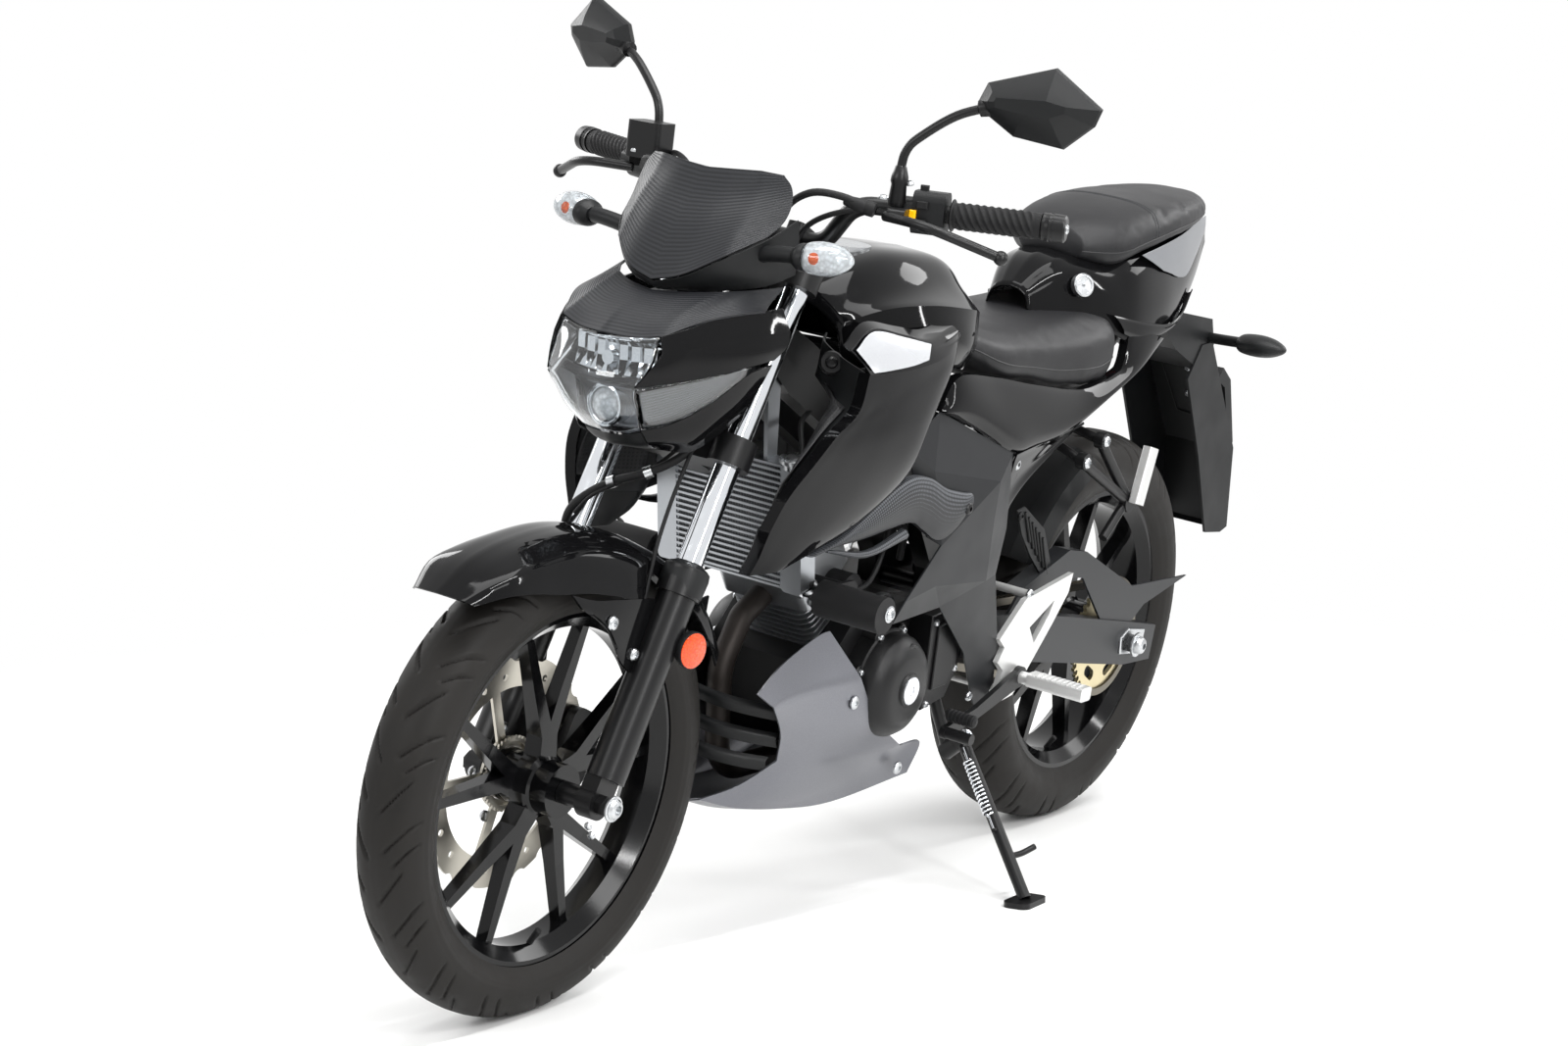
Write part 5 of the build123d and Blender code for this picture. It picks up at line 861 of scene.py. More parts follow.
def cushion_shape(sections, steps=(6, 5)):
    """Closed form through sections of (distance along, half outline): smooth both ways, with ends closed."""
    net = np.array([[(x, y, z) for y, z in outline] for x, outline in sections], float)
    half = net_surface(net, steps)
    full = np.concatenate([half, (half[:, -2::-1] * np.array([1.0, -1.0, 1.0]))], axis=1)
    shape = Shape()
    middle_first, middle_last = full[0].mean(axis=0), full[-1].mean(axis=0)

    def shrink(ring, middle, share):
        return middle + (ring - middle) * share

    full = np.concatenate([
        [shrink(full[0], middle_first, 0.02)], [shrink(full[0], middle_first, 0.5) + (1.5, 0, 0)], full,
        [shrink(full[-1], middle_last, 0.5) - (1.5, 0, 0)], [shrink(full[-1], middle_last, 0.02)],
    ])
    shape.grid(full, closed_columns=True, caps=True)
    return shape


def swollen(piece, voxel, pressure, cap):
    """Blows a closed cushion up a little as cloth, so its sides crown; no point moves past the cap."""
    bpy.context.view_layer.objects.active = piece
    piece.select_set(True)
    remesh = piece.modifiers.new("even", "REMESH")
    remesh.mode = "VOXEL"
    remesh.voxel_size = voxel * MM
    bpy.ops.object.modifier_apply(modifier=remesh.name)
    before = np.zeros(len(piece.data.vertices) * 3)
    piece.data.vertices.foreach_get("co", before)
    cloth = piece.modifiers.new("cloth", "CLOTH")
    cloth.settings.use_pressure = True
    cloth.settings.uniform_pressure_force = pressure
    cloth.settings.effector_weights.gravity = 0
    cloth.point_cache.frame_end = 20
    for number in range(1, 21):
        bpy.context.scene.frame_set(number)
    bpy.ops.object.modifier_apply(modifier=cloth.name)
    after = np.zeros(len(before))
    piece.data.vertices.foreach_get("co", after)
    move = (after - before).reshape(-1, 3)
    length = np.linalg.norm(move, axis=1, keepdims=True)
    move *= np.minimum(1.0, cap * MM / np.maximum(length, 1e-9))
    piece.data.vertices.foreach_set("co", (before.reshape(-1, 3) + move).ravel())
    bpy.context.scene.frame_set(1)
    piece.data.polygons.foreach_set("use_smooth", np.ones(len(piece.data.polygons), bool))
    smooth = piece.modifiers.new("relax", "SMOOTH")
    smooth.factor, smooth.iterations = 0.5, 4
    bpy.ops.object.modifier_apply(modifier=smooth.name)
    piece.select_set(False)
    return piece


def laid_line(shape, piece, points, radius):
    """A cord of thread or piping half sunk into a finished piece, along points in the machine's mm.

    It is worked out in parked metres, because it lies on a piece that is already placed.
    """
    path = standing(smooth_line(points, 8))
    hits = [piece.closest_point_on_mesh(Vector(spot)) for spot in path]
    laid = np.array([hit[1] for hit in hits])
    shape.grid(tube_grid(laid, radius * MM, 6), closed_columns=True, caps=True)
    return shape


def as_placed(points):
    """Parked metres as they are."""
    return np.asarray(points, float)


def seat_pieces(sizes):
    """Rider and pillion seats: crowned cushions blown up as cloth, with piping and stitches laid on after."""
    made = {}
    for name, sections, node_name, share in (("rider_cushion", RIDER_SECTIONS, "rider_seat", 1.0),
                                             ("pillion_cushion", PILLION_SECTIONS, "pillion_seat", 0.8)):
        piece = plain_mesh(name, cushion_shape(sections), standing, MATERIALS["vinyl"])
        swollen(piece, voxel=5.0, pressure=3.0, cap=sizes.seat_swell * share)
        finish_piece(piece, "chassis", (node_name,), levels=1)
        made[name] = piece
    shape = Shape()
    for side in (1, -1):
        edge = [(x, side * out[2][0], out[2][1] - 6) for x, out in RIDER_SECTIONS[:-1]]
        laid_line(shape, made["rider_cushion"], edge, 1.3)
        edge = [(x, side * out[2][0], out[2][1] - 4) for x, out in PILLION_SECTIONS]
        laid_line(shape, made["pillion_cushion"], edge, 1.2)
    finish_piece(plain_mesh("seat_piping", shape, as_placed, MATERIALS["vinyl"], 30), "chassis")
    shape = Shape()
    for x in (-586, -593):
        seam = [(x + 12, 96, 930), (x + 5, 84, 956), (x, 50, 968), (x, 0, 972), (x, -50, 968),
                (x + 5, -84, 956), (x + 12, -96, 930)]
        laid_line(shape, made["pillion_cushion"], seam, 0.7)
    finish_piece(plain_mesh("seat_stitches", shape, as_placed, MATERIALS["thread"], 30), "chassis")


TAIL_SECTIONS = [
    (-336, [(34, 822), (32, 832), (26, 842), (14, 849), (0, 851)]),
    (-392, [(62, 806), (60, 836), (52, 868), (30, 886), (0, 892)]),
    (-440, [(84, 800), (82, 838), (72, 876), (40, 897), (0, 902)]),
    (-490, [(104, 788), (102, 832), (92, 868), (70, 892), (0, 901)]),
    (-540, [(114, 772), (113, 826), (104, 872), (86, 896), (0, 903)]),
    (-620, [(110, 786), (110, 832), (101, 876), (88, 908), (0, 914)]),
    (-700, [(96, 808), (95, 846), (88, 884), (76, 922), (0, 928)]),
    (-790, [(70, 850), (70, 880), (66, 908), (58, 938), (0, 944)]),
    (-852, [(50, 905), (48, 916), (46, 930), (40, 942), (0, 948)]),
]


def tail_pieces():
    """Tail: a shell that narrows and rises to the rear, with a grey inset below the seat's edge."""
    net = np.array([[(x, y, z) for y, z in outline] for x, outline in TAIL_SECTIONS], float)
    whole("tail_shell", [net_surface(net, (6, 6), (), (3,))[:, ::-1]], "gloss", "chassis",
          ("tail_panels",), 2.5, 0.0)
    inset = net_surface([[(-540, 101, 905), (-620, 97, 918), (-700, 86, 930), (-780, 66, 942), (-846, 48, 946)],
                         [(-575, 104, 893), (-630, 101, 898), (-700, 92, 906), (-770, 76, 916), (-820, 62, 926)],
                         [(-610, 106, 880), (-640, 104, 874), (-680, 99, 866), (-720, 92, 868), (-780, 74, 896)]],
                        (6, 6))
    left_and_right("tail_insets", [inset], "smoke", "chassis", (), 2.0, 0.6)
    blade = between([(-470, 106, 820), (-560, 116, 806), (-640, 113, 800), (-700, 102, 812), (-760, 84, 842)],
                    [(-500, 112, 792), (-560, 114, 778), (-630, 110, 784), (-690, 100, 800), (-752, 82, 834)],
                    [(0, 0), (0.2, 3), (0.7, 3.5), (1, 0)], (6, 4))
    left_and_right("tail_edges", [blade], "gloss", "chassis", (), 2.0, 0.5)
    shape = Shape()
    turned(shape, [(-6, 17), (3, 17), (5, 15), (5, 12.5), (3.5, 12), (3.5, 0.01)], (-412, 78, 862),
           (0.45, 0.85, 0.3), 40)
    slot = revolved([(3.0, 2.2), (5.6, 2.2), (6.0, 1.6), (6.0, 0.01)], (-412, 78.5, 862), (0.45, 0.85, 0.3), 12)
    shape.grid(slot, closed_columns=True)
    made_piece("seat_lock", shape, "zinc", "chassis")


def cowl_pieces():
    """Headlight cowl: a ribbed brow, two gloss side panels with a crease between, and a chin under the lens."""
    upper = net_surface([
        [(604, 76, 845), (572, 92, 856), (530, 106, 870), (478, 120, 876), (438, 128, 880)],
        [(606, 82, 825), (575, 99, 834), (530, 115, 844), (478, 130, 850), (430, 138, 852)],
        [(618, 76, 805), (582, 95, 814), (535, 114, 822), (480, 131, 828), (434, 138, 834)],
        [(632, 66, 783), (590, 88, 790), (540, 110, 800), (484, 128, 812), (450, 133, 818)]], (6, 6), (1,))
    lower = net_surface([
        [(588, 50, 726), (568, 76, 737), (530, 102, 763), (488, 124, 801), (450, 131, 812)],
        [(575, 52, 710), (556, 70, 714), (525, 92, 728), (488, 110, 756), (456, 120, 780)],
        [(560, 42, 702), (548, 56, 700), (520, 76, 700), (488, 92, 722), (458, 106, 752)]], (6, 6))
    left_and_right("cowl_sides", [upper, lower], "gloss", "steering", (), 2.5, 0.8)
    brow = net_surface([
        [(612, 0, 830), (604, 42, 830), (594, 72, 836), (540, 100, 860), (466, 122, 872)],
        [(620, 0, 838), (610, 42, 838), (600, 76, 845), (545, 104, 868), (470, 126, 878)],
        [(585, 0, 864), (577, 40, 864), (562, 72, 869), (515, 98, 882), (450, 120, 888)],
        [(530, 0, 884), (522, 40, 888), (500, 76, 893), (465, 100, 898), (425, 118, 903)]], (6, 7), (1,), (2,))
    whole("cowl_brow", [brow], "ribbed", "steering", ("headlight_cowl",), 2.5, 0.6)
    chin = net_surface([
        [(590, 0, 714), (586, 26, 716), (580, 44, 722)],
        [(578, 0, 700), (574, 26, 702), (566, 46, 706)],
        [(548, 0, 696), (546, 26, 697), (540, 44, 698)]], (5, 5))
    whole("cowl_chin", [chin], "grained", "steering", (), 2.5, 0.6, (1, 0, -0.5))


def screen_pieces():
    """Fly screen: a shield swept back from its lower tip, creased down each side, on a black base."""
    shield = net_surface([
        [(536, 0, 897), (530, 40, 909), (505, 80, 936), (462, 108, 962)],
        [(521, 0, 930), (515, 40, 938), (492, 80, 958), (440, 115, 980)],
        [(500, 0, 965), (494, 40, 971), (473, 80, 983), (428, 116, 1002)],
        [(472, 0, 1000), (467, 40, 1003), (450, 78, 1011), (424, 110, 1022)],
        [(452, 0, 1031), (449, 36, 1034), (440, 74, 1037), (426, 98, 1035)],
        [(440, 0, 1030), (438, 36, 1032), (430, 72, 1034), (420, 96, 1033)]], (6, 7), (4,), (2,))
    whole("screen_shield", [shield], "ribbed", "steering", ("fly_screen",), 3.0, 0.8, (1, 0, 0.5))
    base = net_surface([
        [(533, 0, 894), (527, 40, 906), (502, 81, 934), (461, 110, 960), (414, 119, 984)],
        [(530, 0, 888), (516, 44, 896), (488, 84, 914), (450, 111, 930), (410, 121, 950)],
        [(518, 0, 884), (500, 44, 888), (474, 82, 895), (440, 105, 903), (408, 119, 917)]], (5, 7))
    whole("screen_base", [base], "grained", "steering", (), 2.5, 0.6, (1, 0, 0))


def headlight_pieces():
    """Headlight: a clear cover that runs on as spears, a fluted bright bowl above and a projector below."""
    lens = net_surface([
        [(620, 0, 836), (614, 40, 838), (602, 73, 843)],
        [(640, 0, 808), (634, 40, 809), (612, 75, 812)],
        [(648, 0, 780), (643, 38, 780), (628, 67, 781)],
        [(634, 0, 745), (629, 34, 746), (608, 60, 752)],
        [(598, 0, 716), (595, 28, 718), (587, 49, 726)]], (6, 6))
    whole("headlight_lens", [lens], "lens", "steering", ("headlight",), 2.0, 0.0, (1, 0, 0))
    spear = net_surface([
        [(629, 67, 780), (590, 88, 789), (540, 110, 799), (487, 127, 810)],
        [(609, 60, 752), (580, 82, 764), (535, 107, 782), (487, 126, 806)],
        [(588, 50, 727), (568, 76, 738), (530, 103, 764), (488, 125, 802)]], (6, 6))
    left_and_right("headlight_spears", [spear], "lens", "steering", (), 2.0, 0.0)
    backing = spear - np.array([3.0, 8.0, 0.0])
    left_and_right("spear_backings", [backing], "spear", "steering", (), 1.0, 0.0)
    # flutes of the upper bowl: every other column stands 4 mm proud
    columns = np.linspace(0, 68, 9)
    proud = np.where(np.arange(9) % 2, 4.0, 0.0)
    rows = [(600, 835), (588, 822), (586, 804), (602, 788)]
    upper = np.array([[(x - 0.0016 * y**2 + p * (0 < k < 3), y, z + 0.0009 * y**2) for y, p in zip(columns, proud)]
                      for k, (x, z) in enumerate(rows)])
    piece = whole("headlight_bowl", [upper], "bowl", "steering", (), 2.0, 0.0, (1, 0, 0), 10)
    for polygon in piece.data.polygons:
        polygon.use_smooth = False
    shelf = net_surface([[(604, 0, 787), (602, 36, 788), (596, 66, 790)],
                         [(622, 0, 781), (618, 36, 782), (606, 66, 783)],
                         [(606, 0, 774), (602, 34, 775), (590, 62, 777)]], (4, 4))
    whole("headlight_shelf", [shelf], "casting", "steering", (), 2.0, 0.0, (1, 0, 0))
    lower = net_surface([[(606, 0, 775), (602, 34, 776), (590, 62, 778)],
                         [(572, 0, 752), (572, 30, 753), (576, 54, 757)],
                         [(578, 0, 722), (577, 24, 724), (577, 44, 730)]], (5, 5))
    whole("headlight_lower", [lower], "smoke", "steering", (), 2.0, 0.0, (1, 0, 0))
    shape = Shape()
    turned(shape, [(-20, 24), (10, 26), (14, 25.5), (15, 23), (12, 22.5), (12, 21), (4, 21), (4, 0.01)],
           (586, 0, 750), (1, 0, -0.05), 36)
    turned(shape, [(0, 8), (12, 8.6), (13, 0.01)], (590, 0, 806), (1, 0, 0), 20)
    made_piece("headlight_rings", shape, "bowl", "steering")
    shape = Shape()
    dome = [(2 + 14 * math.cos(a), 21.0 * math.sin(a) + 0.01) for a in np.linspace(math.pi / 2, 0, 8)]
    turned(shape, [(0, 20.9)] + dome, (590, 0, 750), (1, 0, -0.05), 36)
    made_piece("projector_lens", shape, "frost", "steering")


def mudguard_pieces():
    """Front mudguard: a crowned strip carried round the tyre with a beak in front, and bolted side tabs."""
    rows = [[(868, 0, 552), (866, 20, 551), (862, 38, 549), (856, 47, 545)]]
    for x, z, drop, half in ((824, 581, 26, 64), (780, 596, 42, 68), (734, 604, 56, 70), (685, 608, 64, 73),
                             (640, 606, 70, 76), (590, 598, 72, 78)):
        rows.append([(x, 0, z), (x - 1, half * 0.5, z - 4), (x - 3, half * 0.88, z - drop * 0.38),
                     (x - 6, half, z - drop)])
    for x, z in ((543, 581), (505, 562), (471, 544), (430, 510), (400, 474), (380, 440)):
        rows.append([(x, 0, z), (x + 2, 34, z - 2), (x + 8, 58, z - 8), (x + 20, 66, z - 26)])
    guard = net_surface(np.array(rows, float), (4, 6))
    whole("mudguard_skin", [guard], "gloss", "steering", ("front_mudguard",), 2.5, 0.8)
    tab = net_surface([
        [(712, 72, 546), (675, 76, 536), (635, 78, 532), (590, 80, 528), (556, 80, 524)],
        [(690, 76, 524), (665, 79, 512), (636, 81, 502), (600, 82, 492), (566, 82, 484)],
        [(662, 78, 510), (648, 81, 494), (630, 83, 478), (604, 84, 462), (580, 84, 452)],
        [(640, 80, 488), (632, 82, 470), (620, 84, 454), (602, 85, 440), (586, 85, 436)]], (5, 5))
    left_and_right("mudguard_tabs", [tab], "gloss", "steering", (), 4.0, 1.0)
    bolts("mudguard_bolts", "zinc", "steering",
          [((644, 82, 506), (0, 1, 0), 9, 5, 3.4), ((600, 85, 462), (0, 1, 0), 8, 5, 3.2)])


PAN_NET = [
    [(356, 108, 381), (309, 104, 406), (250, 99, 424), (205, 97, 435), (186, 98, 437)],
    [(330, 118, 362), (285, 119, 368), (230, 122, 372), (185, 126, 374), (143, 129, 375)],
    [(292, 110, 318), (252, 115, 318), (205, 121, 317), (150, 128, 315), (97, 134, 312)],
    [(272, 97, 274), (235, 104, 266), (180, 111, 260), (90, 117, 256), (-1, 121, 254)],
    [(310, 68, 240), (262, 84, 226), (190, 93, 214), (80, 105, 222), (-54, 121, 250)],
    [(356, 42, 222), (300, 62, 206), (221, 77, 194), (110, 90, 186), (-48, 111, 204)],
    [(352, 20, 214), (300, 32, 198), (221, 40, 186), (110, 46, 180), (-34, 56, 192)],
    [(350, 0, 212), (300, 0, 196), (221, 0, 184), (110, 0, 178), (-30, 0, 190)],
]


def pan_pieces():
    """Belly pan: creased sides that meet under the engine, with three curved black vanes across its nose."""
    side = net_surface(np.array(PAN_NET, float), (6, 6), (1, 3, 5))
    whole("pan_shell", [side[::-1].transpose(1, 0, 2)], "pan", "chassis", ("belly_pan",), 3.0, 0.8,
          (0, 0, -1))
    vanes = []
    for x, z, reach in ((328, 352, 104), (330, 316, 98), (332, 282, 88)):
        arc = np.linspace(0, 1, 5)[:, None]
        line = np.concatenate([x - 55 * arc**2, reach * arc, z - 14 * arc], axis=1)
        vanes.append(np.stack([line + (0, 0, 11), line + (7, 0, 4), line + (2, 0, -9)], axis=0))
    grids = [net_surface(vane, (4, 5)) for vane in vanes]
    whole("pan_vanes", grids, "grained", "chassis", (), 3.0, 0.8, (1, 0, 0))
    bolts("pan_bolts", "zinc", "chassis",
          [((155, 131, 343), (0, 1, 0), 9, 4, 3.4), ((1, 122, 223), (0, 1, 0), 9, 4, 3.4)])


def tyre_piece(name, axle, profile, half_width, body, node_name, pitches, deep):
    """Tyre: a profile turned about the axle, cut by slanted grooves.

    The grooves' middle lines run at a share of one pitch that grows with the distance from the crown, and the
    depth falls off smoothly across 3 mm each side of them.
    """
    half = smooth_line(profile, 5)
    full = np.concatenate([half[::-1] * (-1, 1), half[1:]])
    angle = np.linspace(0, 2 * np.pi, 900, endpoint=False)[:, None]
    y, r = full[:, 0][None], full[:, 1][None]
    crown = r.max()
    v = np.abs(y) / half_width
    side = np.where(y >= 0, 0.0, 0.5)
    pitch = 2 * np.pi * crown / pitches
    u = angle / (2 * np.pi) * pitches + side
    on_tread = (r > crown - half_width * 0.72).astype(float)

    def groove(start, lean, low, high, wide):
        away = np.abs((u - start - lean * v**1.25 + 0.5) % 1 - 0.5) * pitch
        ends = np.clip((v - low) / 0.05, 0, 1) * np.clip((high - v) / 0.08, 0, 1)
        return np.clip(1.35 - away / wide, 0, 1) * ends

    crown_groove = groove(start=0.1, lean=0.62, low=0.1, high=0.8, wide=3.4)
    shoulder_groove = groove(start=0.62, lean=0.5, low=0.3, high=1.02, wide=3.0)
    short_groove = groove(start=0.36, lean=0.5, low=0.55, high=1.02, wide=2.4)
    depth = np.maximum(np.maximum(crown_groove, shoulder_groove), short_groove) * deep * on_tread
    rib = (0.5 * (np.abs(r - (crown - half_width * 0.98)) < 2.0)
           + 0.5 * (np.abs(r - (crown - half_width * 1.15)) < 1.5))
    radius = r - depth * np.clip((r - 240) / 20, 0.35, 1) + 0 * angle
    across = y + np.sign(y) * (rib - depth * 0.35 * (v > 0.8)) + 0 * angle
    points = np.stack([radius * np.cos(angle), across, radius * np.sin(angle)], axis=2) + axle
    shape = Shape()
    shape.grid(points, closed_rows=True)
    piece = plain_mesh(name, shape, place_of(body), MATERIALS["tyre"], 40)
    return finish_piece(piece, body, (node_name,))


def tyre_pieces(sizes):
    """Front and rear tyres."""
    tyre_piece("front_tyre_tread", FRONT_AXLE,
               [(0, 288), (14, 286.8), (27, 282), (37, 273.5), (43, 262), (45.5, 250), (44.5, 238), (39, 227),
                (33, 219)], 45.5, "front_wheel", "front_tyre", 16, sizes.groove_depth)
    tyre_piece("rear_tyre_tread", REAR_AXLE,
               [(0, 306), (20, 304.6), (38, 299), (52, 289), (61, 275), (65, 259), (63, 243), (56, 229), (48, 219)],
               65.0, "rear_wheel", "rear_tyre", 14, sizes.groove_depth)


# ---------------------------------------------------------------- engine, radiator and running gear
GENERATOR = (55.0, 350.0)           # x and z of the generator cover's middle, in mm


def engine_pieces():
    """Engine covers: stepped domes with their screws, a silver disc, a timing plug, and the sprocket cover."""
    shape = Shape()
    mid_x, mid_z = GENERATOR
    dome = [(-0.5, 76), (23, 76), (25, 73.5), (25, 72), (40, 69.5), (44, 67), (52, 61), (58, 52), (60.5, 42),
            (61.2, 24),
            (64, 22.5), (64, 0.01)]
    turned(shape, dome, (mid_x, 92.2, mid_z), sides=72)
    turned(shape, [(36, 15), (54, 14), (56, 12.5), (56, 9), (54.5, 8), (54.5, 0.01)], (48, 92.2, 397), sides=28)
    for k in range(8):
        angle = math.radians(20 + 45 * k)
        foot = (mid_x + 75 * math.cos(angle), 92.2, mid_z + 75 * math.sin(angle))
        turned(shape, [(-0.5, 9), (22, 9), (24, 7.5), (24, 0.01)], foot, sides=18)
    prism(shape, [(-28, 434), (-32, 300), (-90, 310), (-116, 350), (-116, 420), (-80, 440)], 92.2, 127.5)
    prism(shape, [(-44, 418), (-46, 328), (-84, 330), (-102, 356), (-102, 410), (-78, 424)], 127.0, 131.5)
    shape.both_sides()
    made_piece("engine_cover_skins", shape, "casting", "chassis", ("engine_covers",))
    shape = Shape()
    turned(shape, [(-1, 19), (1.4, 19), (2.0, 18), (2.0, 6.5), (0.6, 6), (0.6, 0.01)], (mid_x, 156.4, mid_z),
           sides=40)
    made_piece("cover_disc", shape, "silver", "chassis")
    shape = Shape()
    for k in range(8):
        angle = math.radians(20 + 45 * k)
        bolt(shape, (mid_x + 75 * math.cos(angle), 116.4, mid_z + 75 * math.sin(angle)), (0, 1, 0), 5.2, 4.5, 2.6)
    for x, z in ((-38, 424), (-106, 350), (-40, 308), (-106, 416)):
        bolt(shape, (x, 128, z), (0, 1, 0), 5.0, 4.0, 2.5)
    shape.both_sides()
    made_piece("cover_screws", shape, "zinc", "chassis")
    shape = Shape()
    # starter motor, throttle body and an injector between the cylinder and the spars, and the leads to them
    turned(shape, [(0, 20), (2, 24), (60, 24), (64, 20), (66, 0.01)], (150, 40, 486), sides=32)
    turned(shape, [(0, 26), (34, 26), (38, 22), (70, 22), (72, 0.01)], (86, 0, 566), (-0.9, 0, 0.4), 32)
    turned(shape, [(0, 9), (26, 9), (28, 6), (40, 6), (41, 0.01)], (120, 26, 590), (-0.3, 0.5, 0.8), 20)
    tube(shape, [(208, 66, 590), (214, 92, 602), (190, 104, 620), (150, 88, 640), (120, 62, 662)], 4.0)
    tube(shape, [(110, 34, 628), (90, 66, 640), (60, 90, 610), (30, 96, 560), (10, 84, 510)], 5.0)
    tube(shape, [(150, 100, 486), (128, 112, 500), (96, 108, 540), (60, 92, 600)], 3.4)
    made_piece("engine_fittings", shape, "rubber", "chassis")
    shape = Shape()
    turned(shape, [(0, 8), (12, 8), (14, 6), (30, 6), (31, 0.01)], (206, 44, 590), (0.2, 0.9, 0.4), 20)
    for x, z in ((196, 470), (228, 486), (176, 560), (206, 574)):
        bolt(shape, (x, 71, z), (0, 1, 0), 6, 5, 3)
    made_piece("head_bolts", shape, "zinc", "chassis")
    # bobbin ends: a pressed-in silver hexagon bolt
    shape = Shape()
    for side in (1, -1):
        turned(shape, [(-2, 11), (0.8, 11), (1.2, 10), (1.2, 0.01)], (262, side * 226, 502), (0, side, 0), 24)
        bolt(shape, (262, side * 227, 502), (0, side, 0), 8.5, 4, 4)
    made_piece("bobbin_bolts", shape, "zinc", "chassis")
    shape = Shape()
    for side in (1, -1):
        turned(shape, [(0, 24), (3, 25.4), (10, 25.4), (12, 24.6)], (262, side * 206, 502), (0, side, 0), 40)
    made_piece("bobbin_rings", shape, "grained", "chassis")


def radiator_pieces():
    """Radiator: dark corrugated fins between the bright tube rows, a filler neck and the hoses to the engine."""
    foot, top = np.array([292.0, 0, 504.0]), np.array([330.0, 0, 668.0])
    up = unit(top - foot)
    out = np.array([up[2], 0.0, -up[0]])
    shape = Shape()
    share = np.linspace(0.02, 0.98, 3)[:, None, None]
    across = np.linspace(-79, 79, 3)[None, :, None] * np.array([0.0, 1.0, 0.0])
    shape.grid(foot + share * (top - foot) + across + out * 0.6, towards=(1, 0, 0))
    piece = plain_mesh("radiator_fins", shape, standing, MATERIALS["fins"])
    finish_piece(piece, "chassis", (), 0.4)
    shape = Shape()
    tube(shape, [(282, 98, 520), (262, 104, 508), (236, 96, 496), (214, 72, 492), (204, 60, 492)], 11.0, 14)
    tube(shape, [(316, -98, 650), (290, -104, 652), (256, -84, 630), (236, -62, 602), (226, -50, 588)], 11.0, 14)
    tube(shape, [(322, 104, 668), (312, 96, 690), (280, 70, 716), (240, 56, 726)], 3.5)
    made_piece("radiator_hoses", shape, "rubber", "chassis")
    shape = Shape()
    for at, along in (((266, 103, 510), (-0.8, 0.1, -0.5)), ((212, 70, 492), (-0.7, -0.7, 0)),
                      ((294, -103.5, 651), (-0.8, 0.3, 0)), ((232, -60, 600), (-0.4, 0.5, -0.5))):
        turned(shape, [(-4, 12.4), (4, 12.4), (4, 11), (-4, 11)], at, along, 24)
    turned(shape, [(0, 14), (8, 14), (9, 19), (14, 19), (15, 16), (15, 0.01)], (326, 97, 668), (0.22, 0, 0.97), 28)
    made_piece("radiator_clips", shape, "zinc", "chassis")


def wheel_pieces():
    """Running gear: toothed speed rings, axle nuts, valve stems, disc bolts and chain adjusters."""
    for name, axle, body, y, reach, bolt_y in (
        ("front", FRONT_AXLE, "front_wheel", -44.0, 58.0, -53.5),
        ("rear", REAR_AXLE, "rear_wheel", -56.0, 50.0, -67.0),
    ):
        shape = Shape()
        angle = np.linspace(0, 2 * np.pi, 176, endpoint=False)
        outer = np.where(np.arange(176) % 4 < 2, 48.0, 44.5)
        rings = []
        for radius, across in ((40.0, y + 1.5), (outer, y + 1.5), (outer, y - 1.5), (40.0, y - 1.5)):
            rings.append(np.stack([radius * np.cos(angle), np.full(176, across), radius * np.sin(angle)],
                                  axis=1) + axle)
        shape.grid(np.array(rings), closed_rows=True, closed_columns=True)
        made_piece(name + "_speed_ring", shape, "disc", body)
        shape = Shape()
        for k in range(5):
            turn = math.radians(72 * k + 10)
            bolt(shape, axle + (reach * math.cos(turn), bolt_y, reach * math.sin(turn)), (0, -1, 0), 7, 4, 3)
        made_piece(name + "_disc_bolts", shape, "zinc", body)
        shape = Shape()
        tube(shape, [axle + (0, 8, -212), axle + (0, 14, -200), axle + (0, 22, -186)], 4.0, 12)
        turned(shape, [(0, 4.6), (9, 4.6), (10, 3.6), (10, 0.01)], axle + (0, 21.5, -187), (0, 0.55, 0.83), 14)
        made_piece(name + "_valve", shape, "rubber", body)
    shape = Shape()
    bolt(shape, (650, 118, 288), (0, 1, 0), 13, 8, 6)
    turned(shape, [(0, 16), (2, 16), (2.5, 15), (2.5, 0.01)], (650, 117, 288), sides=32)
    for x, z in ((676, 268), (668, 255)):
        bolt(shape, (x, 104, z), (0.9, 0, -0.4), 5, 4, 2.5)
    made_piece("front_axle_end", shape, "zinc", "steering")
    shape = Shape()
    for side in (1, -1):
        turned(shape, [(-1, 19), (2, 19), (2.6, 18), (2.6, 0.01)], (-650, side * 139.5, 306), (0, side, 0), 32)
        bolt(shape, (-650, side * 142, 306), (0, side, 0), 14, 11, 5)
        plate = Shape()
        prism(plate, [(-690, 284), (-620, 292), (-616, 318), (-640, 330), (-694, 322)], 126.2, 129.5)
        points = np.concatenate(plate.points) * (1, side, 1)
        faces = [[index + shape.size for index in (face if side > 0 else face[::-1])] for face in plate.faces]
        shape.add(points, faces)
        bolt(shape, (-736, side * 112, 298), (-1, 0, -0.1), 7, 10, 3)
    made_piece("rear_axle_ends", shape, "zinc", "chassis")
    shape = Shape()
    prism(shape, [(-240, 556), (-262, 560), (-330, 520), (-372, 455), (-352, 440), (-300, 482), (-262, 520)],
          116.0, 119.0)
    for k in range(6):
        start = np.array([-262 - 13 * k, 119.5, 552 - 9 * k])
        tube(shape, [start, start + (-10, 0.6, -18 - k), start + (-26, 0.6, -46 - 2 * k)], 2.2, 8, 4)
    bolt(shape, (-250, 119, 548), (0, 1, 0), 6, 4, 3)
    shape.both_sides()
    made_piece("inner_guard_ribs", shape, "grained", "chassis")


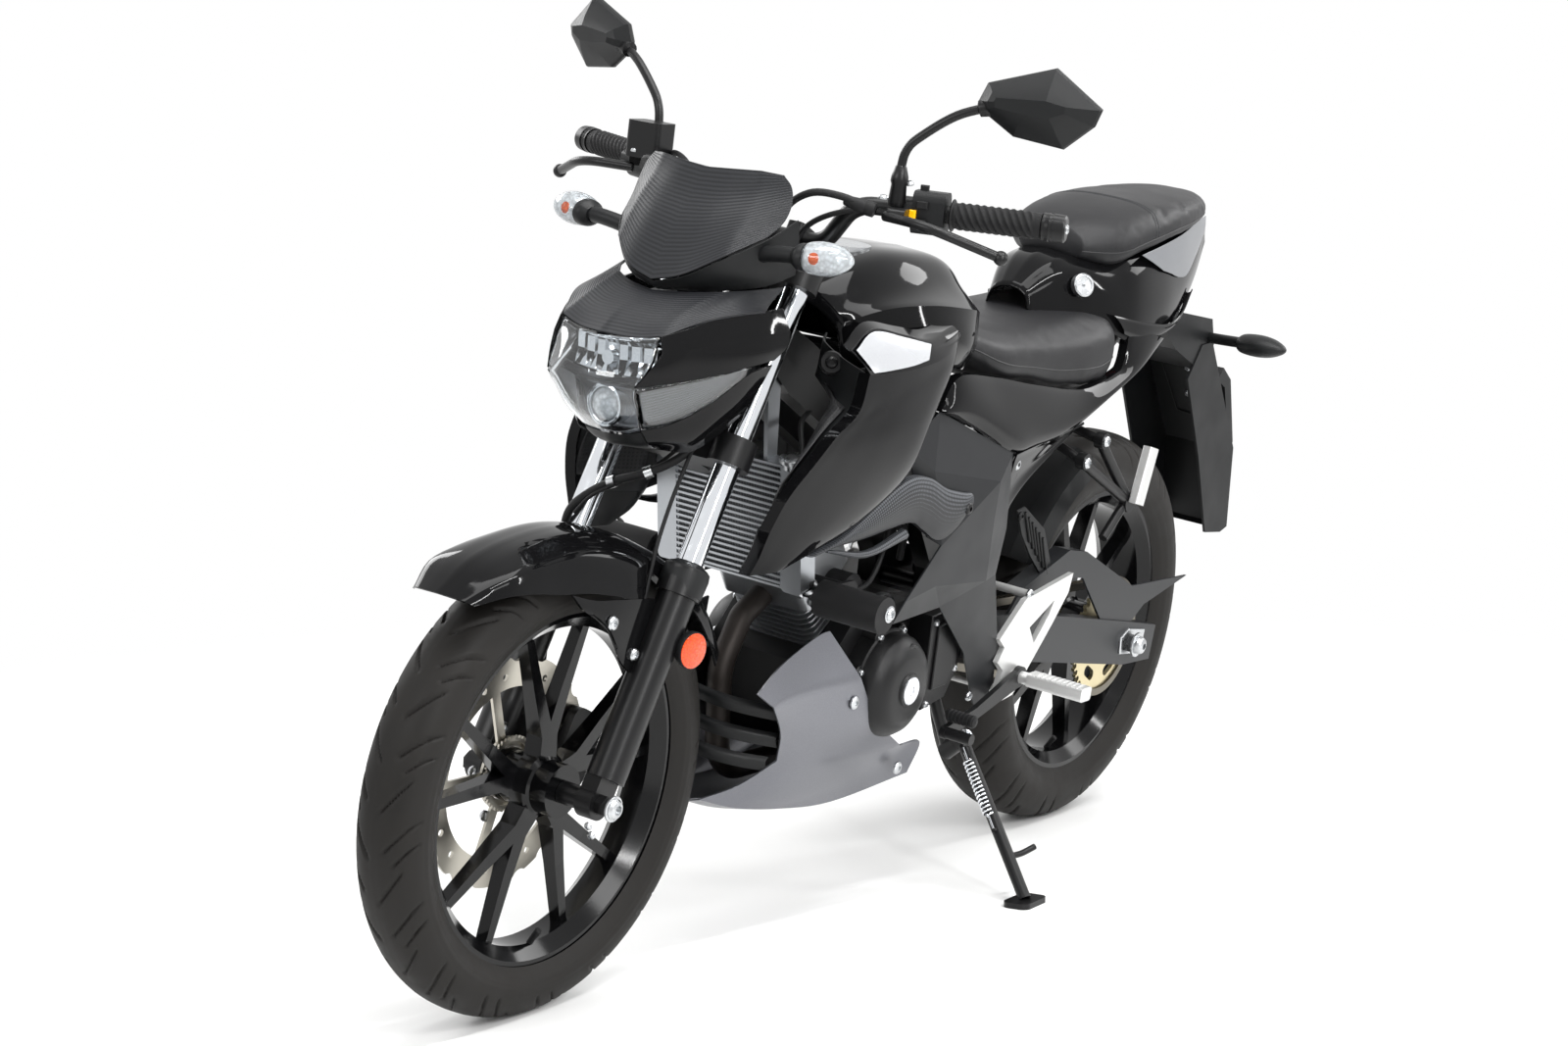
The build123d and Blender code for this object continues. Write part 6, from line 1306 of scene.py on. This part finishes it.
def stand_pieces():
    """Side stand: its return spring between the lug and the leg, the foot's tang, and the pivot bolt."""
    pivot, foot = np.array([-190.0, 112.0, 228.0]), np.array([-134.0, 276.3, 51.5])
    along = unit(foot - pivot)
    start = pivot + along * 14 + np.array([14.0, 2.0, 6.0])
    end = pivot + (foot - pivot) * 0.58 + np.array([12.0, 0.0, 3.0])
    run = end - start
    across = unit(np.cross(run, (1.0, 0.0, 0.0)))
    beside = np.cross(unit(run), across)
    turns = 15
    coils = np.linspace(0, 1, turns * 14)[:, None]
    spread = np.clip(np.minimum(coils, 1 - coils) / 0.04, 0, 1) * 6.5
    helix = (start + run * (0.16 + 0.68 * coils) + spread * np.cos(2 * np.pi * turns * coils) * across
             + spread * np.sin(2 * np.pi * turns * coils) * beside)
    path = np.concatenate([[start], helix, [end]])
    shape = Shape()
    shape.grid(tube_grid(path, 1.5, 7), closed_columns=True, caps=True)
    bolt(shape, pivot + np.array([1.8, 7.0, 6.9]), (0.176, 0.704, 0.688), 10, 6, 4)
    made_piece("stand_spring", shape, "chrome", "side_stand")
    shape = Shape()
    for spot in (start, end):
        tube(shape, [spot + (-14, 0, -2), spot + (-6, 0, -1), spot + (2, 0, 0)], 3.2, 10, 4)
    tang = pivot + (foot - pivot) * 0.74
    tube(shape, [tang, tang + (-22, 8, 2), tang + (-44, 16, 10)], 4.4, 12, 5)
    made_piece("stand_tang", shape, "black", "side_stand")


# ---------------------------------------------------------------- lights and controls
def pod(shape, root, outward, length, tall, deep, profile, sides=28):
    """A pod on an elliptical section, deep fore and aft and tall upward, that follows a (share, size) profile."""
    outward = unit(outward)
    fore = unit(np.array([1.0, 0.0, 0.0]) - outward * outward[0])
    up = np.cross(fore, outward)
    profile = smooth_line(profile, 4)
    turn = np.linspace(0, 2 * np.pi, sides, endpoint=False)[None, :, None]
    middle = np.asarray(root, float) + profile[:, 0, None, None] * length * outward
    size = profile[:, 1, None, None]
    points = middle + size * (deep * np.cos(turn) * fore + tall * np.sin(turn) * up)
    shape.grid(points[:, ::-1] if np.dot(np.cross(fore, up), outward) > 0 else points, closed_columns=True,
               caps=True)
    return shape


POD = [(0.0, 0.55), (0.06, 0.86), (0.25, 1.0), (0.5, 1.0), (0.72, 0.82), (0.9, 0.48), (0.98, 0.2), (1.0, 0.03)]


def indicator_pieces():
    """Indicators: black stems, clear prism-backed pods with amber bulbs in front, black leaf-shaped pods behind."""
    shape = Shape()
    for side in (1, -1):
        tube(shape, [(446, side * 66, 920), (458, side * 100, 940), (463, side * 132, 947), (464, side * 162, 949)],
             10.0, 16)
        pod(shape, (464, side * 152, 948), (-0.22, side, 0.04), 16, 17, 22, [(0, 0.6), (0.5, 0.95), (1, 1.0)])
    made_piece("indicator_stems", shape, "grained", "steering")
    shape = Shape()
    for side in (1, -1):
        pod(shape, (460, side * 165, 949), (-0.25, side, 0.05), 62, 20, 25, POD)
    made_piece("indicator_lenses", shape, "lens", "steering", ("front_indicators",))
    shape = Shape()
    for side in (1, -1):
        pod(shape, (459, side * 167, 949), (-0.25, side, 0.05), 56, 17.5, 21, POD)
    made_piece("indicator_backs", shape, "frost", "steering")
    shape = Shape()
    for side in (1, -1):
        pod(shape, (462, side * 176, 950), (-0.25, side, 0.05), 26, 12, 17, POD)
    made_piece("indicator_bulbs", shape, "bulb", "steering")
    shape = Shape()
    for side in (1, -1):
        tube(shape, [(-905, side * 60, 752), (-900, side * 90, 754), (-892, side * 126, 757)], 8.5, 16)
        pod(shape, (-890, side * 122, 757), (0.16, side, 0.05), 82, 17, 25, POD)
    made_piece("rear_indicator_pods", shape, "grained", "chassis", ("rear_indicators",))
    shape = Shape()
    for side in (1, -1):
        pod(shape, (-898, side * 134, 758), (0.18, side, 0.05), 56, 12.5, 20, POD)
    made_piece("rear_indicator_lenses", shape, "bulb", "chassis")


def reflector_pieces():
    """Round orange reflectors on the fork legs, in a black rim, and dust caps on the sliders."""
    rim, lens = Shape(), Shape()
    for side in (1, -1):
        at = (533, side * 116, 467)
        turned(rim, [(-8, 18), (0, 23), (6, 23.5), (8, 22.8), (8, 21.5)], at, (0.1, side, 0), 40)
        turned(lens, [(5, 21.8), (8.6, 21.8), (9.2, 20.5), (9.2, 0.01)], at, (0.1, side, 0), 40)
        turned(rim, [(-4, 6), (6, 6), (7, 0.01)], (533, side * 108, 467), (0, side, 0), 16)
    made_piece("reflector_rims", rim, "grained", "steering")
    made_piece("reflectors", lens, "reflector", "steering")
    shape = Shape()
    axis = standing_turn().T @ unit(JOINTS["steering_turn"]["axis"])
    for side in (1, -1):
        top = np.array([518.0, side * 90.0, 557.5])
        turned(shape, [(-34, 25), (-30, 28.5), (-6, 29.5), (2, 28), (5, 24), (7, 19.5), (9, 17.2)], top, axis, 40)
    made_piece("slider_caps", shape, "grained", "steering")


GRIP_ALONG = np.array([-0.354, 0.935, 0.023])   # direction of the left grip, towards its end


def grip_pieces():
    """Handlebar ends: patterned grips, turned bar ends, and the bolts of bar and clamps."""
    grip, ends, screws = Shape(), Shape(), Shape()
    length, core, raised, flange = 112, 15.6, 1.3, 4.5      # of a grip's sleeve, in mm
    for side in (1, -1):
        outward = GRIP_ALONG * (1, side, 1)
        root = np.array([270.6, side * 241.1, 1006.8])
        fore = unit(np.cross(outward, (0.0, 0.0, 1.0)))
        up = np.cross(fore, outward)
        s = np.linspace(0, length, 90)[:, None]
        angle = np.linspace(0, 2 * np.pi, 72, endpoint=False)[None, :]
        lines = np.abs(((s / 9.0 + angle * 6 / (2 * np.pi)) % 1.0) - 0.5) * 2
        pattern = (np.clip((lines - 0.45) * 3, 0, 1)
                   * np.clip((s - 8) / 3, 0, 1) * np.clip((length - 8 - s) / 3, 0, 1))
        radius = core + raised * pattern + flange * np.clip(1 - np.abs(s - 2.5) / 2.5, 0, 1) ** 0.4
        points = (root + s[:, :, None] * outward + radius[:, :, None] * (np.cos(angle)[:, :, None] * fore
                  + np.sin(angle)[:, :, None] * up))
        grip.grid(points if side > 0 else points[:, ::-1], closed_columns=True, caps=True)
        tip = np.array([230.2, side * 348.0, 1009.4])
        turned(ends, [(0, 13), (1, 16.5), (7, 17.2), (8, 14.5), (11, 14.5), (12, 17.4), (26, 16.6), (28, 14),
                      (28, 6), (26, 5.5), (26, 0.01)], tip, outward, 36)
    made_piece("grip_sleeves", grip, "rubber", "steering", ("grips",))
    made_piece("bar_ends", ends, "black", "steering")
    for side in (1, -1):
        bolt(screws, (220.6, side * 373.2, 1010), GRIP_ALONG * (1, side, 1), 6.2, 4, 3)
        bolt(screws, (300.5, side * 196, 1038), (0.3, 0, 1), 5, 4, 2.5)
    for side in (1, -1):
        bolt(screws, (346, side * 190, 1021), (0, 0, 1), 6.5, 4, 3)
    made_piece("bar_bolts", screws, "zinc", "steering")


def switch_pieces():
    """Left switches, which face forward to the rider's thumb and finger, with a yellow hazard button."""
    shape = Shape()
    outward = unit(GRIP_ALONG)
    fore = unit(np.cross(outward, (0.0, 0.0, 1.0)))
    up = np.cross(fore, outward)

    def switch(at, wide, tall, high, target):
        corners = np.array([(-wide, -tall), (wide, -tall), (wide, tall), (-wide, tall)], float) / 2
        rings = [[at + outward * a * k + up * b * k + fore * h for a, b in corners] for h, k in
                 ((-3, 1.0), (high - 1, 1.0), (high, 0.82))]
        target.grid(np.array(rings)[:, ::-1], closed_columns=True, caps=True)

    middle = np.array([284.8, 203.7, 1006.0])
    switch(middle + fore * 21 + outward * -6 + up * -2, 15, 10, 6, shape)
    made_piece("hazard_button", shape, "yellow", "steering")
    shape = Shape()
    switch(middle + fore * 21 + outward * 8 + up * 10, 14, 9, 5, shape)
    switch(middle + fore * 21 + outward * 9 + up * -12, 12, 9, 8, shape)
    switch(middle + up * 24 + outward * 4 - fore * 4, 10, 16, 5, shape)
    made_piece("switch_keys", shape, "rubber", "steering")


def cable_pieces():
    """Cords on the fork: clutch cable with its boot, throttle cable, switch leads, brake hose and two wires."""
    shape = Shape()
    tube(shape, [(348, 172, 1006), (368, 146, 1016), (382, 112, 1016), (386, 82, 996), (380, 62, 960),
                 (366, 48, 916), (352, 40, 872)], 4.6, 12)
    turned(shape, [(0, 5), (2, 9), (10, 9.5), (14, 8), (18, 9), (30, 7.5), (40, 6), (41, 4.5)], (346, 182, 1004),
           (0.4, -0.9, 0.2), 20)
    tube(shape, [(346, -176, 1004), (372, -150, 1018), (388, -112, 1014), (392, -76, 986), (384, -52, 936),
                 (364, -36, 880)], 4.6, 12)
    tube(shape, [(292, -170, 1014), (330, -140, 1026), (356, -100, 1020), (366, -64, 986), (352, -40, 930)],
         3.6, 10)
    tube(shape, [(292, 180, 998), (318, 150, 1000), (334, 110, 988), (336, 76, 966), (330, 52, 930)], 3.6, 10)
    made_piece("bar_cables", shape, "rubber", "steering")
    shape = Shape()
    tube(shape, [(452, 52, 760), (470, 60, 724), (500, 52, 690), (524, 20, 664), (536, -24, 644), (540, -62, 618),
                 (534, -88, 590), (520, -104, 540), (520, -110, 470), (534, -104, 400), (548, -86, 370)], 5.4, 12)
    tube(shape, [(450, 30, 742), (474, 34, 704), (508, 22, 674), (532, -6, 650), (546, -44, 624), (552, -64, 598)],
         2.4, 8)
    tube(shape, [(482, 58, 716), (506, 60, 676), (532, 62, 628), (556, 66, 570), (584, 76, 480), (608, 90, 390),
                 (622, 96, 330)], 2.6, 8)
    made_piece("brake_hose", shape, "rubber", "steering")
    shape = Shape()
    for at, along in (((536, -24, 644), (0.2, -1, -0.5)), ((524, 20, 664), (0.5, -0.8, -0.5)),
                      ((520, -108, 500), (0, 0, 1))):
        turned(shape, [(-5, 7.6), (5, 7.6), (5, 5), (-5, 5)], at, along, 18)
    made_piece("hose_clips", shape, "zinc", "steering")


def mirror_pieces():
    """Mirrors: a stem with its boot, a kite-shaped shell whose facets meet along a ridge, and the glass behind."""
    outline = np.array([(-75, -2), (-66, 20), (15, 48), (75, 6), (68, -15), (34, -47), (-29, -40), (-72, -13)],
                       float)
    ridge = np.array([(-52, 3), (-50, 8), (10, 12), (34, 8), (34, 0), (16, -8), (-14, -8), (-50, -4)], float)
    shells, stems, glass = Shape(), Shape(), Shape()
    face, level = unit((0.94, 0.34, -0.12)), np.array([-0.34, 0.94, 0.0])
    rise = np.cross(face, level)
    middle = np.array([253.0, 335.0, 1152.0])

    def ring(flat, deep):
        return middle + flat[:, :1] * level + flat[:, 1:] * rise + face * deep

    shells.grid([ring(outline * 0.94, -2.5), ring(outline * 0.96, -4), ring(outline, -1), ring(outline, 3),
                 ring(outline * 0.96, 6.5), ring(outline * 0.4 + ridge * 0.6, 20), ring(ridge, 27)],
                closed_columns=True, caps=True)
    glass.grid([ring(outline * 0.93, -3.6), ring(outline * 0.91, -4.2), ring(outline * 0.02, -4.2)],
               closed_columns=True)
    glass.faces = [face_corners[::-1] for face_corners in glass.faces]
    stems.grid(tube_grid(smooth_line([(309, 186, 1010), (309, 186, 1056), (308, 191, 1080), (303, 206, 1098),
                                      (290, 244, 1128), (272, 286, 1146)], 6), 5.6, 16), closed_columns=True,
               caps=True)
    turned(stems, [(0, 10), (6, 11), (26, 9.5), (30, 11), (36, 10.5), (48, 7), (50, 5)], (309, 186, 1010),
           (0, 0, 1), 28)
    turned(stems, [(0, 5), (2, 10), (16, 12), (30, 9), (31, 0.01)], (281, 266, 1139), (-0.4, 0.86, 0.3), 28)
    for shape in (shells, stems, glass):
        shape.both_sides()
    made_piece("mirror_shells", shells, "grained", "steering", (), 13.0)
    made_piece("mirror_stems", stems, "black", "steering", ("mirrors",))
    made_piece("mirror_glass", glass, "mirror", "steering")


def plate_pieces():
    """Mudflap: three silver screws and a raised panel on it, and the plate bracket's screws."""
    out = unit((185.0, 0.0, -145.0))
    shape = Shape()
    for x, y, z in ((-941, -22, 699), (-947, 12, 692), (-985, 2, 645)):
        bolt(shape, np.array([x, y, z]) + out, out, 6, 4, 3)
    made_piece("flap_screws", shape, "zinc", "chassis")
    shape = Shape()
    for y in (-40, 40):
        tube(shape, [(-918, y, 727), (-960, y * 0.8, 674), (-1010, y * 0.62, 611)], 1.6, 8, 4)
    tube(shape, [(-1010, 25, 611), (-1012, 0, 608), (-1010, -25, 611)], 1.6, 8, 4)
    made_piece("flap_ribs", shape, "grained", "chassis")
    shape = Shape()
    for y in (-24, 24):
        for x, z in ((-1074, 650), (-1100, 592)):
            bolt(shape, (x, y, z), (-0.914, 0, 0.406), 5, 3, 2.5)
    made_piece("plate_screws", shape, "zinc", "chassis")


def foot_pieces():
    """Footrests: serrated treads on the pegs, a ribbed rubber on the gear lever, and bracket bolts."""
    shape = Shape()
    for side in (1, -1):
        for k in range(9):
            y = side * (196 + 8 * k)
            tube(shape, [(-222, y, 336), (-236, y, 338.5), (-250, y, 336)], 1.7, 6, 3)
    made_piece("peg_serrations", shape, "bracket", "chassis")
    shape = Shape()
    for side in (1, -1):
        bolt(shape, (-206, side * 148.5, 308), (0, side, 0), 8, 5, 4)
        bolt(shape, (-256, side * 148.5, 440), (0, side, 0), 8, 5, 4)
        bolt(shape, (-343, side * 162.5, 625), (0, side, 0), 8, 5, 3.6)
        bolt(shape, (-393, side * 162.5, 652), (0, side, 0), 8, 5, 3.6)
    made_piece("bracket_bolts", shape, "zinc", "chassis")
    shape = Shape()
    for side in (1, -1):
        profile = [(0, 7)]
        for k in range(7):
            profile += [(3 + 6 * k, 9.2), (6 + 6 * k, 9.2), (7 + 6 * k, 7.6), (8 + 6 * k, 7.6)]
        profile += [(46, 0.01)]
        turned(shape, profile, (-52, side * 158, 300), (0, side, 0), 20)
    made_piece("pedal_rubbers", shape, "rubber", "chassis")


# ---------------------------------------------------------------- stage
# the camera stands here from the rear axle, in metres, with its angles in degrees
CAMERA = {"from_axle": (4.16813, 2.246032, 0.771997), "yaw": -146.563, "down": 7.447, "roll": 0.071, "lens": 70.78}


def aimed(thing, place, target):
    """Puts a lamp or the camera at a place and turns it to face a target."""
    bpy.context.scene.collection.objects.link(thing)
    thing.location = place
    thing.rotation_mode = "QUATERNION"
    thing.rotation_quaternion = (Vector(target) - Vector(place)).to_track_quat("-Z", "Y")
    return thing


def seen_rays(tree):
    """One for rays that the eye sees straight, in a gloss or through glass, else nought."""
    path = node(tree, "LightPath")
    seen = node(tree, "Math", [(0, path, "Is Camera Ray"), (1, path, "Is Glossy Ray")], operation="MAXIMUM")
    return node(tree, "Math", [(0, seen, "Value"), (1, path, "Is Transmission Ray")], operation="MAXIMUM")


def stage_pieces():
    """Camera, soft lights, world and a pale floor that takes the machine's shadow."""
    scene = bpy.context.scene
    lens = bpy.data.cameras.new("camera")
    lens.lens, lens.sensor_width, lens.clip_end = CAMERA["lens"], 36.0, 60.0
    yaw, down, roll = (math.radians(CAMERA[key]) for key in ("yaw", "down", "roll"))
    look = Vector((math.cos(yaw) * math.cos(down), math.sin(yaw) * math.cos(down), -math.sin(down)))
    place = Vector(JOINTS["rear_wheel_spin"]["pos_m"]) + Vector(CAMERA["from_axle"])
    camera = aimed(bpy.data.objects.new("camera", lens), place, place + look)
    camera.rotation_quaternion.rotate(Matrix.Rotation(roll, 3, look))
    scene.camera = camera

    # broad soft boxes light the floor and the matte parts; narrow strips draw thin lines along gloss edges
    for name, place, target, wide, tall, power in (
        ("left_softbox", (1.0, 3.6, 2.9), (0, 0, 0.5), 2.4, 0.9, 60),
        ("front_softbox", (4.2, -0.8, 2.4), (0, 0, 0.5), 2.0, 0.8, 45),
        ("right_softbox", (-0.5, -3.6, 2.6), (0, 0, 0.6), 2.4, 1.3, 60),
        ("rear_softbox", (-3.6, 1.6, 2.8), (0, 0, 0.6), 2.2, 1.2, 50),
        ("top_softbox", (0.2, 0.3, 4.2), (0, 0, 0.4), 3.0, 1.6, 90),
        ("left_strip", (2.2, 3.2, 1.9), (0, 0, 0.6), 0.1, 2.4, 60),
        ("rear_strip", (-1.8, 3.6, 2.0), (-0.4, 0, 0.6), 0.1, 2.2, 45),
        ("top_strip", (0.4, 1.5, 3.4), (0, 0, 0.7), 2.8, 0.1, 70),
    ):
        light = bpy.data.lights.new(name, "AREA")
        light.shape, light.size, light.size_y, light.energy = "RECTANGLE", wide, tall, power
        aimed(bpy.data.objects.new(name, light), place, target)

    world = bpy.data.worlds.new("studio")
    scene.world = world
    world.use_nodes = True
    tree = world.node_tree
    background = tree.nodes["Background"]
    shown = seen_rays(tree)
    strength = node(tree, "MapRange", [("Value", shown, "Value")])
    strength.inputs["To Min"].default_value, strength.inputs["To Max"].default_value = 0.55, 1.0
    background.inputs["Color"].default_value = colour("#ffffff")
    wire(strength, "Result", background, "Strength")

    floor_mesh = bpy.data.meshes.new("floor")
    half = 12.0
    floor_mesh.from_pydata([(-half, -half, 0), (half, -half, 0), (half, half, 0), (-half, half, 0)], [],
                           [(0, 1, 2, 3)])
    floor = bpy.data.objects.new("floor", floor_mesh)
    scene.collection.objects.link(floor)
    floor.data.materials.append(studio_floor())
    scene.view_settings.view_transform = "Standard"


FADE = (1.1, 2.6)                   # the floor turns from paint to light between these distances, in metres


def studio_floor():
    """Pale paint that turns to plain white light with distance, so the eye sees no horizon and keeps the shadow."""
    material, tree, shader = new_material("Pale painted floor", Base_Color=colour("#f4f4f3"), Roughness=0.5)
    place = node(tree, "TexCoord")
    wear = node(tree, "TexNoise", [("Vector", place, "Object")])
    wear.inputs["Scale"].default_value = 4.0
    tint = node(tree, "Mix", [("Factor", wear, "Fac")], data_type="RGBA")
    tint.inputs["A"].default_value, tint.inputs["B"].default_value = colour("#f6f6f5"), colour("#efefee")
    wire(tint, "Result", shader, "Base Color")
    reach = node(tree, "VectorMath", [(0, place, "Object")], operation="LENGTH")
    far = node(tree, "MapRange", [("Value", reach, "Value")], interpolation_type="SMOOTHSTEP")
    far.inputs["From Min"].default_value, far.inputs["From Max"].default_value = FADE
    shown = seen_rays(tree)
    white = node(tree, "Math", [(0, far, "Result"), (1, shown, "Value")], operation="MULTIPLY")
    glow = node(tree, "Emission")
    glow.inputs["Color"].default_value = colour("#ffffff")
    blend = node(tree, "MixShader", [("Fac", white, "Value"), (1, shader, "BSDF"), (2, glow, "Emission")])
    tree.links.new(blend.outputs["Shader"], tree.nodes["Material Output"].inputs["Surface"])
    return material


# ---------------------------------------------------------------- the add-on
class MotorcycleSizes(bpy.types.PropertyGroup):
    """Sizes a user would change."""

    seat_swell: FloatProperty(
        name="Seat swell", description="Furthest the seat covers bulge as cloth, in mm", default=5.0, min=0.0,
        max=12.0,
    )
    groove_depth: FloatProperty(
        name="Groove depth", description="Depth of the tyre grooves, in mm", default=3.6, min=0.5, max=5.0,
    )
    rib_pitch: FloatProperty(
        name="Rib pitch", description="Distance from rib to rib on the ribbed panels, in mm", default=5.0, min=3.0,
        max=20.0,
    )


class MotorcycleColours(bpy.types.PropertyGroup):
    """Colours a user would change."""

    body_paint: FloatVectorProperty(
        name="Body paint", description="Colour of the lacquered panels", subtype="COLOR", size=4,
        default=colour("#0a0a0b"), min=0.0, max=1.0,
    )
    pan_paint: FloatVectorProperty(
        name="Pan paint", description="Colour of the metallic belly pan", subtype="COLOR", size=4,
        default=colour("#55565b"), min=0.0, max=1.0,
    )
    seat_vinyl: FloatVectorProperty(
        name="Seat vinyl", description="Colour of the seat covers", subtype="COLOR", size=4,
        default=colour("#131315"), min=0.0, max=1.0,
    )


class MotorcycleStage(bpy.types.Operator):
    """Makes the camera, the lights, the world and the floor"""

    bl_idname = "motorcycle.stage"
    bl_label = "Stage"

    def execute(self, context):
        stage_pieces()
        return {"FINISHED"}


class MotorcycleMaterials(bpy.types.Operator):
    """Makes every finish"""

    bl_idname = "motorcycle.materials"
    bl_label = "Materials"

    def execute(self, context):
        make_materials(context.scene.motorcycle_sizes, context.scene.motorcycle_colours)
        return {"FINISHED"}


class MotorcycleNodes(bpy.types.Operator):
    """Puts a finish on the shown nodes of the frame"""

    bl_idname = "motorcycle.nodes"
    bl_label = "Frame finishes"

    def execute(self, context):
        finish_nodes()
        return {"FINISHED"}


class MotorcycleTankSides(bpy.types.Operator):
    """Makes the shrouds, the ducts behind them and the trims below"""

    bl_idname = "motorcycle.tank_sides"
    bl_label = "Tank sides"

    def execute(self, context):
        shroud_pieces()
        inner_duct_pieces()
        trim_pieces()
        return {"FINISHED"}


class MotorcycleCovers(bpy.types.Operator):
    """Makes the faceted covers and gloss flanks"""

    bl_idname = "motorcycle.covers"
    bl_label = "Frame covers"

    def execute(self, context):
        frame_cover_pieces()
        return {"FINISHED"}


class MotorcycleTank(bpy.types.Operator):
    """Makes the tank's skin"""

    bl_idname = "motorcycle.tank"
    bl_label = "Fuel tank"

    def execute(self, context):
        tank_piece()
        return {"FINISHED"}


class MotorcycleSeats(bpy.types.Operator):
    """Makes the rider's and the pillion's cushions"""

    bl_idname = "motorcycle.seats"
    bl_label = "Seats"

    def execute(self, context):
        seat_pieces(context.scene.motorcycle_sizes)
        return {"FINISHED"}


class MotorcycleTail(bpy.types.Operator):
    """Makes the tail's shell, insets and lock"""

    bl_idname = "motorcycle.tail"
    bl_label = "Tail"

    def execute(self, context):
        tail_pieces()
        return {"FINISHED"}


class MotorcycleNose(bpy.types.Operator):
    """Makes the cowl, the fly screen and the headlight"""

    bl_idname = "motorcycle.nose"
    bl_label = "Nose"

    def execute(self, context):
        cowl_pieces()
        screen_pieces()
        headlight_pieces()
        return {"FINISHED"}


class MotorcycleMudguard(bpy.types.Operator):
    """Makes the mudguard, its tabs and bolts"""

    bl_idname = "motorcycle.mudguard"
    bl_label = "Front mudguard"

    def execute(self, context):
        mudguard_pieces()
        return {"FINISHED"}


class MotorcyclePan(bpy.types.Operator):
    """Makes the pan, its vanes and bolts"""

    bl_idname = "motorcycle.pan"
    bl_label = "Belly pan"

    def execute(self, context):
        pan_pieces()
        return {"FINISHED"}


class MotorcycleEngine(bpy.types.Operator):
    """Makes the covers, their screws, the fittings above and the radiator's parts"""

    bl_idname = "motorcycle.engine"
    bl_label = "Engine"

    def execute(self, context):
        engine_pieces()
        radiator_pieces()
        return {"FINISHED"}


class MotorcycleWheels(bpy.types.Operator):
    """Makes the speed rings, valves and axle ends"""

    bl_idname = "motorcycle.wheels"
    bl_label = "Wheel fittings"

    def execute(self, context):
        wheel_pieces()
        return {"FINISHED"}


class MotorcycleStand(bpy.types.Operator):
    """Makes the stand's spring and tang"""

    bl_idname = "motorcycle.stand"
    bl_label = "Side stand"

    def execute(self, context):
        stand_pieces()
        return {"FINISHED"}


class MotorcycleLights(bpy.types.Operator):
    """Makes the four indicators and the fork's reflectors"""

    bl_idname = "motorcycle.lights"
    bl_label = "Small lights"

    def execute(self, context):
        indicator_pieces()
        reflector_pieces()
        return {"FINISHED"}


class MotorcycleControls(bpy.types.Operator):
    """Makes the grips, switches, cables and mirrors"""

    bl_idname = "motorcycle.controls"
    bl_label = "Controls"

    def execute(self, context):
        grip_pieces()
        switch_pieces()
        cable_pieces()
        mirror_pieces()
        return {"FINISHED"}


class MotorcycleSmall(bpy.types.Operator):
    """Makes the screws and ribs of the plate carrier and the footrests"""

    bl_idname = "motorcycle.small"
    bl_label = "Carrier and footrests"

    def execute(self, context):
        plate_pieces()
        foot_pieces()
        return {"FINISHED"}


class MotorcycleTyres(bpy.types.Operator):
    """Makes both tyres with their grooves"""

    bl_idname = "motorcycle.tyres"
    bl_label = "Tyres"

    def execute(self, context):
        tyre_pieces(context.scene.motorcycle_sizes)
        return {"FINISHED"}


OPERATORS = [
    MotorcycleStage, MotorcycleMaterials, MotorcycleNodes, MotorcycleTankSides, MotorcycleCovers,
    MotorcycleTank, MotorcycleSeats, MotorcycleTail, MotorcycleNose, MotorcycleMudguard, MotorcyclePan,
    MotorcycleEngine, MotorcycleWheels, MotorcycleStand, MotorcycleLights, MotorcycleControls,
    MotorcycleSmall, MotorcycleTyres,
]


class MotorcyclePanel(bpy.types.Panel):
    """Lists the sizes, the colours and the operators in the 3D view's sidebar."""

    bl_idname = "MOTORCYCLE_PT_build"
    bl_label = "Motorcycle"
    bl_space_type = "VIEW_3D"
    bl_region_type = "UI"
    bl_category = "Motorcycle"

    def draw(self, context):
        for group in (context.scene.motorcycle_sizes, context.scene.motorcycle_colours):
            for key in group.bl_rna.properties.keys():
                if key not in ("rna_type", "name"):
                    self.layout.prop(group, key)
        for made in OPERATORS:
            self.layout.operator(made.bl_idname)


CLASSES = [MotorcycleSizes, MotorcycleColours, *OPERATORS, MotorcyclePanel]


def register():
    """Registers the classes and puts the sizes and colours on the scene."""
    for made in CLASSES:
        bpy.utils.register_class(made)
    bpy.types.Scene.motorcycle_sizes = PointerProperty(type=MotorcycleSizes)
    bpy.types.Scene.motorcycle_colours = PointerProperty(type=MotorcycleColours)


def unregister():
    """Takes them all away again."""
    del bpy.types.Scene.motorcycle_colours
    del bpy.types.Scene.motorcycle_sizes
    for made in reversed(CLASSES):
        bpy.utils.unregister_class(made)


def main():
    """Builds everything in order."""
    register()
    for made in OPERATORS:
        category, name = made.bl_idname.split(".")
        getattr(getattr(bpy.ops, category), name)()


if __name__ == "__main__":
    main()
